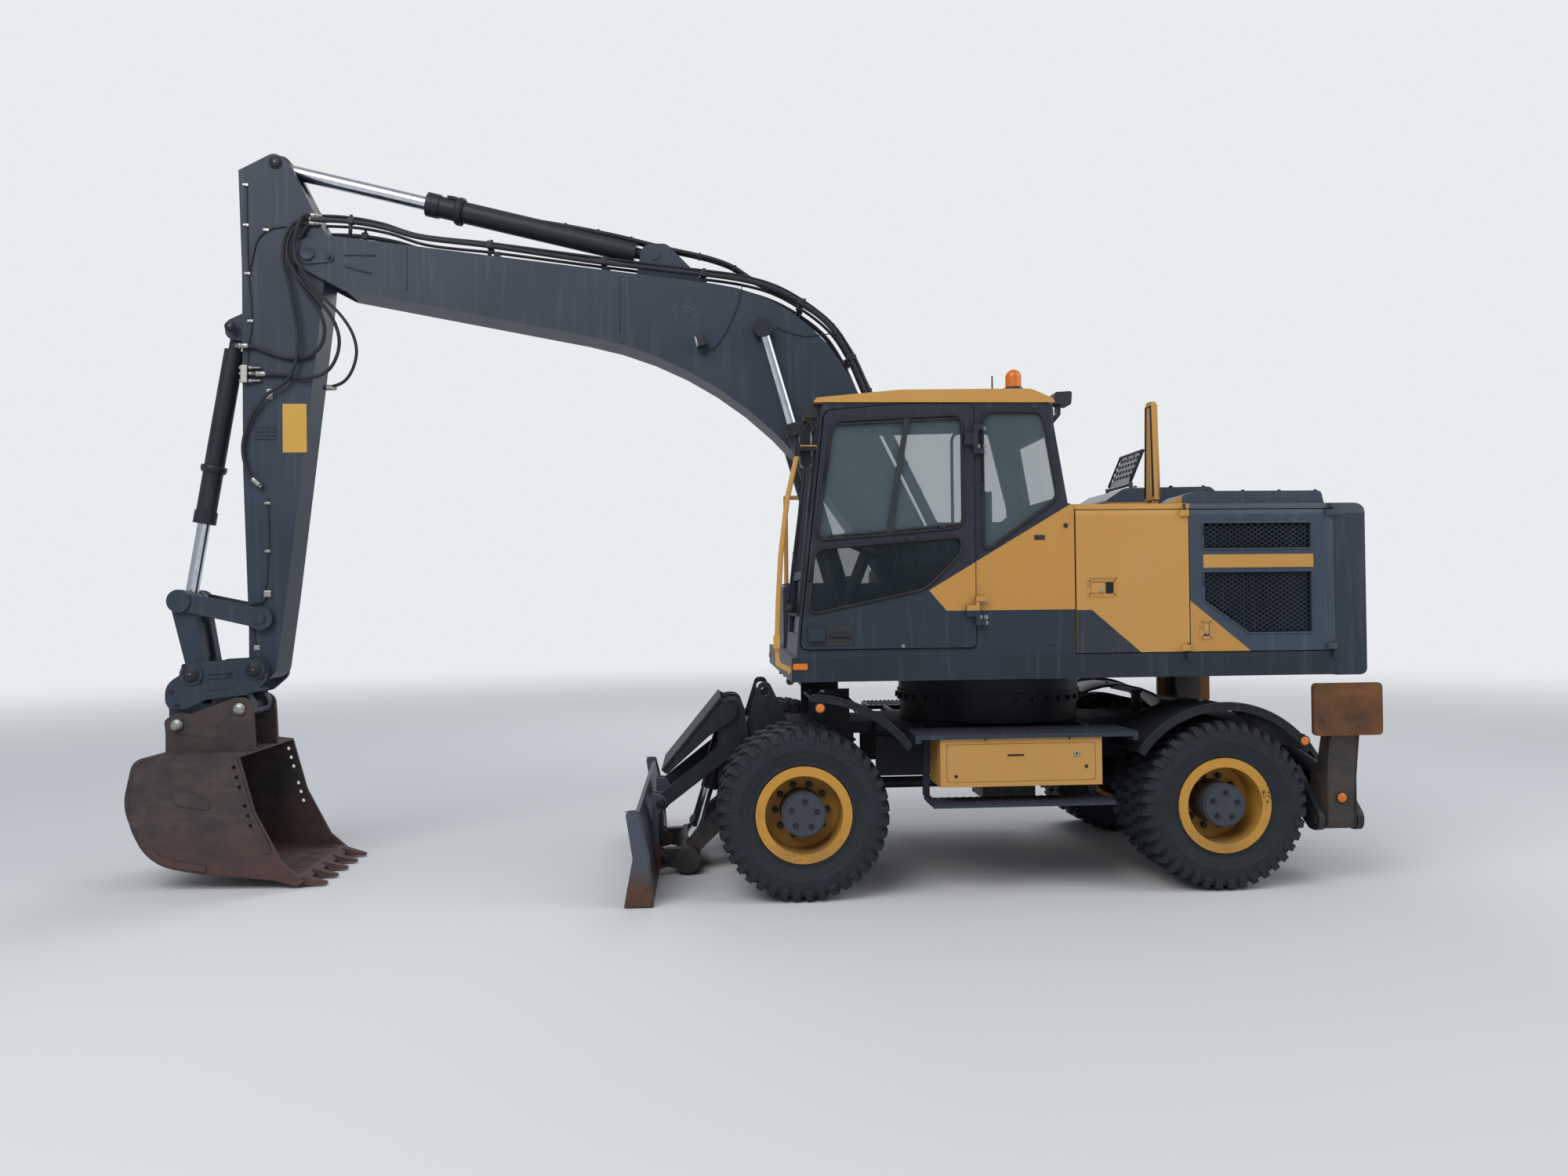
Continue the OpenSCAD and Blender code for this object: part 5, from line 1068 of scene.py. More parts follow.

# %% [markdown]
# ## Hose loops at the boom's tip
#
# Four hoses cross the joint between boom and arm. They have to be long enough for the arm's whole
# swing, so at rest they hang in loops beside the arm. Each is a real length of hose between two
# fittings, from the boom's tip to the arm, and rides on no body.

# %% Crossing hoses
LOOPS = {
    "loop_a": ([
        (-4590, -158, 4519), (-4650, -172, 4516), (-4708, -188, 4480), (-4758, -196, 4396),
        (-4780, -200, 4229), (-4742, -202, 4062), (-4706, -200, 3866), (-4685, -198, 3684),
        (-4706, -196, 3502), (-4777, -192, 3381), (-4893, -186, 3305), (-4975, -180, 3205),
        (-5035, -176, 3080), (-5063, -175, 2950), (-5050, -175, 2830), (-5015, -175, 2745),
        (-4975, -174, 2700)
    ], 0.012),
    "loop_b": ([
        (-4590, -158, 4492), (-4648, -176, 4484), (-4700, -208, 4442), (-4738, -222, 4350),
        (-4738, -226, 4229), (-4665, -226, 4093), (-4548, -226, 3957), (-4445, -224, 3821),
        (-4402, -216, 3685), (-4422, -205, 3563), (-4492, -195, 3460), (-4625, -184, 3416),
        (-4802, -174, 3440), (-4948, -170, 3446)
    ], 0.012),
    "loop_c": ([
        (-4590, -158, 4546), (-4640, -190, 4536), (-4672, -228, 4450), (-4690, -240, 4336),
        (-4680, -246, 4229), (-4615, -250, 4109), (-4498, -250, 3958), (-4383, -240, 3837),
        (-4310, -225, 3716), (-4290, -200, 3594), (-4330, -172, 3470), (-4400, -130, 3400),
        (-4500, -90, 3370)
    ], 0.011),
    "loop_d": ([
        (-4590, -132, 4520), (-4630, -165, 4470), (-4700, -176, 4330), (-4718, -180, 4190),
        (-4630, -180, 4010), (-4552, -178, 3897), (-4512, -176, 3760), (-4535, -174, 3645),
        (-4605, -172, 3578), (-4727, -170, 3553), (-4874, -170, 3588), (-4975, -172, 3630),
        (-5062, -172, 3640)
    ], 0.013)
}
for name, (points, radius) in LOOPS.items():
    path = route(points)
    loop = hoses(name, None, [path], radius, HOSE_RUBBER)
    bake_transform(loop)
    print(name, "length", round(length_of(path), 3))

# %% [markdown]
# Each hose ends in a crimped ferrule with a nut. They are turned pieces, two sizes of ring on a
# tapered shank, and they sit on the pipe's end or on a port block.

# %% Hose fittings
def fittings(name, body, places, radius, finish):
    """Ferrule and nut at each (point, direction): the direction points along the hose."""
    mesh = bmesh.new()
    for point, direction in places:
        point, direction = Vector(point), Vector(direction).normalized()
        put_turned(mesh, point, direction, [
            (-0.030, 0), (-0.030, radius * 1.15), (-0.008, radius * 1.15), (-0.007, radius * 1.5),
            (0.010, radius * 1.5), (0.011, radius * 1.2), (0.016, radius * 1.38), (0.052, radius * 1.38),
            (0.058, radius * 1.15), (0.060, 0)
        ], steps=12)
    add_piece(name, mesh, body, finish)


left = Vector((-1, 0, 0))
fittings("boom_tip_fittings", "boom", [
    (M(-4560, -158, 4519), left), (M(-4560, -158, 4492), left), (M(-4560, -158, 4546), left),
    (M(-4560, -132, 4520), left)
], 0.014, ZINC)
fittings("arm_side_fittings", "arm", [
    (M(-4965, -170, 3447), -left), (M(-5080, -172, 3640), -left), (M(-4960, -174, 2688), (-0.7, 0, 0.7)),
    (M(-4520, -87, 3368), -left)
], 0.014, ZINC)

block = bmesh.new()
put_box(block, M(-5075, -185, 3385), M(-5030, -143, 3505), 0.004)
for z in (3490, 3450, 3400):
    put_turned(block, M(-5030, -165, z), (1, 0, 0), [
        (0, 0), (0, 0.014), (0.03, 0.014), (0.031, 0.010), (0.085, 0.010), (0.086, 0)
    ], 10)
    put_turned(block, M(-5075, -165, z), (-1, 0, 0), [(0, 0), (0, 0.012), (0.012, 0.012), (0.013, 0)], 8)
add_piece("arm_port_block", block, "arm", ZINC)

# %% [markdown]
# ## Pins, plates and lamps of the boom
#
# A pivot pin is kept from turning by a plate that is bolted to the side. The boom's cast tip has two
# shallow ribs. Near the knee a work lamp sits on a bracket at each side. Thin cables lie on the left
# plate, from the lamp up to the pipes.

# %% Boom tip plates
def capsule(p, q, r1, r2, steps=10):
    """Outline round two circles in the X-Z plane, in metres."""
    p, q = Vector((p[0], p[1])), Vector((q[0], q[1]))
    base = math.atan2(q.y - p.y, q.x - p.x)
    spread = math.acos(max(-1, min(1, (r1 - r2) / (q - p).length)))
    shape = []
    for centre, radius, start, end in (
        (q, r2, base - spread, base + spread), (p, r1, base + spread, base - spread + 2 * math.pi)
    ):
        for i in range(steps + 1):
            a = start + (end - start) * i / steps
            shape.append((centre.x + radius * math.cos(a), centre.y + radius * math.sin(a)))
    return shape


def flat(x, z):
    return (x * 0.001 + MID_X, z * 0.001)


def drawn(*corners):
    """An outline in metres from corners (x, z) in drawing millimetres."""
    return [flat(*corner) for corner in corners]


tip = bmesh.new()
for side in (-1, 1):
    low, high = sorted((side * 0.190, side * 0.200))
    put_slab(tip, capsule(flat(-4618, 4272), flat(-4476, 4247), 0.074, 0.034), low, high, 0.003)
    put_turned(tip, M(-4618, side * 200, 4272), (0, side, 0), [
        (0, 0.05), (0.012, 0.05), (0.014, 0.046), (0.010, 0.036), (0.010, 0)
    ], 24)
    for points in (
        [(-4375, 4263), (-4270, 4266), (-4165, 4262)], [(-4368, 4187), (-4280, 4162), (-4190, 4139)]
    ):
        put_tube(tip, [M(x, side * 190, z) for x, z in points], 0.007, 8)
add_piece("boom_tip_plates", tip, "boom", BOOM_PAINT)
bolts("boom_tip_bolts", "boom", [(M(-4476, s * 200, 4247), (0, s, 0)) for s in (-1, 1)], 0.024, STEEL_DARK)

# %% Weld seams of the boom
seams = bmesh.new()
for side in (-1, 1):
    for x, low, high in ((-2490, 3733, 4160), (-3950, 4022, 4325)):
        put_tube(seams, [M(x, side * 190, low + (high - low) * i / 6) for i in range(7)], 0.004, 6)
add_piece("boom_seams", seams, "boom", BOOM_PAINT)

# %% Boom work lamps
def work_lamp(name, body, place, heading, stalk):
    """A box lamp with a rounded back, ribs and a lens; heading is where it shines."""
    mesh = bmesh.new()
    depth, width, height = 0.05, 0.11, 0.09
    turn = Vector(heading).to_track_quat("X", "Z").to_matrix().to_4x4()
    place = Vector(place)

    def spot(x, y, z):
        return place + turn @ Vector((x, y, z))

    half = Vector((depth, width, height)) / 2
    put_box(mesh, place - half, place + half, 0.010, turn)
    rib = Vector((0.012, 0.003, height * 0.36))
    for i in range(4):
        middle = spot(-depth * 0.62, width * (i - 1.5) / 4.5, 0)
        put_box(mesh, middle - rib, middle + rib, 0.001, turn)
    put_turned(mesh, spot(depth * 0.5, 0, 0), turn @ Vector((1, 0, 0)), [
        (-0.002, height * 0.42), (0.004, height * 0.42), (0.006, height * 0.38), (0.008, 0)
    ], 20, material=1)
    put_tube(mesh, bend_path([spot(0, 0, -height * 0.45), *[M(*p) for p in stalk]], 0.02), 0.008, 8)
    add_piece(name, mesh, body, TRIM_PLASTIC, CLEAR_LENS)


for label, side in SIDES:
    work_lamp(f"boom_lamp_{label}", "boom", M(-1935, side * 232, 3672), (-0.96, side * 0.1, -0.25),
              [(-1925, side * 232, 3600), (-1905, side * 215, 3595), (-1905, side * 188, 3595)])
hoses("boom_cables", "boom", [
    route([
        (-1633, -193, 4075), (-1665, -194, 3934), (-1717, -194, 3811), (-1800, -195, 3668),
        (-1862, -205, 3615), (-1890, -222, 3640)
    ]),
    route([
        (-1401, -200, 3782), (-1309, -194, 3742), (-1187, -193, 3717), (-1043, -193, 3732),
        (-960, -190, 3735)
    ])
], 0.004, HOSE_RUBBER, sides=6)

# %% [markdown]
# ## Trim of the arm
#
# Thin grease lines run down the arm's edge to its lower pins, held by clips. On the side sits a plate
# for safety notes; it stays blank here. The bracket above the bucket's link carries spare ports.

# %% Arm grease lines and plate
# The lines lie a few millimetres off the arm's left plate
LINE_Y = -149
hoses("arm_grease_lines", "arm", [
    route([(-5039, 4765), (-5035, 4477), (-5027, 4143), (-5007, 3809), (-5030, 3635), (-5035, 3520)], LINE_Y),
    route([(-5022, 4143), (-4997, 4265), (-4960, 4386), (-4886, 4448), (-4775, 4470)], LINE_Y - 1),
    route([(-4905, 2600), (-4900, 2300), (-4915, 2050), (-4935, 1900)], LINE_Y),
], 0.005, HOSE_RUBBER, step=0.04, sides=6)
clips = bmesh.new()
for x, z in (
    (-5037, 4755), (-5035, 4477), (-5027, 4143), (-5009, 3815), (-4900, 4445), (-4902, 2560), (-4903, 2230)
):
    put_box(clips, M(x - 16, -156, z - 9), M(x + 12, -144.6, z + 9), 0.003)
    put_turned(clips, M(x - 18, -156, z), (0, -1, 0), [
        (0, 0.008), (0.006, 0.008), (0.006, 0)
    ], 6, smooth=False)
add_piece("arm_clips", clips, "arm", ZINC)

plate = bmesh.new()
put_box(plate, M(-4807, -147.5, 2909), M(-4645, -144.8, 3245), 0.001)
add_piece("blank_plate", plate, "arm", BLANK_PLATE)
bolts("plate_rivets", "arm", [
    (M(x, -147.5, z), (0, -1, 0)) for x in (-4795, -4657) for z in (2922, 3232)
], 0.007, ZINC, height=0.002, washer=0.005)

bracket = bmesh.new()
put_box(bracket, M(-4990, -152, 3000), M(-4856, -144.8, 3110), 0.002)
for i in range(6):
    for j in range(3):
        put_turned(
            bracket, M(-4976 + 21 * i, -152, 3024 + 28 * j), (0, -1, 0),
            [(0, 0.006), (0.003, 0.006), (0.003, 0)], 6, material=1
        )
put_box(bracket, M(-4912, -150, 3276), M(-4872, -144.8, 3347), 0.002, material=2)
add_piece("arm_spare_ports", bracket, "arm", BOOM_PAINT, STEEL_DARK, ZINC)

# %% [markdown]
# ## Cab: seals, divider and handle
#
# Each pane of a cab sits in a rubber section that is pressed into its corners. The section runs once
# round the opening, so it is a closed tube along the window's outline, bent at every corner like the
# real one. Below its windows the door carries its handle in a black dished plate.

# %% Window seals
def ring_path(corners, y, bend):
    """A closed path through corners (x, z) at y, or through points if y is None, rounded by bend metres."""
    points = [M(c[0], y, c[1]) for c in corners] if y is not None else [Vector(c) for c in corners]
    middle = (points[0] + points[1]) / 2
    return bend_path([middle, *points[1:], points[0], middle], bend)


# The outer faces of the left side's panels and of the cab door
PANEL_Y, DOOR_Y = -1250, -1264
DOOR_WINDOWS = [
    [(-1235, 2215), (-1125, 2950), (-320, 2990), (-320, 2290)],
    [(-1290, 1760), (-1245, 2165), (-330, 2235), (-330, 2130), (-560, 1910)],
]
REAR_WINDOW = [(-190, 2130), (-190, 3010), (190, 3010), (215, 2900), (285, 2470)]
seals = bmesh.new()
for corners in DOOR_WINDOWS:
    put_tube(seals, ring_path(corners, DOOR_Y, 0.07), 0.011, 8)
add_piece("door_seals", seals, "cab_door", SEAL_RUBBER)
seals = bmesh.new()
put_tube(seals, ring_path(REAR_WINDOW, PANEL_Y, 0.07), 0.011, 8)
put_tube(seals, ring_path(REAR_WINDOW, -345, 0.07), 0.011, 8)
add_piece("rear_seals", seals, "superstructure", SEAL_RUBBER)

trim = bmesh.new()
# The sliding panes' divider, and the rail that they run in
put_slab(trim, drawn((-679, 2972), (-643, 2973), (-765, 2252), (-801, 2250)), -1.270, -1.256, 0.003)
put_tube(trim, [M(-1215, -1262, 2236), M(-345, -1262, 2309)], 0.008, 6)
put_tube(trim, [M(-1118, -1262, 2930), M(-345, -1262, 2968)], 0.008, 6)
for x, z in ((-1176, 2232), (-450, 2300), (-650, 2226)):
    put_box(trim, M(x - 22, -1280, z - 12), M(x + 22, -1262, z + 12), 0.005)
add_piece("window_trim", trim, "cab_door", TRIM_PLASTIC)
print("seals and trim done")

# %% Door handle
handle = bmesh.new()
put_box(handle, M(-1298, -1269, 1570), M(-1012, -1262, 1695), 0.003)
put_box(handle, M(-1257, -1279, 1595), M(-1181, -1268, 1677), 0.006)
put_turned(handle, M(-1219, -1278, 1650), (0, -1, 0), [
    (0, 0.013), (0.005, 0.013), (0.006, 0.009), (0.006, 0)
], 16, 1)
put_tube(handle, bend_path([
    M(-1150, -1267, 1632), M(-1150, -1283, 1632), M(-1034, -1283, 1632), M(-1034, -1267, 1632)
], 0.012), 0.007, 8)
add_piece("door_handle", handle, "cab_door", TRIM_PLASTIC, ZINC)
plugs = bmesh.new()
for x, z in ((235, 1567), (142, 3042), (330, 2300)):
    put_turned(plugs, M(x, PANEL_Y, z), (0, -1, 0), [
        (-0.001, 0.016), (0.004, 0.015), (0.005, 0.010), (0.005, 0)
    ], 16)
put_box(plugs, M(129, -1252, 2211), M(197, -1249.5, 2242), 0.001)
add_piece("panel_plugs", plugs, "superstructure", TRIM_PLASTIC)
bolts("frame_plugs", "cab_door", [
    (M(x, DOOR_Y, z), (0, -1, 0)) for x, z in ((-703, 1563), (-1150, 1600))
], 0.014, ZINC, height=0.004, washer=0.012)
bolts("hinge_bolts", "superstructure", [
    (M(x, PANEL_Y, z), (0, -1, 0)) for x in (-215, -180) for z in (1700, 1735, 1840, 2905, 2760, 2795)
], 0.017, ZINC, height=0.009)

# %% [markdown]
# ## Front of the cab: wiper and seal
#
# The windscreen leans back by about 6 degrees. Its wiper is parked along the pillar: a pressed arm
# with a spring box and a rubber blade held in a thin claw.

# %% Wiper and front seal
def front_x(z):
    return -1345 + (z - 1700) * 155 / 1380


screen = bmesh.new()
corners = [M(front_x(z) - 4, y, z) for y, z in ((-1205, 1760), (-1205, 3010), (-390, 3010), (-390, 1760))]
put_tube(screen, ring_path(corners, None, 0.06), 0.011, 8)
add_piece("front_seal", screen, "superstructure", SEAL_RUBBER)
wiper = bmesh.new()
put_turned(wiper, M(front_x(1800) - 5, -520, 1800), (-1, 0, 0), [
    (0, 0.030), (0.02, 0.028), (0.03, 0.018), (0.03, 0)
], 16)
put_tube(wiper, [
    M(front_x(1800) - 24, -520, 1800), M(front_x(2100) - 26, -545, 2100), M(front_x(2500) - 18, -560, 2500)
], 0.007, 6)
put_box(wiper, M(front_x(2140) - 30, -552, 2100), M(front_x(2140) - 14, -538, 2180), 0.004)
put_tube(wiper, [M(front_x(2150) - 12, -548, 2150), M(front_x(2850) - 12, -572, 2850)], 0.006, 6)
add_piece("wiper", wiper, "superstructure", TRIM_PLASTIC)

# %% [markdown]
# ## Grab rail, mirror and lamps
#
# The curved rail is held by a black clamp near its top, and a blank tag hangs at its foot. The mirror
# gets its glass, a slightly domed plate, in the back of the housing where the driver sees it.

# %% Rail clamp, mirror glass and lamp frames
clamp = bmesh.new()
put_box(clamp, M(-1362, -1252, 2738), M(-1322, -1208, 2822), 0.008)
put_box(clamp, M(-1345, -1240, 2770), M(-1225, -1220, 2800), 0.005)
add_piece("rail_clamp", clamp, "superstructure", BLACK_PAINT)
tag = bmesh.new()
put_box(tag, M(-1502, -1252, 1556), M(-1462, -1247, 1640), 0.002)
add_piece("rail_tag", tag, "superstructure", BLANK_PLATE)
mirror = bmesh.new()
rows = [(2690, 0.030), (2705, 0.048), (2760, 0.055), (2830, 0.055), (2885, 0.048), (2900, 0.030)]
outline = [(-w * 1000, z) for z, w in rows] + [(w * 1000, z) for z, w in reversed(rows)]
front = [mirror.verts.new(M(-1248, -1142 + u, z)) for u, z in outline]
middle = mirror.verts.new(M(-1243, -1142, 2795))
for i, vert in enumerate(front):
    mirror.faces.new((middle, vert, front[(i + 1) % len(front)]))
for face in mirror.faces:
    face.smooth = True
bmesh.ops.recalc_face_normals(mirror, faces=mirror.faces)
bmesh.ops.solidify(mirror, geom=mirror.faces[:], thickness=0.003)
add_piece("mirror_glass", mirror, "superstructure", CHROME)

lamp_trim = bmesh.new()
for y in (-1145, -450):
    put_tube(lamp_trim, ring_path([
        M(-1294, y - 42, 2990), M(-1285, y - 42, 3057), M(-1285, y + 42, 3057), M(-1294, y + 42, 2990)
    ], None, 0.012), 0.004, 6)
    for i in range(5):
        put_box(lamp_trim, M(-1262 + 10 * i, y - 40, 3060), M(-1258 + 10 * i, y + 40, 3068), 0.001)
add_piece("front_lamp_trim", lamp_trim, "superstructure", BLACK_PLASTIC)
hoses("lamp_cables", "superstructure", [
    route([(-1230, -1110, 2990), (-1226, -1090, 2950), (-1215, -1080, 2925), (-1203, -1078, 2900)]),
    route([(330, -1100, 3034), (310, -1085, 3000), (290, -1070, 2975), (266, -1065, 2960)])
], 0.004, HOSE_RUBBER, sides=6)
beacon = bmesh.new()
put_turned(beacon, M(50, -1100, 3179), UP, [
    (0.002, 0.058), (0.006, 0.058), (0.008, 0.052), (0.010, 0.0515)
], 32)
add_piece("beacon_ring", beacon, "superstructure", BLACK_PLASTIC)
print("lamps and mirror done")

# %% [markdown]
# ## Inside the cab
#
# Through the glass one sees a sprung seat, arm rests with a joystick each, a steering wheel on a
# tilting column and a screen in the corner. Cushions bulge between their seams, so they are lofted
# from rounded rings. The bolsters at the sides are part of the cushion.

# %% Seat cushions
# The cab's middle, on which the seat and the column stand
MIDDLE_Y = -797


def cushion(name, rings, ahead):
    """Lofts a cushion through rings of (x, z, half width, half depth), with ahead as the depth's way."""
    mesh = bmesh.new()
    ahead = Vector(ahead).normalized()
    loops = []
    for x, z, width, depth in rings:
        loop = []
        for i in range(28):
            a = 2 * math.pi * i / 28
            c, s = math.cos(a), math.sin(a)
            # A squarish oval, as a foam block in a cover has
            u = math.copysign(abs(c) ** 0.5, c) * width
            v = math.copysign(abs(s) ** 0.5, s) * depth * (1 + 0.35 * abs(u / width) ** 6)
            loop.append(mesh.verts.new(M(x, MIDDLE_Y, z) + Vector((0, u * 0.001, 0)) + ahead * v * 0.001))
        loops.append(loop)
    join_rings(mesh, loops, capped=True)
    bmesh.ops.recalc_face_normals(mesh, faces=mesh.faces)
    add_piece(name, mesh, "superstructure", SEAT_CLOTH)


cushion("seat_cushion", [
    (-600, 1886, 150, 30), (-590, 1888, 190, 52), (-560, 1888, 208, 62), (-380, 1884, 212, 58),
    (-210, 1880, 208, 56), (-185, 1880, 190, 48), (-172, 1880, 150, 28)
], UP)
cushion("seat_back", [
    (-150, 1958, 150, 22), (-150, 1975, 195, 42), (-148, 2060, 210, 48), (-128, 2250, 205, 42),
    (-105, 2470, 180, 34), (-98, 2530, 150, 28), (-96, 2548, 110, 16)
], (-0.98, 0, 0.12))
rest = bmesh.new()
put_box(rest, M(-600, MIDDLE_Y - 205, 1821), M(-170, MIDDLE_Y + 205, 1836), 0.01)
put_box(rest, M(-92, MIDDLE_Y - 190, 1870), M(-66, MIDDLE_Y + 190, 2540), 0.012)
put_box(rest, M(-140, MIDDLE_Y - 190, 1822), M(-66, MIDDLE_Y + 190, 1880), 0.012)
shell = add_piece("seat_shell", rest, "superstructure", TRIM_PLASTIC)
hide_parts("seat")

# %% Steering wheel, joysticks and screen
controls = bmesh.new()
tilt = Matrix.Rotation(math.radians(22), 3, "Y")
foot = M(-1100, MIDDLE_Y, 1568)
axis = tilt @ Vector((0, 0, 1))
hub = foot + axis * 0.684


def on_wheel(angle, radius, height):
    return hub + tilt @ Vector((radius * math.cos(angle), radius * math.sin(angle), height))


put_tube(controls, [on_wheel(2 * math.pi * i / 40, 0.172, 0.012) for i in range(41)], 0.015, 10)
put_turned(controls, hub, axis, [(-0.012, 0.04), (0.010, 0.055), (0.018, 0.045), (0.020, 0)], 20)
for i in range(3):
    put_tube(controls, [hub, on_wheel(math.radians(90 + 120 * i), 0.165, 0.008)], 0.011, 8)
for y in (MIDDLE_Y - 260, MIDDLE_Y + 260):
    put_turned(controls, M(-600, y, 2182), (-0.15, 0, 1), [
        (0, 0.019), (0.02, 0.024), (0.07, 0.026), (0.10, 0.021), (0.108, 0)
    ], 16)
    put_turned(controls, M(-600, y, 2072), UP, [(0, 0.045), (0.02, 0.040), (0.045, 0.026), (0.06, 0.022)], 16)
    for i in range(5):
        put_box(controls, M(-520 + 45 * i, y - 12, 2069), M(-495 + 45 * i, y + 12, 2076), 0.002)
put_box(controls, M(-1210, -490, 2180), M(-1180, -400, 2330), 0.01, Matrix.Rotation(0.35, 4, "Z"))
put_tube(controls, bend_path([
    M(-1195, -445, 2185), M(-1215, -445, 2100), M(-1260, -420, 2000)
], 0.03), 0.012, 8)
add_piece("cab_controls", controls, "superstructure", TRIM_PLASTIC)
print("interior done")

# %% [markdown]
# ## Expanded metal in the grille door
#
# Expanded metal is a sheet that is slit in staggered rows and pulled apart, so every hole is a long
# flat hexagon. Here a cell measures 45 by 29 mm. One cell's ring is drawn, and a tree sets it on the
# points of a staggered lattice, clipped to the window. Neighbours share their strands.

# %% One cell of expanded metal
CELL_W, CELL_H, STRAND, SHEET = 0.045, 0.029, 0.0026, 0.003


def cell_object():
    mesh = bmesh.new()
    rings = []
    for grow_by, y in ((STRAND, 0), (STRAND, SHEET), (-STRAND, SHEET), (-STRAND, 0)):
        half_w, half_h, flat_w = CELL_W / 2 + grow_by, CELL_H / 2 + grow_by * 0.8, CELL_W * 0.24
        ring = [
            (half_w, 0), (flat_w, half_h), (-flat_w, half_h), (-half_w, 0), (-flat_w, -half_h),
            (flat_w, -half_h)
        ]
        # Pulling the sheet tilts each strand, so the upper half leans out
        rings.append([mesh.verts.new((x, y - z * 0.12, z)) for x, z in ring])
    join_rings(mesh, rings + rings[:1], smooth=False)
    return sample("expanded_cell", mesh)


def lattice_tree():
    tree, inlet = new_tree("expanded_metal", [
        ("Cell", "Object", None), ("Scale", "Float", 1.0), ("Finish", "Material", None)
    ])
    cell = add(tree, "GeometryNodeObjectInfo", {"Object": inlet.outputs["Cell"]})
    spread = add(tree, "GeometryNodeInstanceOnPoints", {
        "Points": inlet.outputs["Geometry"], "Instance": cell.outputs["Geometry"],
        "Scale": inlet.outputs["Scale"]
    })
    return close_tree(tree, spread, inlet)


LATTICE = lattice_tree()

# %% Grille
GRILLES = [
    [(1205, 2145), (1205, 2312), (1910, 2312), (1910, 2145)],
    [(1205, 1822), (1205, 2004), (1910, 2004), (1910, 1614), (1494, 1614)],
]
places = []
for corners in GRILLES:
    low_x, high_x = min(x for x, z in corners), max(x for x, z in corners)
    low_z, high_z = min(z for x, z in corners), max(z for x, z in corners)
    row = 0
    z = low_z + 6
    while z < high_z - 2:
        x = low_x + (12 if row % 2 else 34)
        while x < high_x - 8:
            # Below the slanting corner there is no opening
            if len(corners) == 4 or z > 1822 - (x - 1205) * 208 / 289 + 8:
                places.append(M(x, -1231, z))
            x += CELL_W * 1000
        z += CELL_H * 500
        row += 1
grille = grow("expanded_metal", LATTICE, "grille_door", wire("lattice", places),
              {"Cell": cell_object(), "Scale": 1.0, "Finish": GREY_PAINT})
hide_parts("grille_mesh")

# %% Window lips, strip and latches
lips = bmesh.new()
for corners in GRILLES:
    put_tube(lips, ring_path(corners, PANEL_Y - 0.5, 0.012), 0.0065, 8)
add_piece("grille_lips", lips, "grille_door", GRILLE_DOOR_PAINT)
strip = bmesh.new()
put_box(strip, M(1208, -1248.5, 2028), M(1923, -1245.6, 2112), 0.001)
add_piece("plain_strip", strip, "grille_door", YELLOW_PAINT)


def latch(name, body, low, high, depth=0):
    """A dished latch in the door's own paint: a pressed frame, a paddle beside a finger gap, and a lock."""
    mesh = bmesh.new()
    (x0, z0), (x1, z1) = low, high
    rim = 14
    # The pressed frame, the dark dish, and the paddle over most of it
    put_tube(mesh, ring_path([(x0, z0), (x0, z1), (x1, z1), (x1, z0)], PANEL_Y - 0.5, 0.014), 0.005, 8)
    put_tube(mesh, ring_path([
        (x0 + rim, z0 + rim), (x0 + rim, z1 - rim), (x1 - rim, z1 - rim), (x1 - rim, z0 + rim)
    ], PANEL_Y - 0.5, 0.008), 0.003, 6)
    for left, right, lower, upper in (
        (x0, x0 + rim, z0, z1), (x1 - rim, x1, z0, z1), (x0, x1, z0, z0 + rim), (x0, x1, z1 - rim, z1)
    ):
        put_box(mesh, M(left, PANEL_Y - 1, lower), M(right, PANEL_Y + 5 + depth, upper))
    put_box(mesh, M(x0 + 5, PANEL_Y + 3, z0 + 5), M(x1 - 5, PANEL_Y + 7 + depth, z1 - 5), 0.001, material=1)
    wide = x1 - x0 > z1 - z0
    length = (x1 - x0) * 0.62 if wide else x1 - x0 - 19
    foot = z0 + (19 if wide else 30)
    put_box(mesh, M(x0 + 19, PANEL_Y - 0.5, foot), M(x0 + length, PANEL_Y + 6, z1 - 19), 0.003)
    put_turned(mesh, M(x0 + length * 0.72, PANEL_Y - 0.5, z0 + 36), (0, -1, 0), [
        (0, 0.012), (0.004, 0.012), (0.005, 0.008), (0.005, 0)
    ], 16, 2)
    add_piece(name, mesh, body, YELLOW_PAINT, BLACK_PAINT, ZINC)


latch("side_door_latch", "side_door", (468, 1856), (646, 1962))
latch("grille_door_latch", "grille_door", (1186, 1583), (1256, 1698), 3)

# %% [markdown]
# ## Hood: covers, bolts and hatch
#
# The covers over the engine are pressed steel with a flange all round, bolted down every 250 mm or
# so. The hatch is a thin panel whose folded edges make it stiff; a gas strut props it open, and a
# rubber strip keeps the rain out.

# %% Hood bolts
covers = [(M(x, -1120, 2521 - (18 if x > 2050 else 0)), UP) for x in range(1290, 2040, 240)]
covers += [(M(x, y, 2606), UP) for y in (-545, 155) for x in (1040, 1290, 1520)]
covers += [(M(x, y, 2521), UP) for y in (-900, 300, 660, 1000) for x in (1400, 1700, 2000)]
bolts("cover_bolts", "superstructure", covers, 0.02, STEEL_DARK, height=0.009)
bolts("weight_plugs", "superstructure", [
    (M(x, y, 2436), UP) for x in (2200, 2460) for y in (-420, 420)
], 0.05, STEEL_DARK, height=0.014, washer=0.044)

panel = bmesh.new()
foot_z, top_z = 2488, 3138
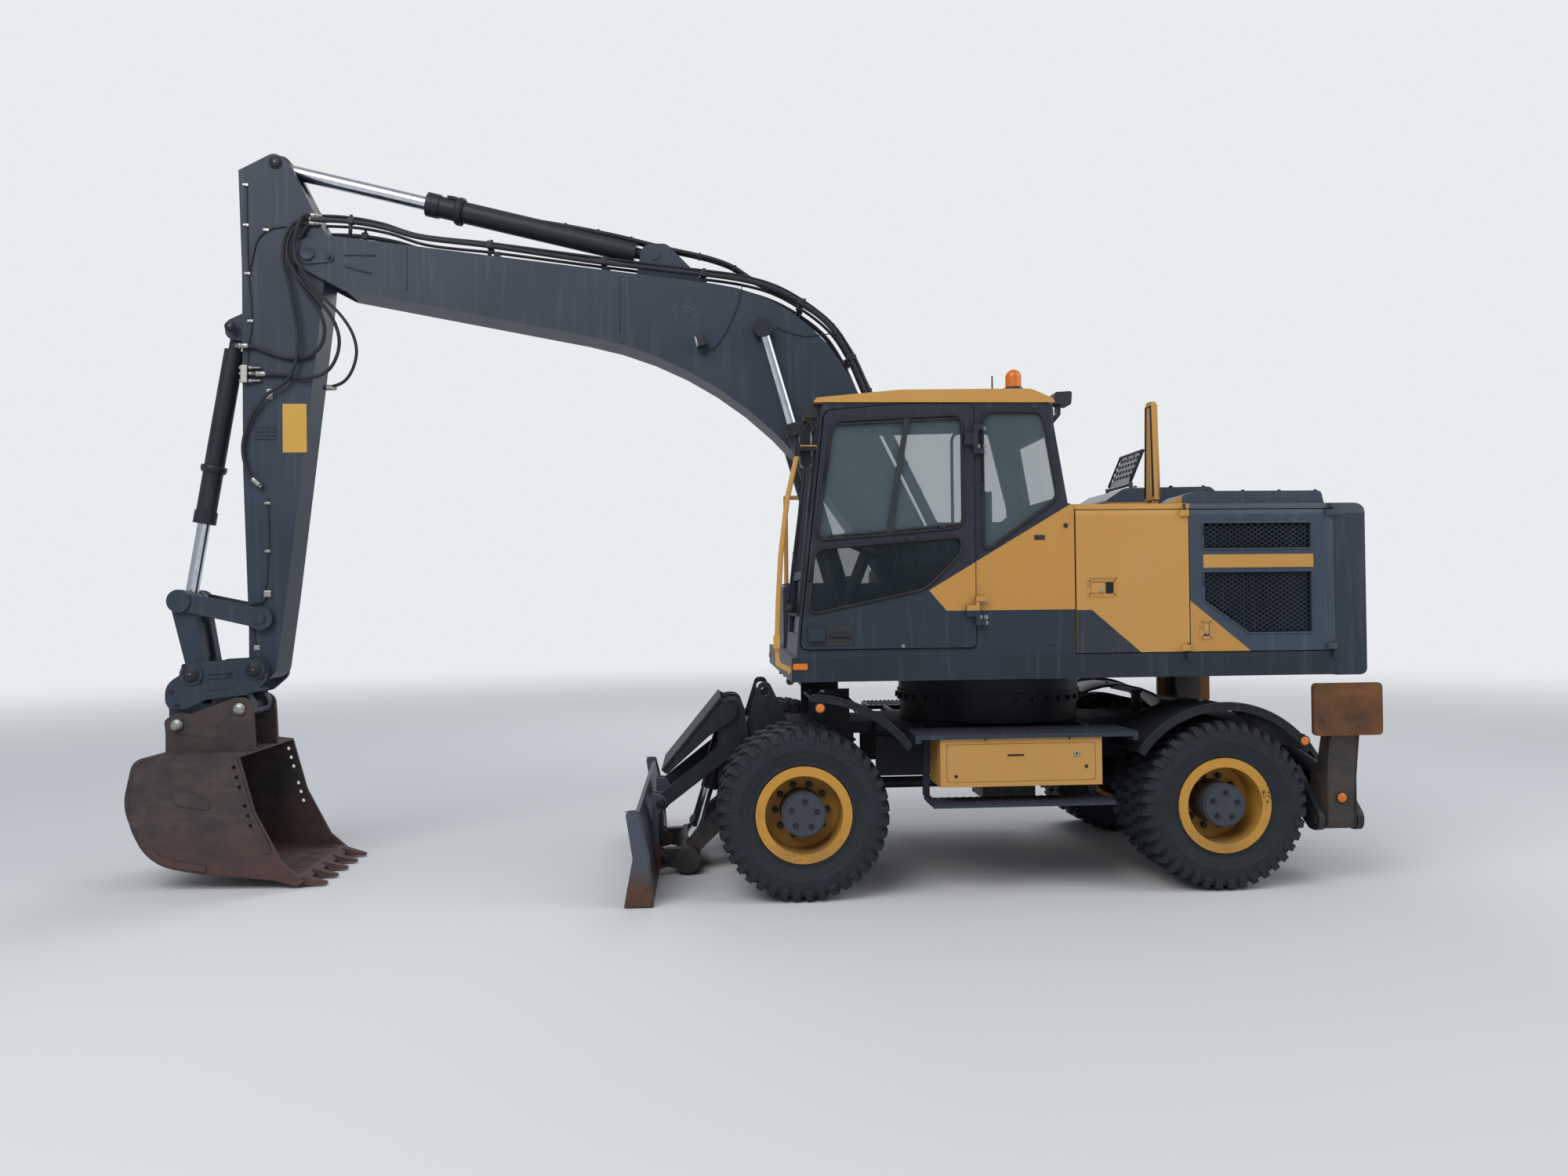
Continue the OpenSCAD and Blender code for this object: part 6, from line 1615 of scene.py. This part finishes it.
# Folded edges along the back of the tapered hatch
for low_y, high_y in ((-924, -892), (-766, -798)):
    put_tube(panel, [M(1058, low_y, foot_z + 14), M(1058, high_y, top_z - 24)], 0.008, 6)
put_tube(panel, [M(1058, -892, top_z - 24), M(1058, -798, top_z - 24)], 0.008, 6)
put_box(panel, M(1056, -870, 2700), M(1068, -820, 2790), 0.004, material=1)
put_turned(panel, M(1066, -845, 2745), (1, 0, 0), [(0, 0.012), (0.006, 0.011), (0.006, 0)], 12, 1)
add_piece("hatch_folds", panel, "hatch", YELLOW_PAINT, BLACK_PLASTIC)
rubber_strip = bmesh.new()
put_tube(rubber_strip, [
    M(1022, -916, foot_z + 20), M(1022, -887, top_z - 30), M(1022, -803, top_z - 30),
    M(1022, -774, foot_z + 20)
], 0.006, 6)
add_piece("hatch_strip", rubber_strip, "hatch", SEAL_RUBBER)

mesh_lid = bmesh.new()
lid_turn = Matrix.Rotation(math.radians(-67), 4, "Y")
lid_foot = M(1010, 0, 2626)


def on_lid(x, y, z):
    return lid_foot + lid_turn @ Vector((x * 0.001, 0, z * 0.001)) + Vector((0, y * 0.001, 0))


put_tube(mesh_lid, [
    on_lid(20, -524, 8), on_lid(256, -524, 8), on_lid(256, -96, 8), on_lid(20, -96, 8)
], 0.007, 8)
for i in range(4):
    put_turned(
        mesh_lid, on_lid(240, -490 + 120 * i, 6), lid_turn @ Vector((0, 0, 1)),
        [(0, 0.010), (0.005, 0.009), (0.005, 0)], 10
    )
add_piece("lid_frame", mesh_lid, "hatch_lid", STEEL_DARK)

# %% [markdown]
# ## Right side of the platform
#
# The steps on the right lead up over the fuel tank. Their treads are pressed with raised rings that
# grip a boot, the same pattern as on the undercarriage, so one tree serves both.

# %% Grip treads
ring = bmesh.new()
put_turned(ring, (0, 0, 0), UP, [(0, 0.0125), (0.004, 0.0105), (0.0045, 0.0085), (0.001, 0.0075)], 8)
GRIP = sample("grip_ring", ring)
# The rings' spacing along a tread and across it, in drawing millimetres
GRIP_PITCH = (46, 40)


def treads(name, body, areas, finish):
    """Grip rings over flat areas given as (x0, x1, y0, y1, z), every second row set off by half."""
    points = []
    for x0, x1, y0, y1, z in areas:
        rows = max(1, int((y1 - y0 - 24) / GRIP_PITCH[1]))
        for r in range(rows + 1):
            y = y0 + 12 + (y1 - y0 - 24) * r / rows
            x = x0 + 24 + (GRIP_PITCH[0] / 2 if r % 2 else 0)
            while x < x1 - 14:
                points.append(M(x, y, z))
                x += GRIP_PITCH[0]
    grow(name, LATTICE, body, wire(name, points), {"Cell": GRIP, "Scale": 1.0, "Finish": finish})


treads("tank_treads", "superstructure", [
    (-1320, -850, 430, 975, 1981), (-540, -230, 430, 1235, 2121)
], STEEL_DARK)
rail_feet = [(M(x, 1190, z), UP) for x, z in ((-1250, 1981), (-300, 2121))]
bolts("rail_feet", "superstructure", rail_feet, 0.05, STEEL_DARK, height=0.008, washer=0.042)
caps = bmesh.new()
put_turned(caps, M(-760, 820, 1980), UP, [
    (-0.001, 0.075), (0.02, 0.075), (0.03, 0.062), (0.046, 0.058), (0.05, 0.04), (0.05, 0)
], 24)
put_box(caps, M(-800, 812, 2028), M(-720, 828, 2044), 0.005)
add_piece("tank_cap", caps, "superstructure", BLACK_PLASTIC)

# %% [markdown]
# ## Undercarriage: treads, tool box and fenders
#
# The steps along the chassis have the same grip rings. A tool box hangs between them; its door has a
# slot to pull it open, a lock and two rubber plugs. The fenders are bent sheet with a
# rolled lip, and each carries a round amber lamp in a rubber ring.

# %% Step treads
treads("step_treads", "undercarriage", [area for s in (-1, 1) for area in (
    (-630, 760, min(s * 905, s * 1264), max(s * 905, s * 1264), 1014),
    (-520, 616, min(s * 1008, s * 1264), max(s * 1008, s * 1264), 583)
)], CHASSIS_PAINT)
edges = bmesh.new()
for s in (-1, 1):
    low, high = sorted((s * 1262, s * 1271))
    # Serrated front edges: a row of teeth cut into a flat bar
    for x0, x1, z in ((-630, 760, 1014), (-520, 616, 583)):
        for i in range(int((x1 - x0) / 34)):
            x = x0 + 8 + 34 * i
            put_slab(edges, drawn(
                (x, z - 2), (x + 6, z + 8), (x + 20, z + 8), (x + 26, z - 2)
            ), low / 1000, high / 1000)
    for x in (-600, -200, 330, 735):
        put_tube(edges, [M(x, s * 1267, 972), M(x, s * 1267, 1000)], 0.006, 6)
add_piece("step_edges", edges, "undercarriage", CHASSIS_PAINT)

# %% Tool box doors
for label, s in SIDES:
    box = bmesh.new()
    low, high = sorted((s * 1243.5, s * 1249))
    corners = [(-437, 718), (-437, 947), (497, 947), (497, 718)]
    put_slab(box, [(p.x, p.z) for p in ring_path(corners, 0, 0.03)[:-1]], low / 1000, high / 1000, 0.002)
    put_box(box, M(-60, low - 0.5, 868), M(50, high + 0.5, 886), 0.004, material=1)
    out = (0, s, 0)
    put_turned(box, M(380, s * 1249, 880), out, [
        (-0.001, 0.020), (0.005, 0.019), (0.006, 0.012), (0.004, 0.010), (0.004, 0)
    ], 20, 2)
    put_box(
        box, M(377, min(s * 1252, s * 1254.5), 872), M(383, max(s * 1252, s * 1254.5), 888), 0.001,
        material=1
    )
    for x in (-380, 440):
        put_turned(box, M(x, s * 1249, 752 if x < 0 else 800), out, [
            (-0.001, 0.011), (0.002, 0.011), (0.002, 0)
        ], 14, 1)
    add_piece(f"tool_box_door_{label}", box, "undercarriage", YELLOW_PAINT, SEAL_RUBBER, ZINC)

# %% Fender lips and lamps
lips = bmesh.new()
lamps = bmesh.new()
for s in (-1, 1):
    for (cx, cz), radius, start, end in (((-1300, 465), 806, 37, 88), ((1325, 500), 679, 35, 145)):
        path = [M(cx + radius * math.cos(math.radians(a)), s * 1266, cz + radius * math.sin(math.radians(a)))
                for a in (start + (end - start) * i / 30 for i in range(31))]
        put_tube(lips, path, 0.008, 8)
    for x, z in ((-1222, 1190), (1834, 934)):
        put_turned(lamps, M(x, s * 1269, z), (0, s, 0), [(-0.001, 0.034), (0.008, 0.034), (0.010, 0.028)], 24)
        put_turned(lamps, M(x, s * 1269, z), (0, s, 0), [
            (0.007, 0.028), (0.013, 0.024), (0.017, 0.014), (0.018, 0)
        ], 24, 1)
add_piece("fender_lips", lips, "undercarriage", BLACK_PAINT)
add_piece("fender_lamps", lamps, "undercarriage", SEAL_RUBBER, AMBER_LENS)
bolts("fender_bolts", "undercarriage", [
    (M(x, s * 900, z), UP) for s in (-1, 1) for x, z in ((-1170, 1262), (1325, 1166))
], 0.024, ZINC, height=0.012)

# %% [markdown]
# ## Chassis: ring bolts, pins and hoses
#
# The swing ring is bolted to the chassis all round, one bolt every 10 degrees. Hoses leave the
# centre joint for the axles and for the cylinders at both ends, and zinc-plated clips hold them along
# the chassis.

# %% Ring bolts and hoses
# The swing's axis, and the radius of the ring's outer face
SWING_X, RING_R = 120, 0.6505
ring = []
for i in range(36):
    a = math.radians(10 * i + 5)
    out = Vector((math.cos(a), math.sin(a), 0))
    ring.append((M(SWING_X, 0, 1165) + out * RING_R, out))
bolts("ring_bolts", "undercarriage", ring, 0.03, STEEL_DARK, height=0.016)
axle_lines = []
for s in (-1, 1):
    axle_lines += [
        route([
            (-900, s * 432, 900), (-1050, s * 440, 860), (-1180, s * 430, 800), (-1260, s * 400, 735),
            (-1300, s * 360, 665)
        ]), route([(950, s * 300, 960), (1100, s * 330, 880), (1220, s * 350, 790), (1300, s * 355, 690)]),
        *(route([
            (-760, s * 434, high), (-300, s * 437, low), (300, s * 437, low), (700, s * 434, high)
        ]) for low, high in ((925, 940), (899, 915)))
    ]
hoses("axle_hoses", "undercarriage", axle_lines, 0.011, HOSE_RUBBER, sides=8)
clip = bmesh.new()
for s in (-1, 1):
    for x in (-560, -180, 180, 560):
        put_box(clip, M(x - 14, min(s * 430, s * 452), 886), M(x + 14, max(s * 430, s * 452), 940), 0.004)
add_piece("hose_clips", clip, "undercarriage", ZINC)

# %% [markdown]
# ## Blade and outriggers
#
# A cutting edge of hard steel is bolted along the blade's foot. The ground scours it bare, and rust
# follows. The pads of the outriggers are plain plates on a pin, and rust to a warm brown. A round
# reflector warns of the leg at night.

# %% Blade edge and pins
edge = bmesh.new()
edge_profile = drawn((-2423, 12), (-2400, 12), (-2390, 118), (-2403, 122))
put_slab(edge, edge_profile, -1.244, 1.244, 0.002)
add_piece("cutting_edge", edge, "blade", EDGE_STEEL)
bolts("edge_bolts", "blade", [
    (M(-2407, -1150 + 230 * i, 88), (-0.99, 0, 0.12)) for i in range(11)
], 0.022, STEEL_DARK, height=0.006)
pins = bmesh.new()
for s in (-1, 1):
    for x, z in ((-2229, 494), (-2201, 118)):
        put_turned(pins, M(x, s * 460, z), (0, s, 0), [
            (-0.001, 0.030), (0.006, 0.030), (0.009, 0.025), (0.009, 0)
        ], 20)
add_piece("blade_pins", pins, "blade", STEEL_DARK)
rim = bmesh.new()
for s in (-1, 1):
    side = [(-2414, 585), (-2335, 585), (-2278, 330), (-2252, 20)]
    put_tube(rim, [M(x, s * 1268, z) for x, z in side], 0.003, 6)
add_piece("blade_side_weld", rim, "blade", CHASSIS_PAINT)

# %% Leg pins and reflectors
LEG_X = 2110
for label, s in SIDES:
    body = f"outrigger_{label}"
    trim = bmesh.new()
    for side in (-1, 1):
        out = (side, 0, 0)
        put_turned(trim, M(LEG_X + side * 98, s * 1130, 412), out, [
            (-0.001, 0.052), (0.008, 0.052), (0.010, 0.046), (0.010, 0.036), (0.018, 0.034), (0.018, 0)
        ], 24)
        put_tube(trim, [
            M(LEG_X + side * 92, s * 1196, 380), M(LEG_X + side * 92, s * 1201, 698),
            M(LEG_X + side * 92, s * 1243, 978)
        ], 0.005, 6)
    put_turned(trim, M(LEG_X, s * 1196, 560), (0, s, 0), [
        (-0.003, 0.038), (0.007, 0.038), (0.009, 0.031)
    ], 24, 1)
    put_turned(trim, M(LEG_X, s * 1196, 560), (0, s, 0), [(0.005, 0.031), (0.010, 0.029), (0.012, 0)], 24, 2)
    add_piece(f"leg_trim_{label}", trim, body, LEG_STEEL, SEAL_RUBBER, AMBER_LENS)
print("undercarriage done")

# %% [markdown]
# ## Lower arm, coupler and bucket
#
# Pins turn in bushed bosses. Each boss has a machined face with a dust ring, a pin head with a
# keeper bolt, and a grease nipple. The heads are turned pieces, made from one short profile.

# %% Pin heads and nipples
def pin_heads(name, body, places, finish, nipple=True):
    """Pin heads at (x, z, y of the face, radius), on both sides of the middle."""
    mesh = bmesh.new()
    for x, z, face, radius in places:
        r = radius * 0.001
        for s in (-1, 1):
            put_turned(mesh, M(x, s * face, z), (0, s, 0), [
                (-0.002, r * 1.12), (0.004, r * 1.12), (0.006, r * 1.02), (0.006, r * 0.96),
                (0.014, r * 0.93), (0.017, r * 0.85), (0.017, 0)
            ], 28)
            if nipple:
                put_turned(mesh, M(x, s * (face + 17), z), (0, s, 0), [
                    (0, 0.008), (0.003, 0.008), (0.004, 0.004), (0.010, 0.0045), (0.012, 0.002), (0.012, 0)
                ], 8, 1)
    add_piece(name, mesh, body, finish, ZINC)


pin_heads("arm_pin_heads", "arm", [
    (-5157, 3780, 140, 34), (-4948, 1770, 147, 42), (-4845, 4915, 147, 38)
], STEEL_DARK)
pin_heads("coupler_pin_heads", "bucket", [(-4972, 1424, 245, 46), (-5385, 1399, 247, 50)], STEEL_DARK)
pin_heads("bucket_pin_heads", "bucket", [(-5071, 1158, 240, 36), (-5482, 1056, 240, 36)], ZINC, False)
keepers = [(M(x, s * 237, z), (0, s, 0)) for s in (-1, 1) for x, z in (
    (-4925, 1372), (-5330, 1350), (-5430, 1450), (-5140, 1395)
)]
bolts("keeper_bolts", "bucket", keepers, 0.024, STEEL_DARK, height=0.012)

# %% Coupler face and lock
face = bmesh.new()
for s in (-1, 1):
    low, high = sorted((s * 234.8, s * 239))
    put_slab(face, drawn(
        (-5290, 1415), (-5085, 1430), (-5075, 1352), (-5130, 1300), (-5270, 1285)
    ), low / 1000, high / 1000, 0.002)
    for i in range(2):
        put_tube(face, [M(-5270, s * 239.5, 1392 - 30 * i), M(-5110, s * 239.5, 1402 - 30 * i)], 0.004, 6, 1)
    for x, z in ((-5520, 1280), (-5480, 1190)):
        put_turned(face, M(x, s * 235, z), (0, s, 0), [
            (-0.001, 0.020), (0.003, 0.020), (0.004, 0.014), (0.004, 0)
        ], 16, 1)
put_box(face, M(-5478, -120, 1096), M(-5380, 120, 1140), 0.008, material=2)
for y in (-60, 60):
    put_tube(face, [M(-5430, y, 1150), M(-5330, y, 1215), M(-5260, y, 1230)], 0.026, 14, 1)
add_piece("coupler_face", face, "bucket", BOOM_PAINT, STEEL_DARK, PAD_RUST)
hoses("coupler_hoses", "bucket", [route([
    (-5180, y, 1250), (-5200, y * 1.1, 1300), (-5170, y * 1.2, 1345), (-5110, y * 1.1, 1330),
    (-5070, y, 1280)
]) for y in (-70, 70)], 0.009, HOSE_RUBBER, sides=8)

# %% Hoses of the lower arm
hoses("arm_lower_hoses", "arm", [
    route([
        (-4915, -149, 1935), (-4945, -160, 1880), (-5010, -165, 1868), (-5040, -156, 1800),
        (-5010, -148, 1700), (-4985, -147, 1560)
    ]),
    route([
        (-4900, 149, 1935), (-4930, 160, 1880), (-4995, 165, 1868), (-5030, 156, 1800), (-5000, 148, 1700),
        (-4975, 147, 1560)
    ])
], 0.007, HOSE_RUBBER, step=0.02, sides=8)
clamp = bmesh.new()
for s in (-1, 1):
    put_box(clamp, M(-4935, min(s * 145, s * 164), 1915), M(-4885, max(s * 145, s * 164), 1960), 0.006)
    put_box(clamp, M(-5005, min(s * 144, s * 154), 1550), M(-4965, max(s * 144, s * 154), 1585), 0.004)
add_piece("arm_hose_clamps", clamp, "arm", ZINC)
glands = (
    ("bucket_barrel", (-5157, 3780), (-5488, 1894), 1075, 0.075),
    ("arm_barrel", (-2249, 4321), (-4845, 4915), 1500, 0.088)
)
for name, (x0, z0), (x1, z1), run, radius in glands:
    mesh = bmesh.new()
    start = M(x0, 0, z0)
    along = (M(x1, 0, z1) - start).normalized()
    put_turned(mesh, start + along * (run / 1000 - 0.11), along, [
        (-0.006, radius), (-0.004, radius + 0.010), (0.030, radius + 0.010), (0.034, radius + 0.004),
        (0.040, radius + 0.004), (0.044, radius)
    ], 36)
    add_piece(f"{name}_ring", mesh, name, STEEL_DARK)

# %% [markdown]
# The bucket is a welded shell. Wear strips double it where it drags, a band runs round its heel, and
# each tooth is held by a pin through its shank. A thicker strip runs along the side's edge, before
# the holes for side cutters, which this bucket does without.

# %% Bucket wear plates
wear = bmesh.new()
for s in (-1, 1):
    low, high = sorted((s * 519.8, s * 529))
    for outline in (
        drawn((-5002, 868), (-4980, 868), (-4884, 505), (-4790, 320), (-4760, 240), (-4800, 235),
              (-4878, 410), (-4903, 505)),
        drawn((-5556, 254), (-5490, 194), (-5360, 147), (-5180, 124), (-5180, 168), (-5350, 195),
              (-5470, 235), (-5525, 300)),
        capsule(flat(-5330, 610), flat(-5180, 560), 0.055, 0.030, 8)
    ):
        put_slab(wear, outline, low / 1000, high / 1000, 0.003)
    # Weld seam along the joint of side and shell
    seam = [
        (-5476, 880), (-5612, 846), (-5664, 690), (-5678, 540), (-5642, 385), (-5560, 250), (-5440, 168),
        (-5200, 118), (-4900, 84)
    ]
    put_tube(wear, bend_path([M(x, s * 519, z) for x, z in seam], 0.1, 6), 0.006, 6)
# The strips follow the shell round its heel, half sunk in it
heel = [(-5670, 468), (-5560, 180), (-5200, 105), (-4960, 80)]
for y in (-330, 0, 330):
    strip = bend_path([M(x, y, z) for x, z in heel], 0.18, 8)
    for a, b in zip(strip, strip[1:]):
        along = b - a
        turn = Matrix.Rotation(math.atan2(-along.z, along.x), 4, "Y")
        middle = (a + b) / 2
        half = Vector((along.length / 2 + 0.004, 0.05, 0.006))
        put_box(wear, middle - half, middle + half, 0.002, turn)
add_piece("bucket_wear_plates", wear, "bucket", BUCKET_STEEL)

TEETH_Y = [-450 + 225 * i for i in range(5)]
tooth_pins = [(M(-4600, y + side * 46, 48), (0, side, 0)) for y in TEETH_Y for side in (-1, 1)]
bolts("tooth_pins", "bucket", tooth_pins, 0.026, EDGE_STEEL, height=0.005, washer=0.018)
shanks = bmesh.new()
for y in TEETH_Y:
    put_box(shanks, M(-4745, y - 52, 62), M(-4640, y + 52, 92), 0.008)
add_piece("tooth_adapters", shanks, "bucket", EDGE_STEEL)
print("bucket done")

# %% [markdown]
# ## Studio
#
# A pale floor and an even, soft light show the paint as it is. One large lamp stands above and in
# front of the machine, a weaker one fills from the other side, and the world adds a flat grey sky.

# %% Floor and light
SKY = "#E9ECEF"


def studio():
    world = bpy.data.worlds.new("studio")
    bpy.context.scene.world = world
    world.use_nodes = True
    tree = world.node_tree
    tree.nodes.clear()
    path = add(tree, "ShaderNodeLightPath")
    seen = add(tree, "ShaderNodeMath", {
        0: path.outputs["Is Camera Ray"], 1: path.outputs["Is Transmission Ray"]
    }, operation="MAXIMUM")
    lit = add(tree, "ShaderNodeBackground", {"Color": "#DCE4EE", "Strength": 0.55})
    shown = add(tree, "ShaderNodeBackground", {"Color": SKY, "Strength": 1.0})
    mixed = add(tree, "ShaderNodeMixShader", {0: seen, 1: lit, 2: shown})
    add(tree, "ShaderNodeOutputWorld", {"Surface": mixed})

    for name, place, size, power in (
        ("key", (-5.0, -9.0, 10.0), 8.0, 900.0), ("fill", (9.0, -4.0, 7.0), 7.0, 320.0),
        ("back", (2.0, 10.0, 9.0), 8.0, 450.0)
    ):
        lamp = bpy.data.lights.new(name, "AREA")
        lamp.energy = power
        lamp.size = size
        holder = bpy.data.objects.new(name, lamp)
        holder.location = place
        holder.rotation_mode = "QUATERNION"
        holder.rotation_quaternion = (Vector((0, 0, 1.5)) - Vector(place)).to_track_quat("-Z", "Y")
        bpy.context.scene.collection.objects.link(holder)

    mesh = bpy.data.meshes.new("floor")
    # Far larger than the machine, so that its edge is never seen
    half = 90.0
    mesh.from_pydata([
        (-half, -half, 0), (half, -half, 0), (half, half, 0), (-half, half, 0)
    ], [], [(0, 1, 2, 3)])
    floor = bpy.data.objects.new("floor", mesh)
    bpy.context.scene.collection.objects.link(floor)
    material, tree, shader, place = new_material("pale_floor")
    feed(tree, shader, {"Base Color": "#D9DADB", "Roughness": 0.9})
    # The far floor fades into the backdrop's own shade, so no horizon shows behind the machine
    reach = add(tree, "ShaderNodeVectorMath", {0: place}, operation="LENGTH").outputs["Value"]
    far = add(tree, "ShaderNodeMapRange", {
        "Value": reach, "From Min": 5.0, "From Max": 28.0
    }, interpolation_type="SMOOTHSTEP")
    backdrop = add(tree, "ShaderNodeEmission", {"Color": SKY, "Strength": 1.0})
    mixed = add(tree, "ShaderNodeMixShader", {0: far, 1: shader, 2: backdrop})
    out = next(node for node in tree.nodes if node.type == "OUTPUT_MATERIAL")
    tree.links.new(mixed.outputs[0], out.inputs["Surface"])
    mesh.materials.append(material)


studio()
view = bpy.context.scene.view_settings
view.view_transform = "Standard"
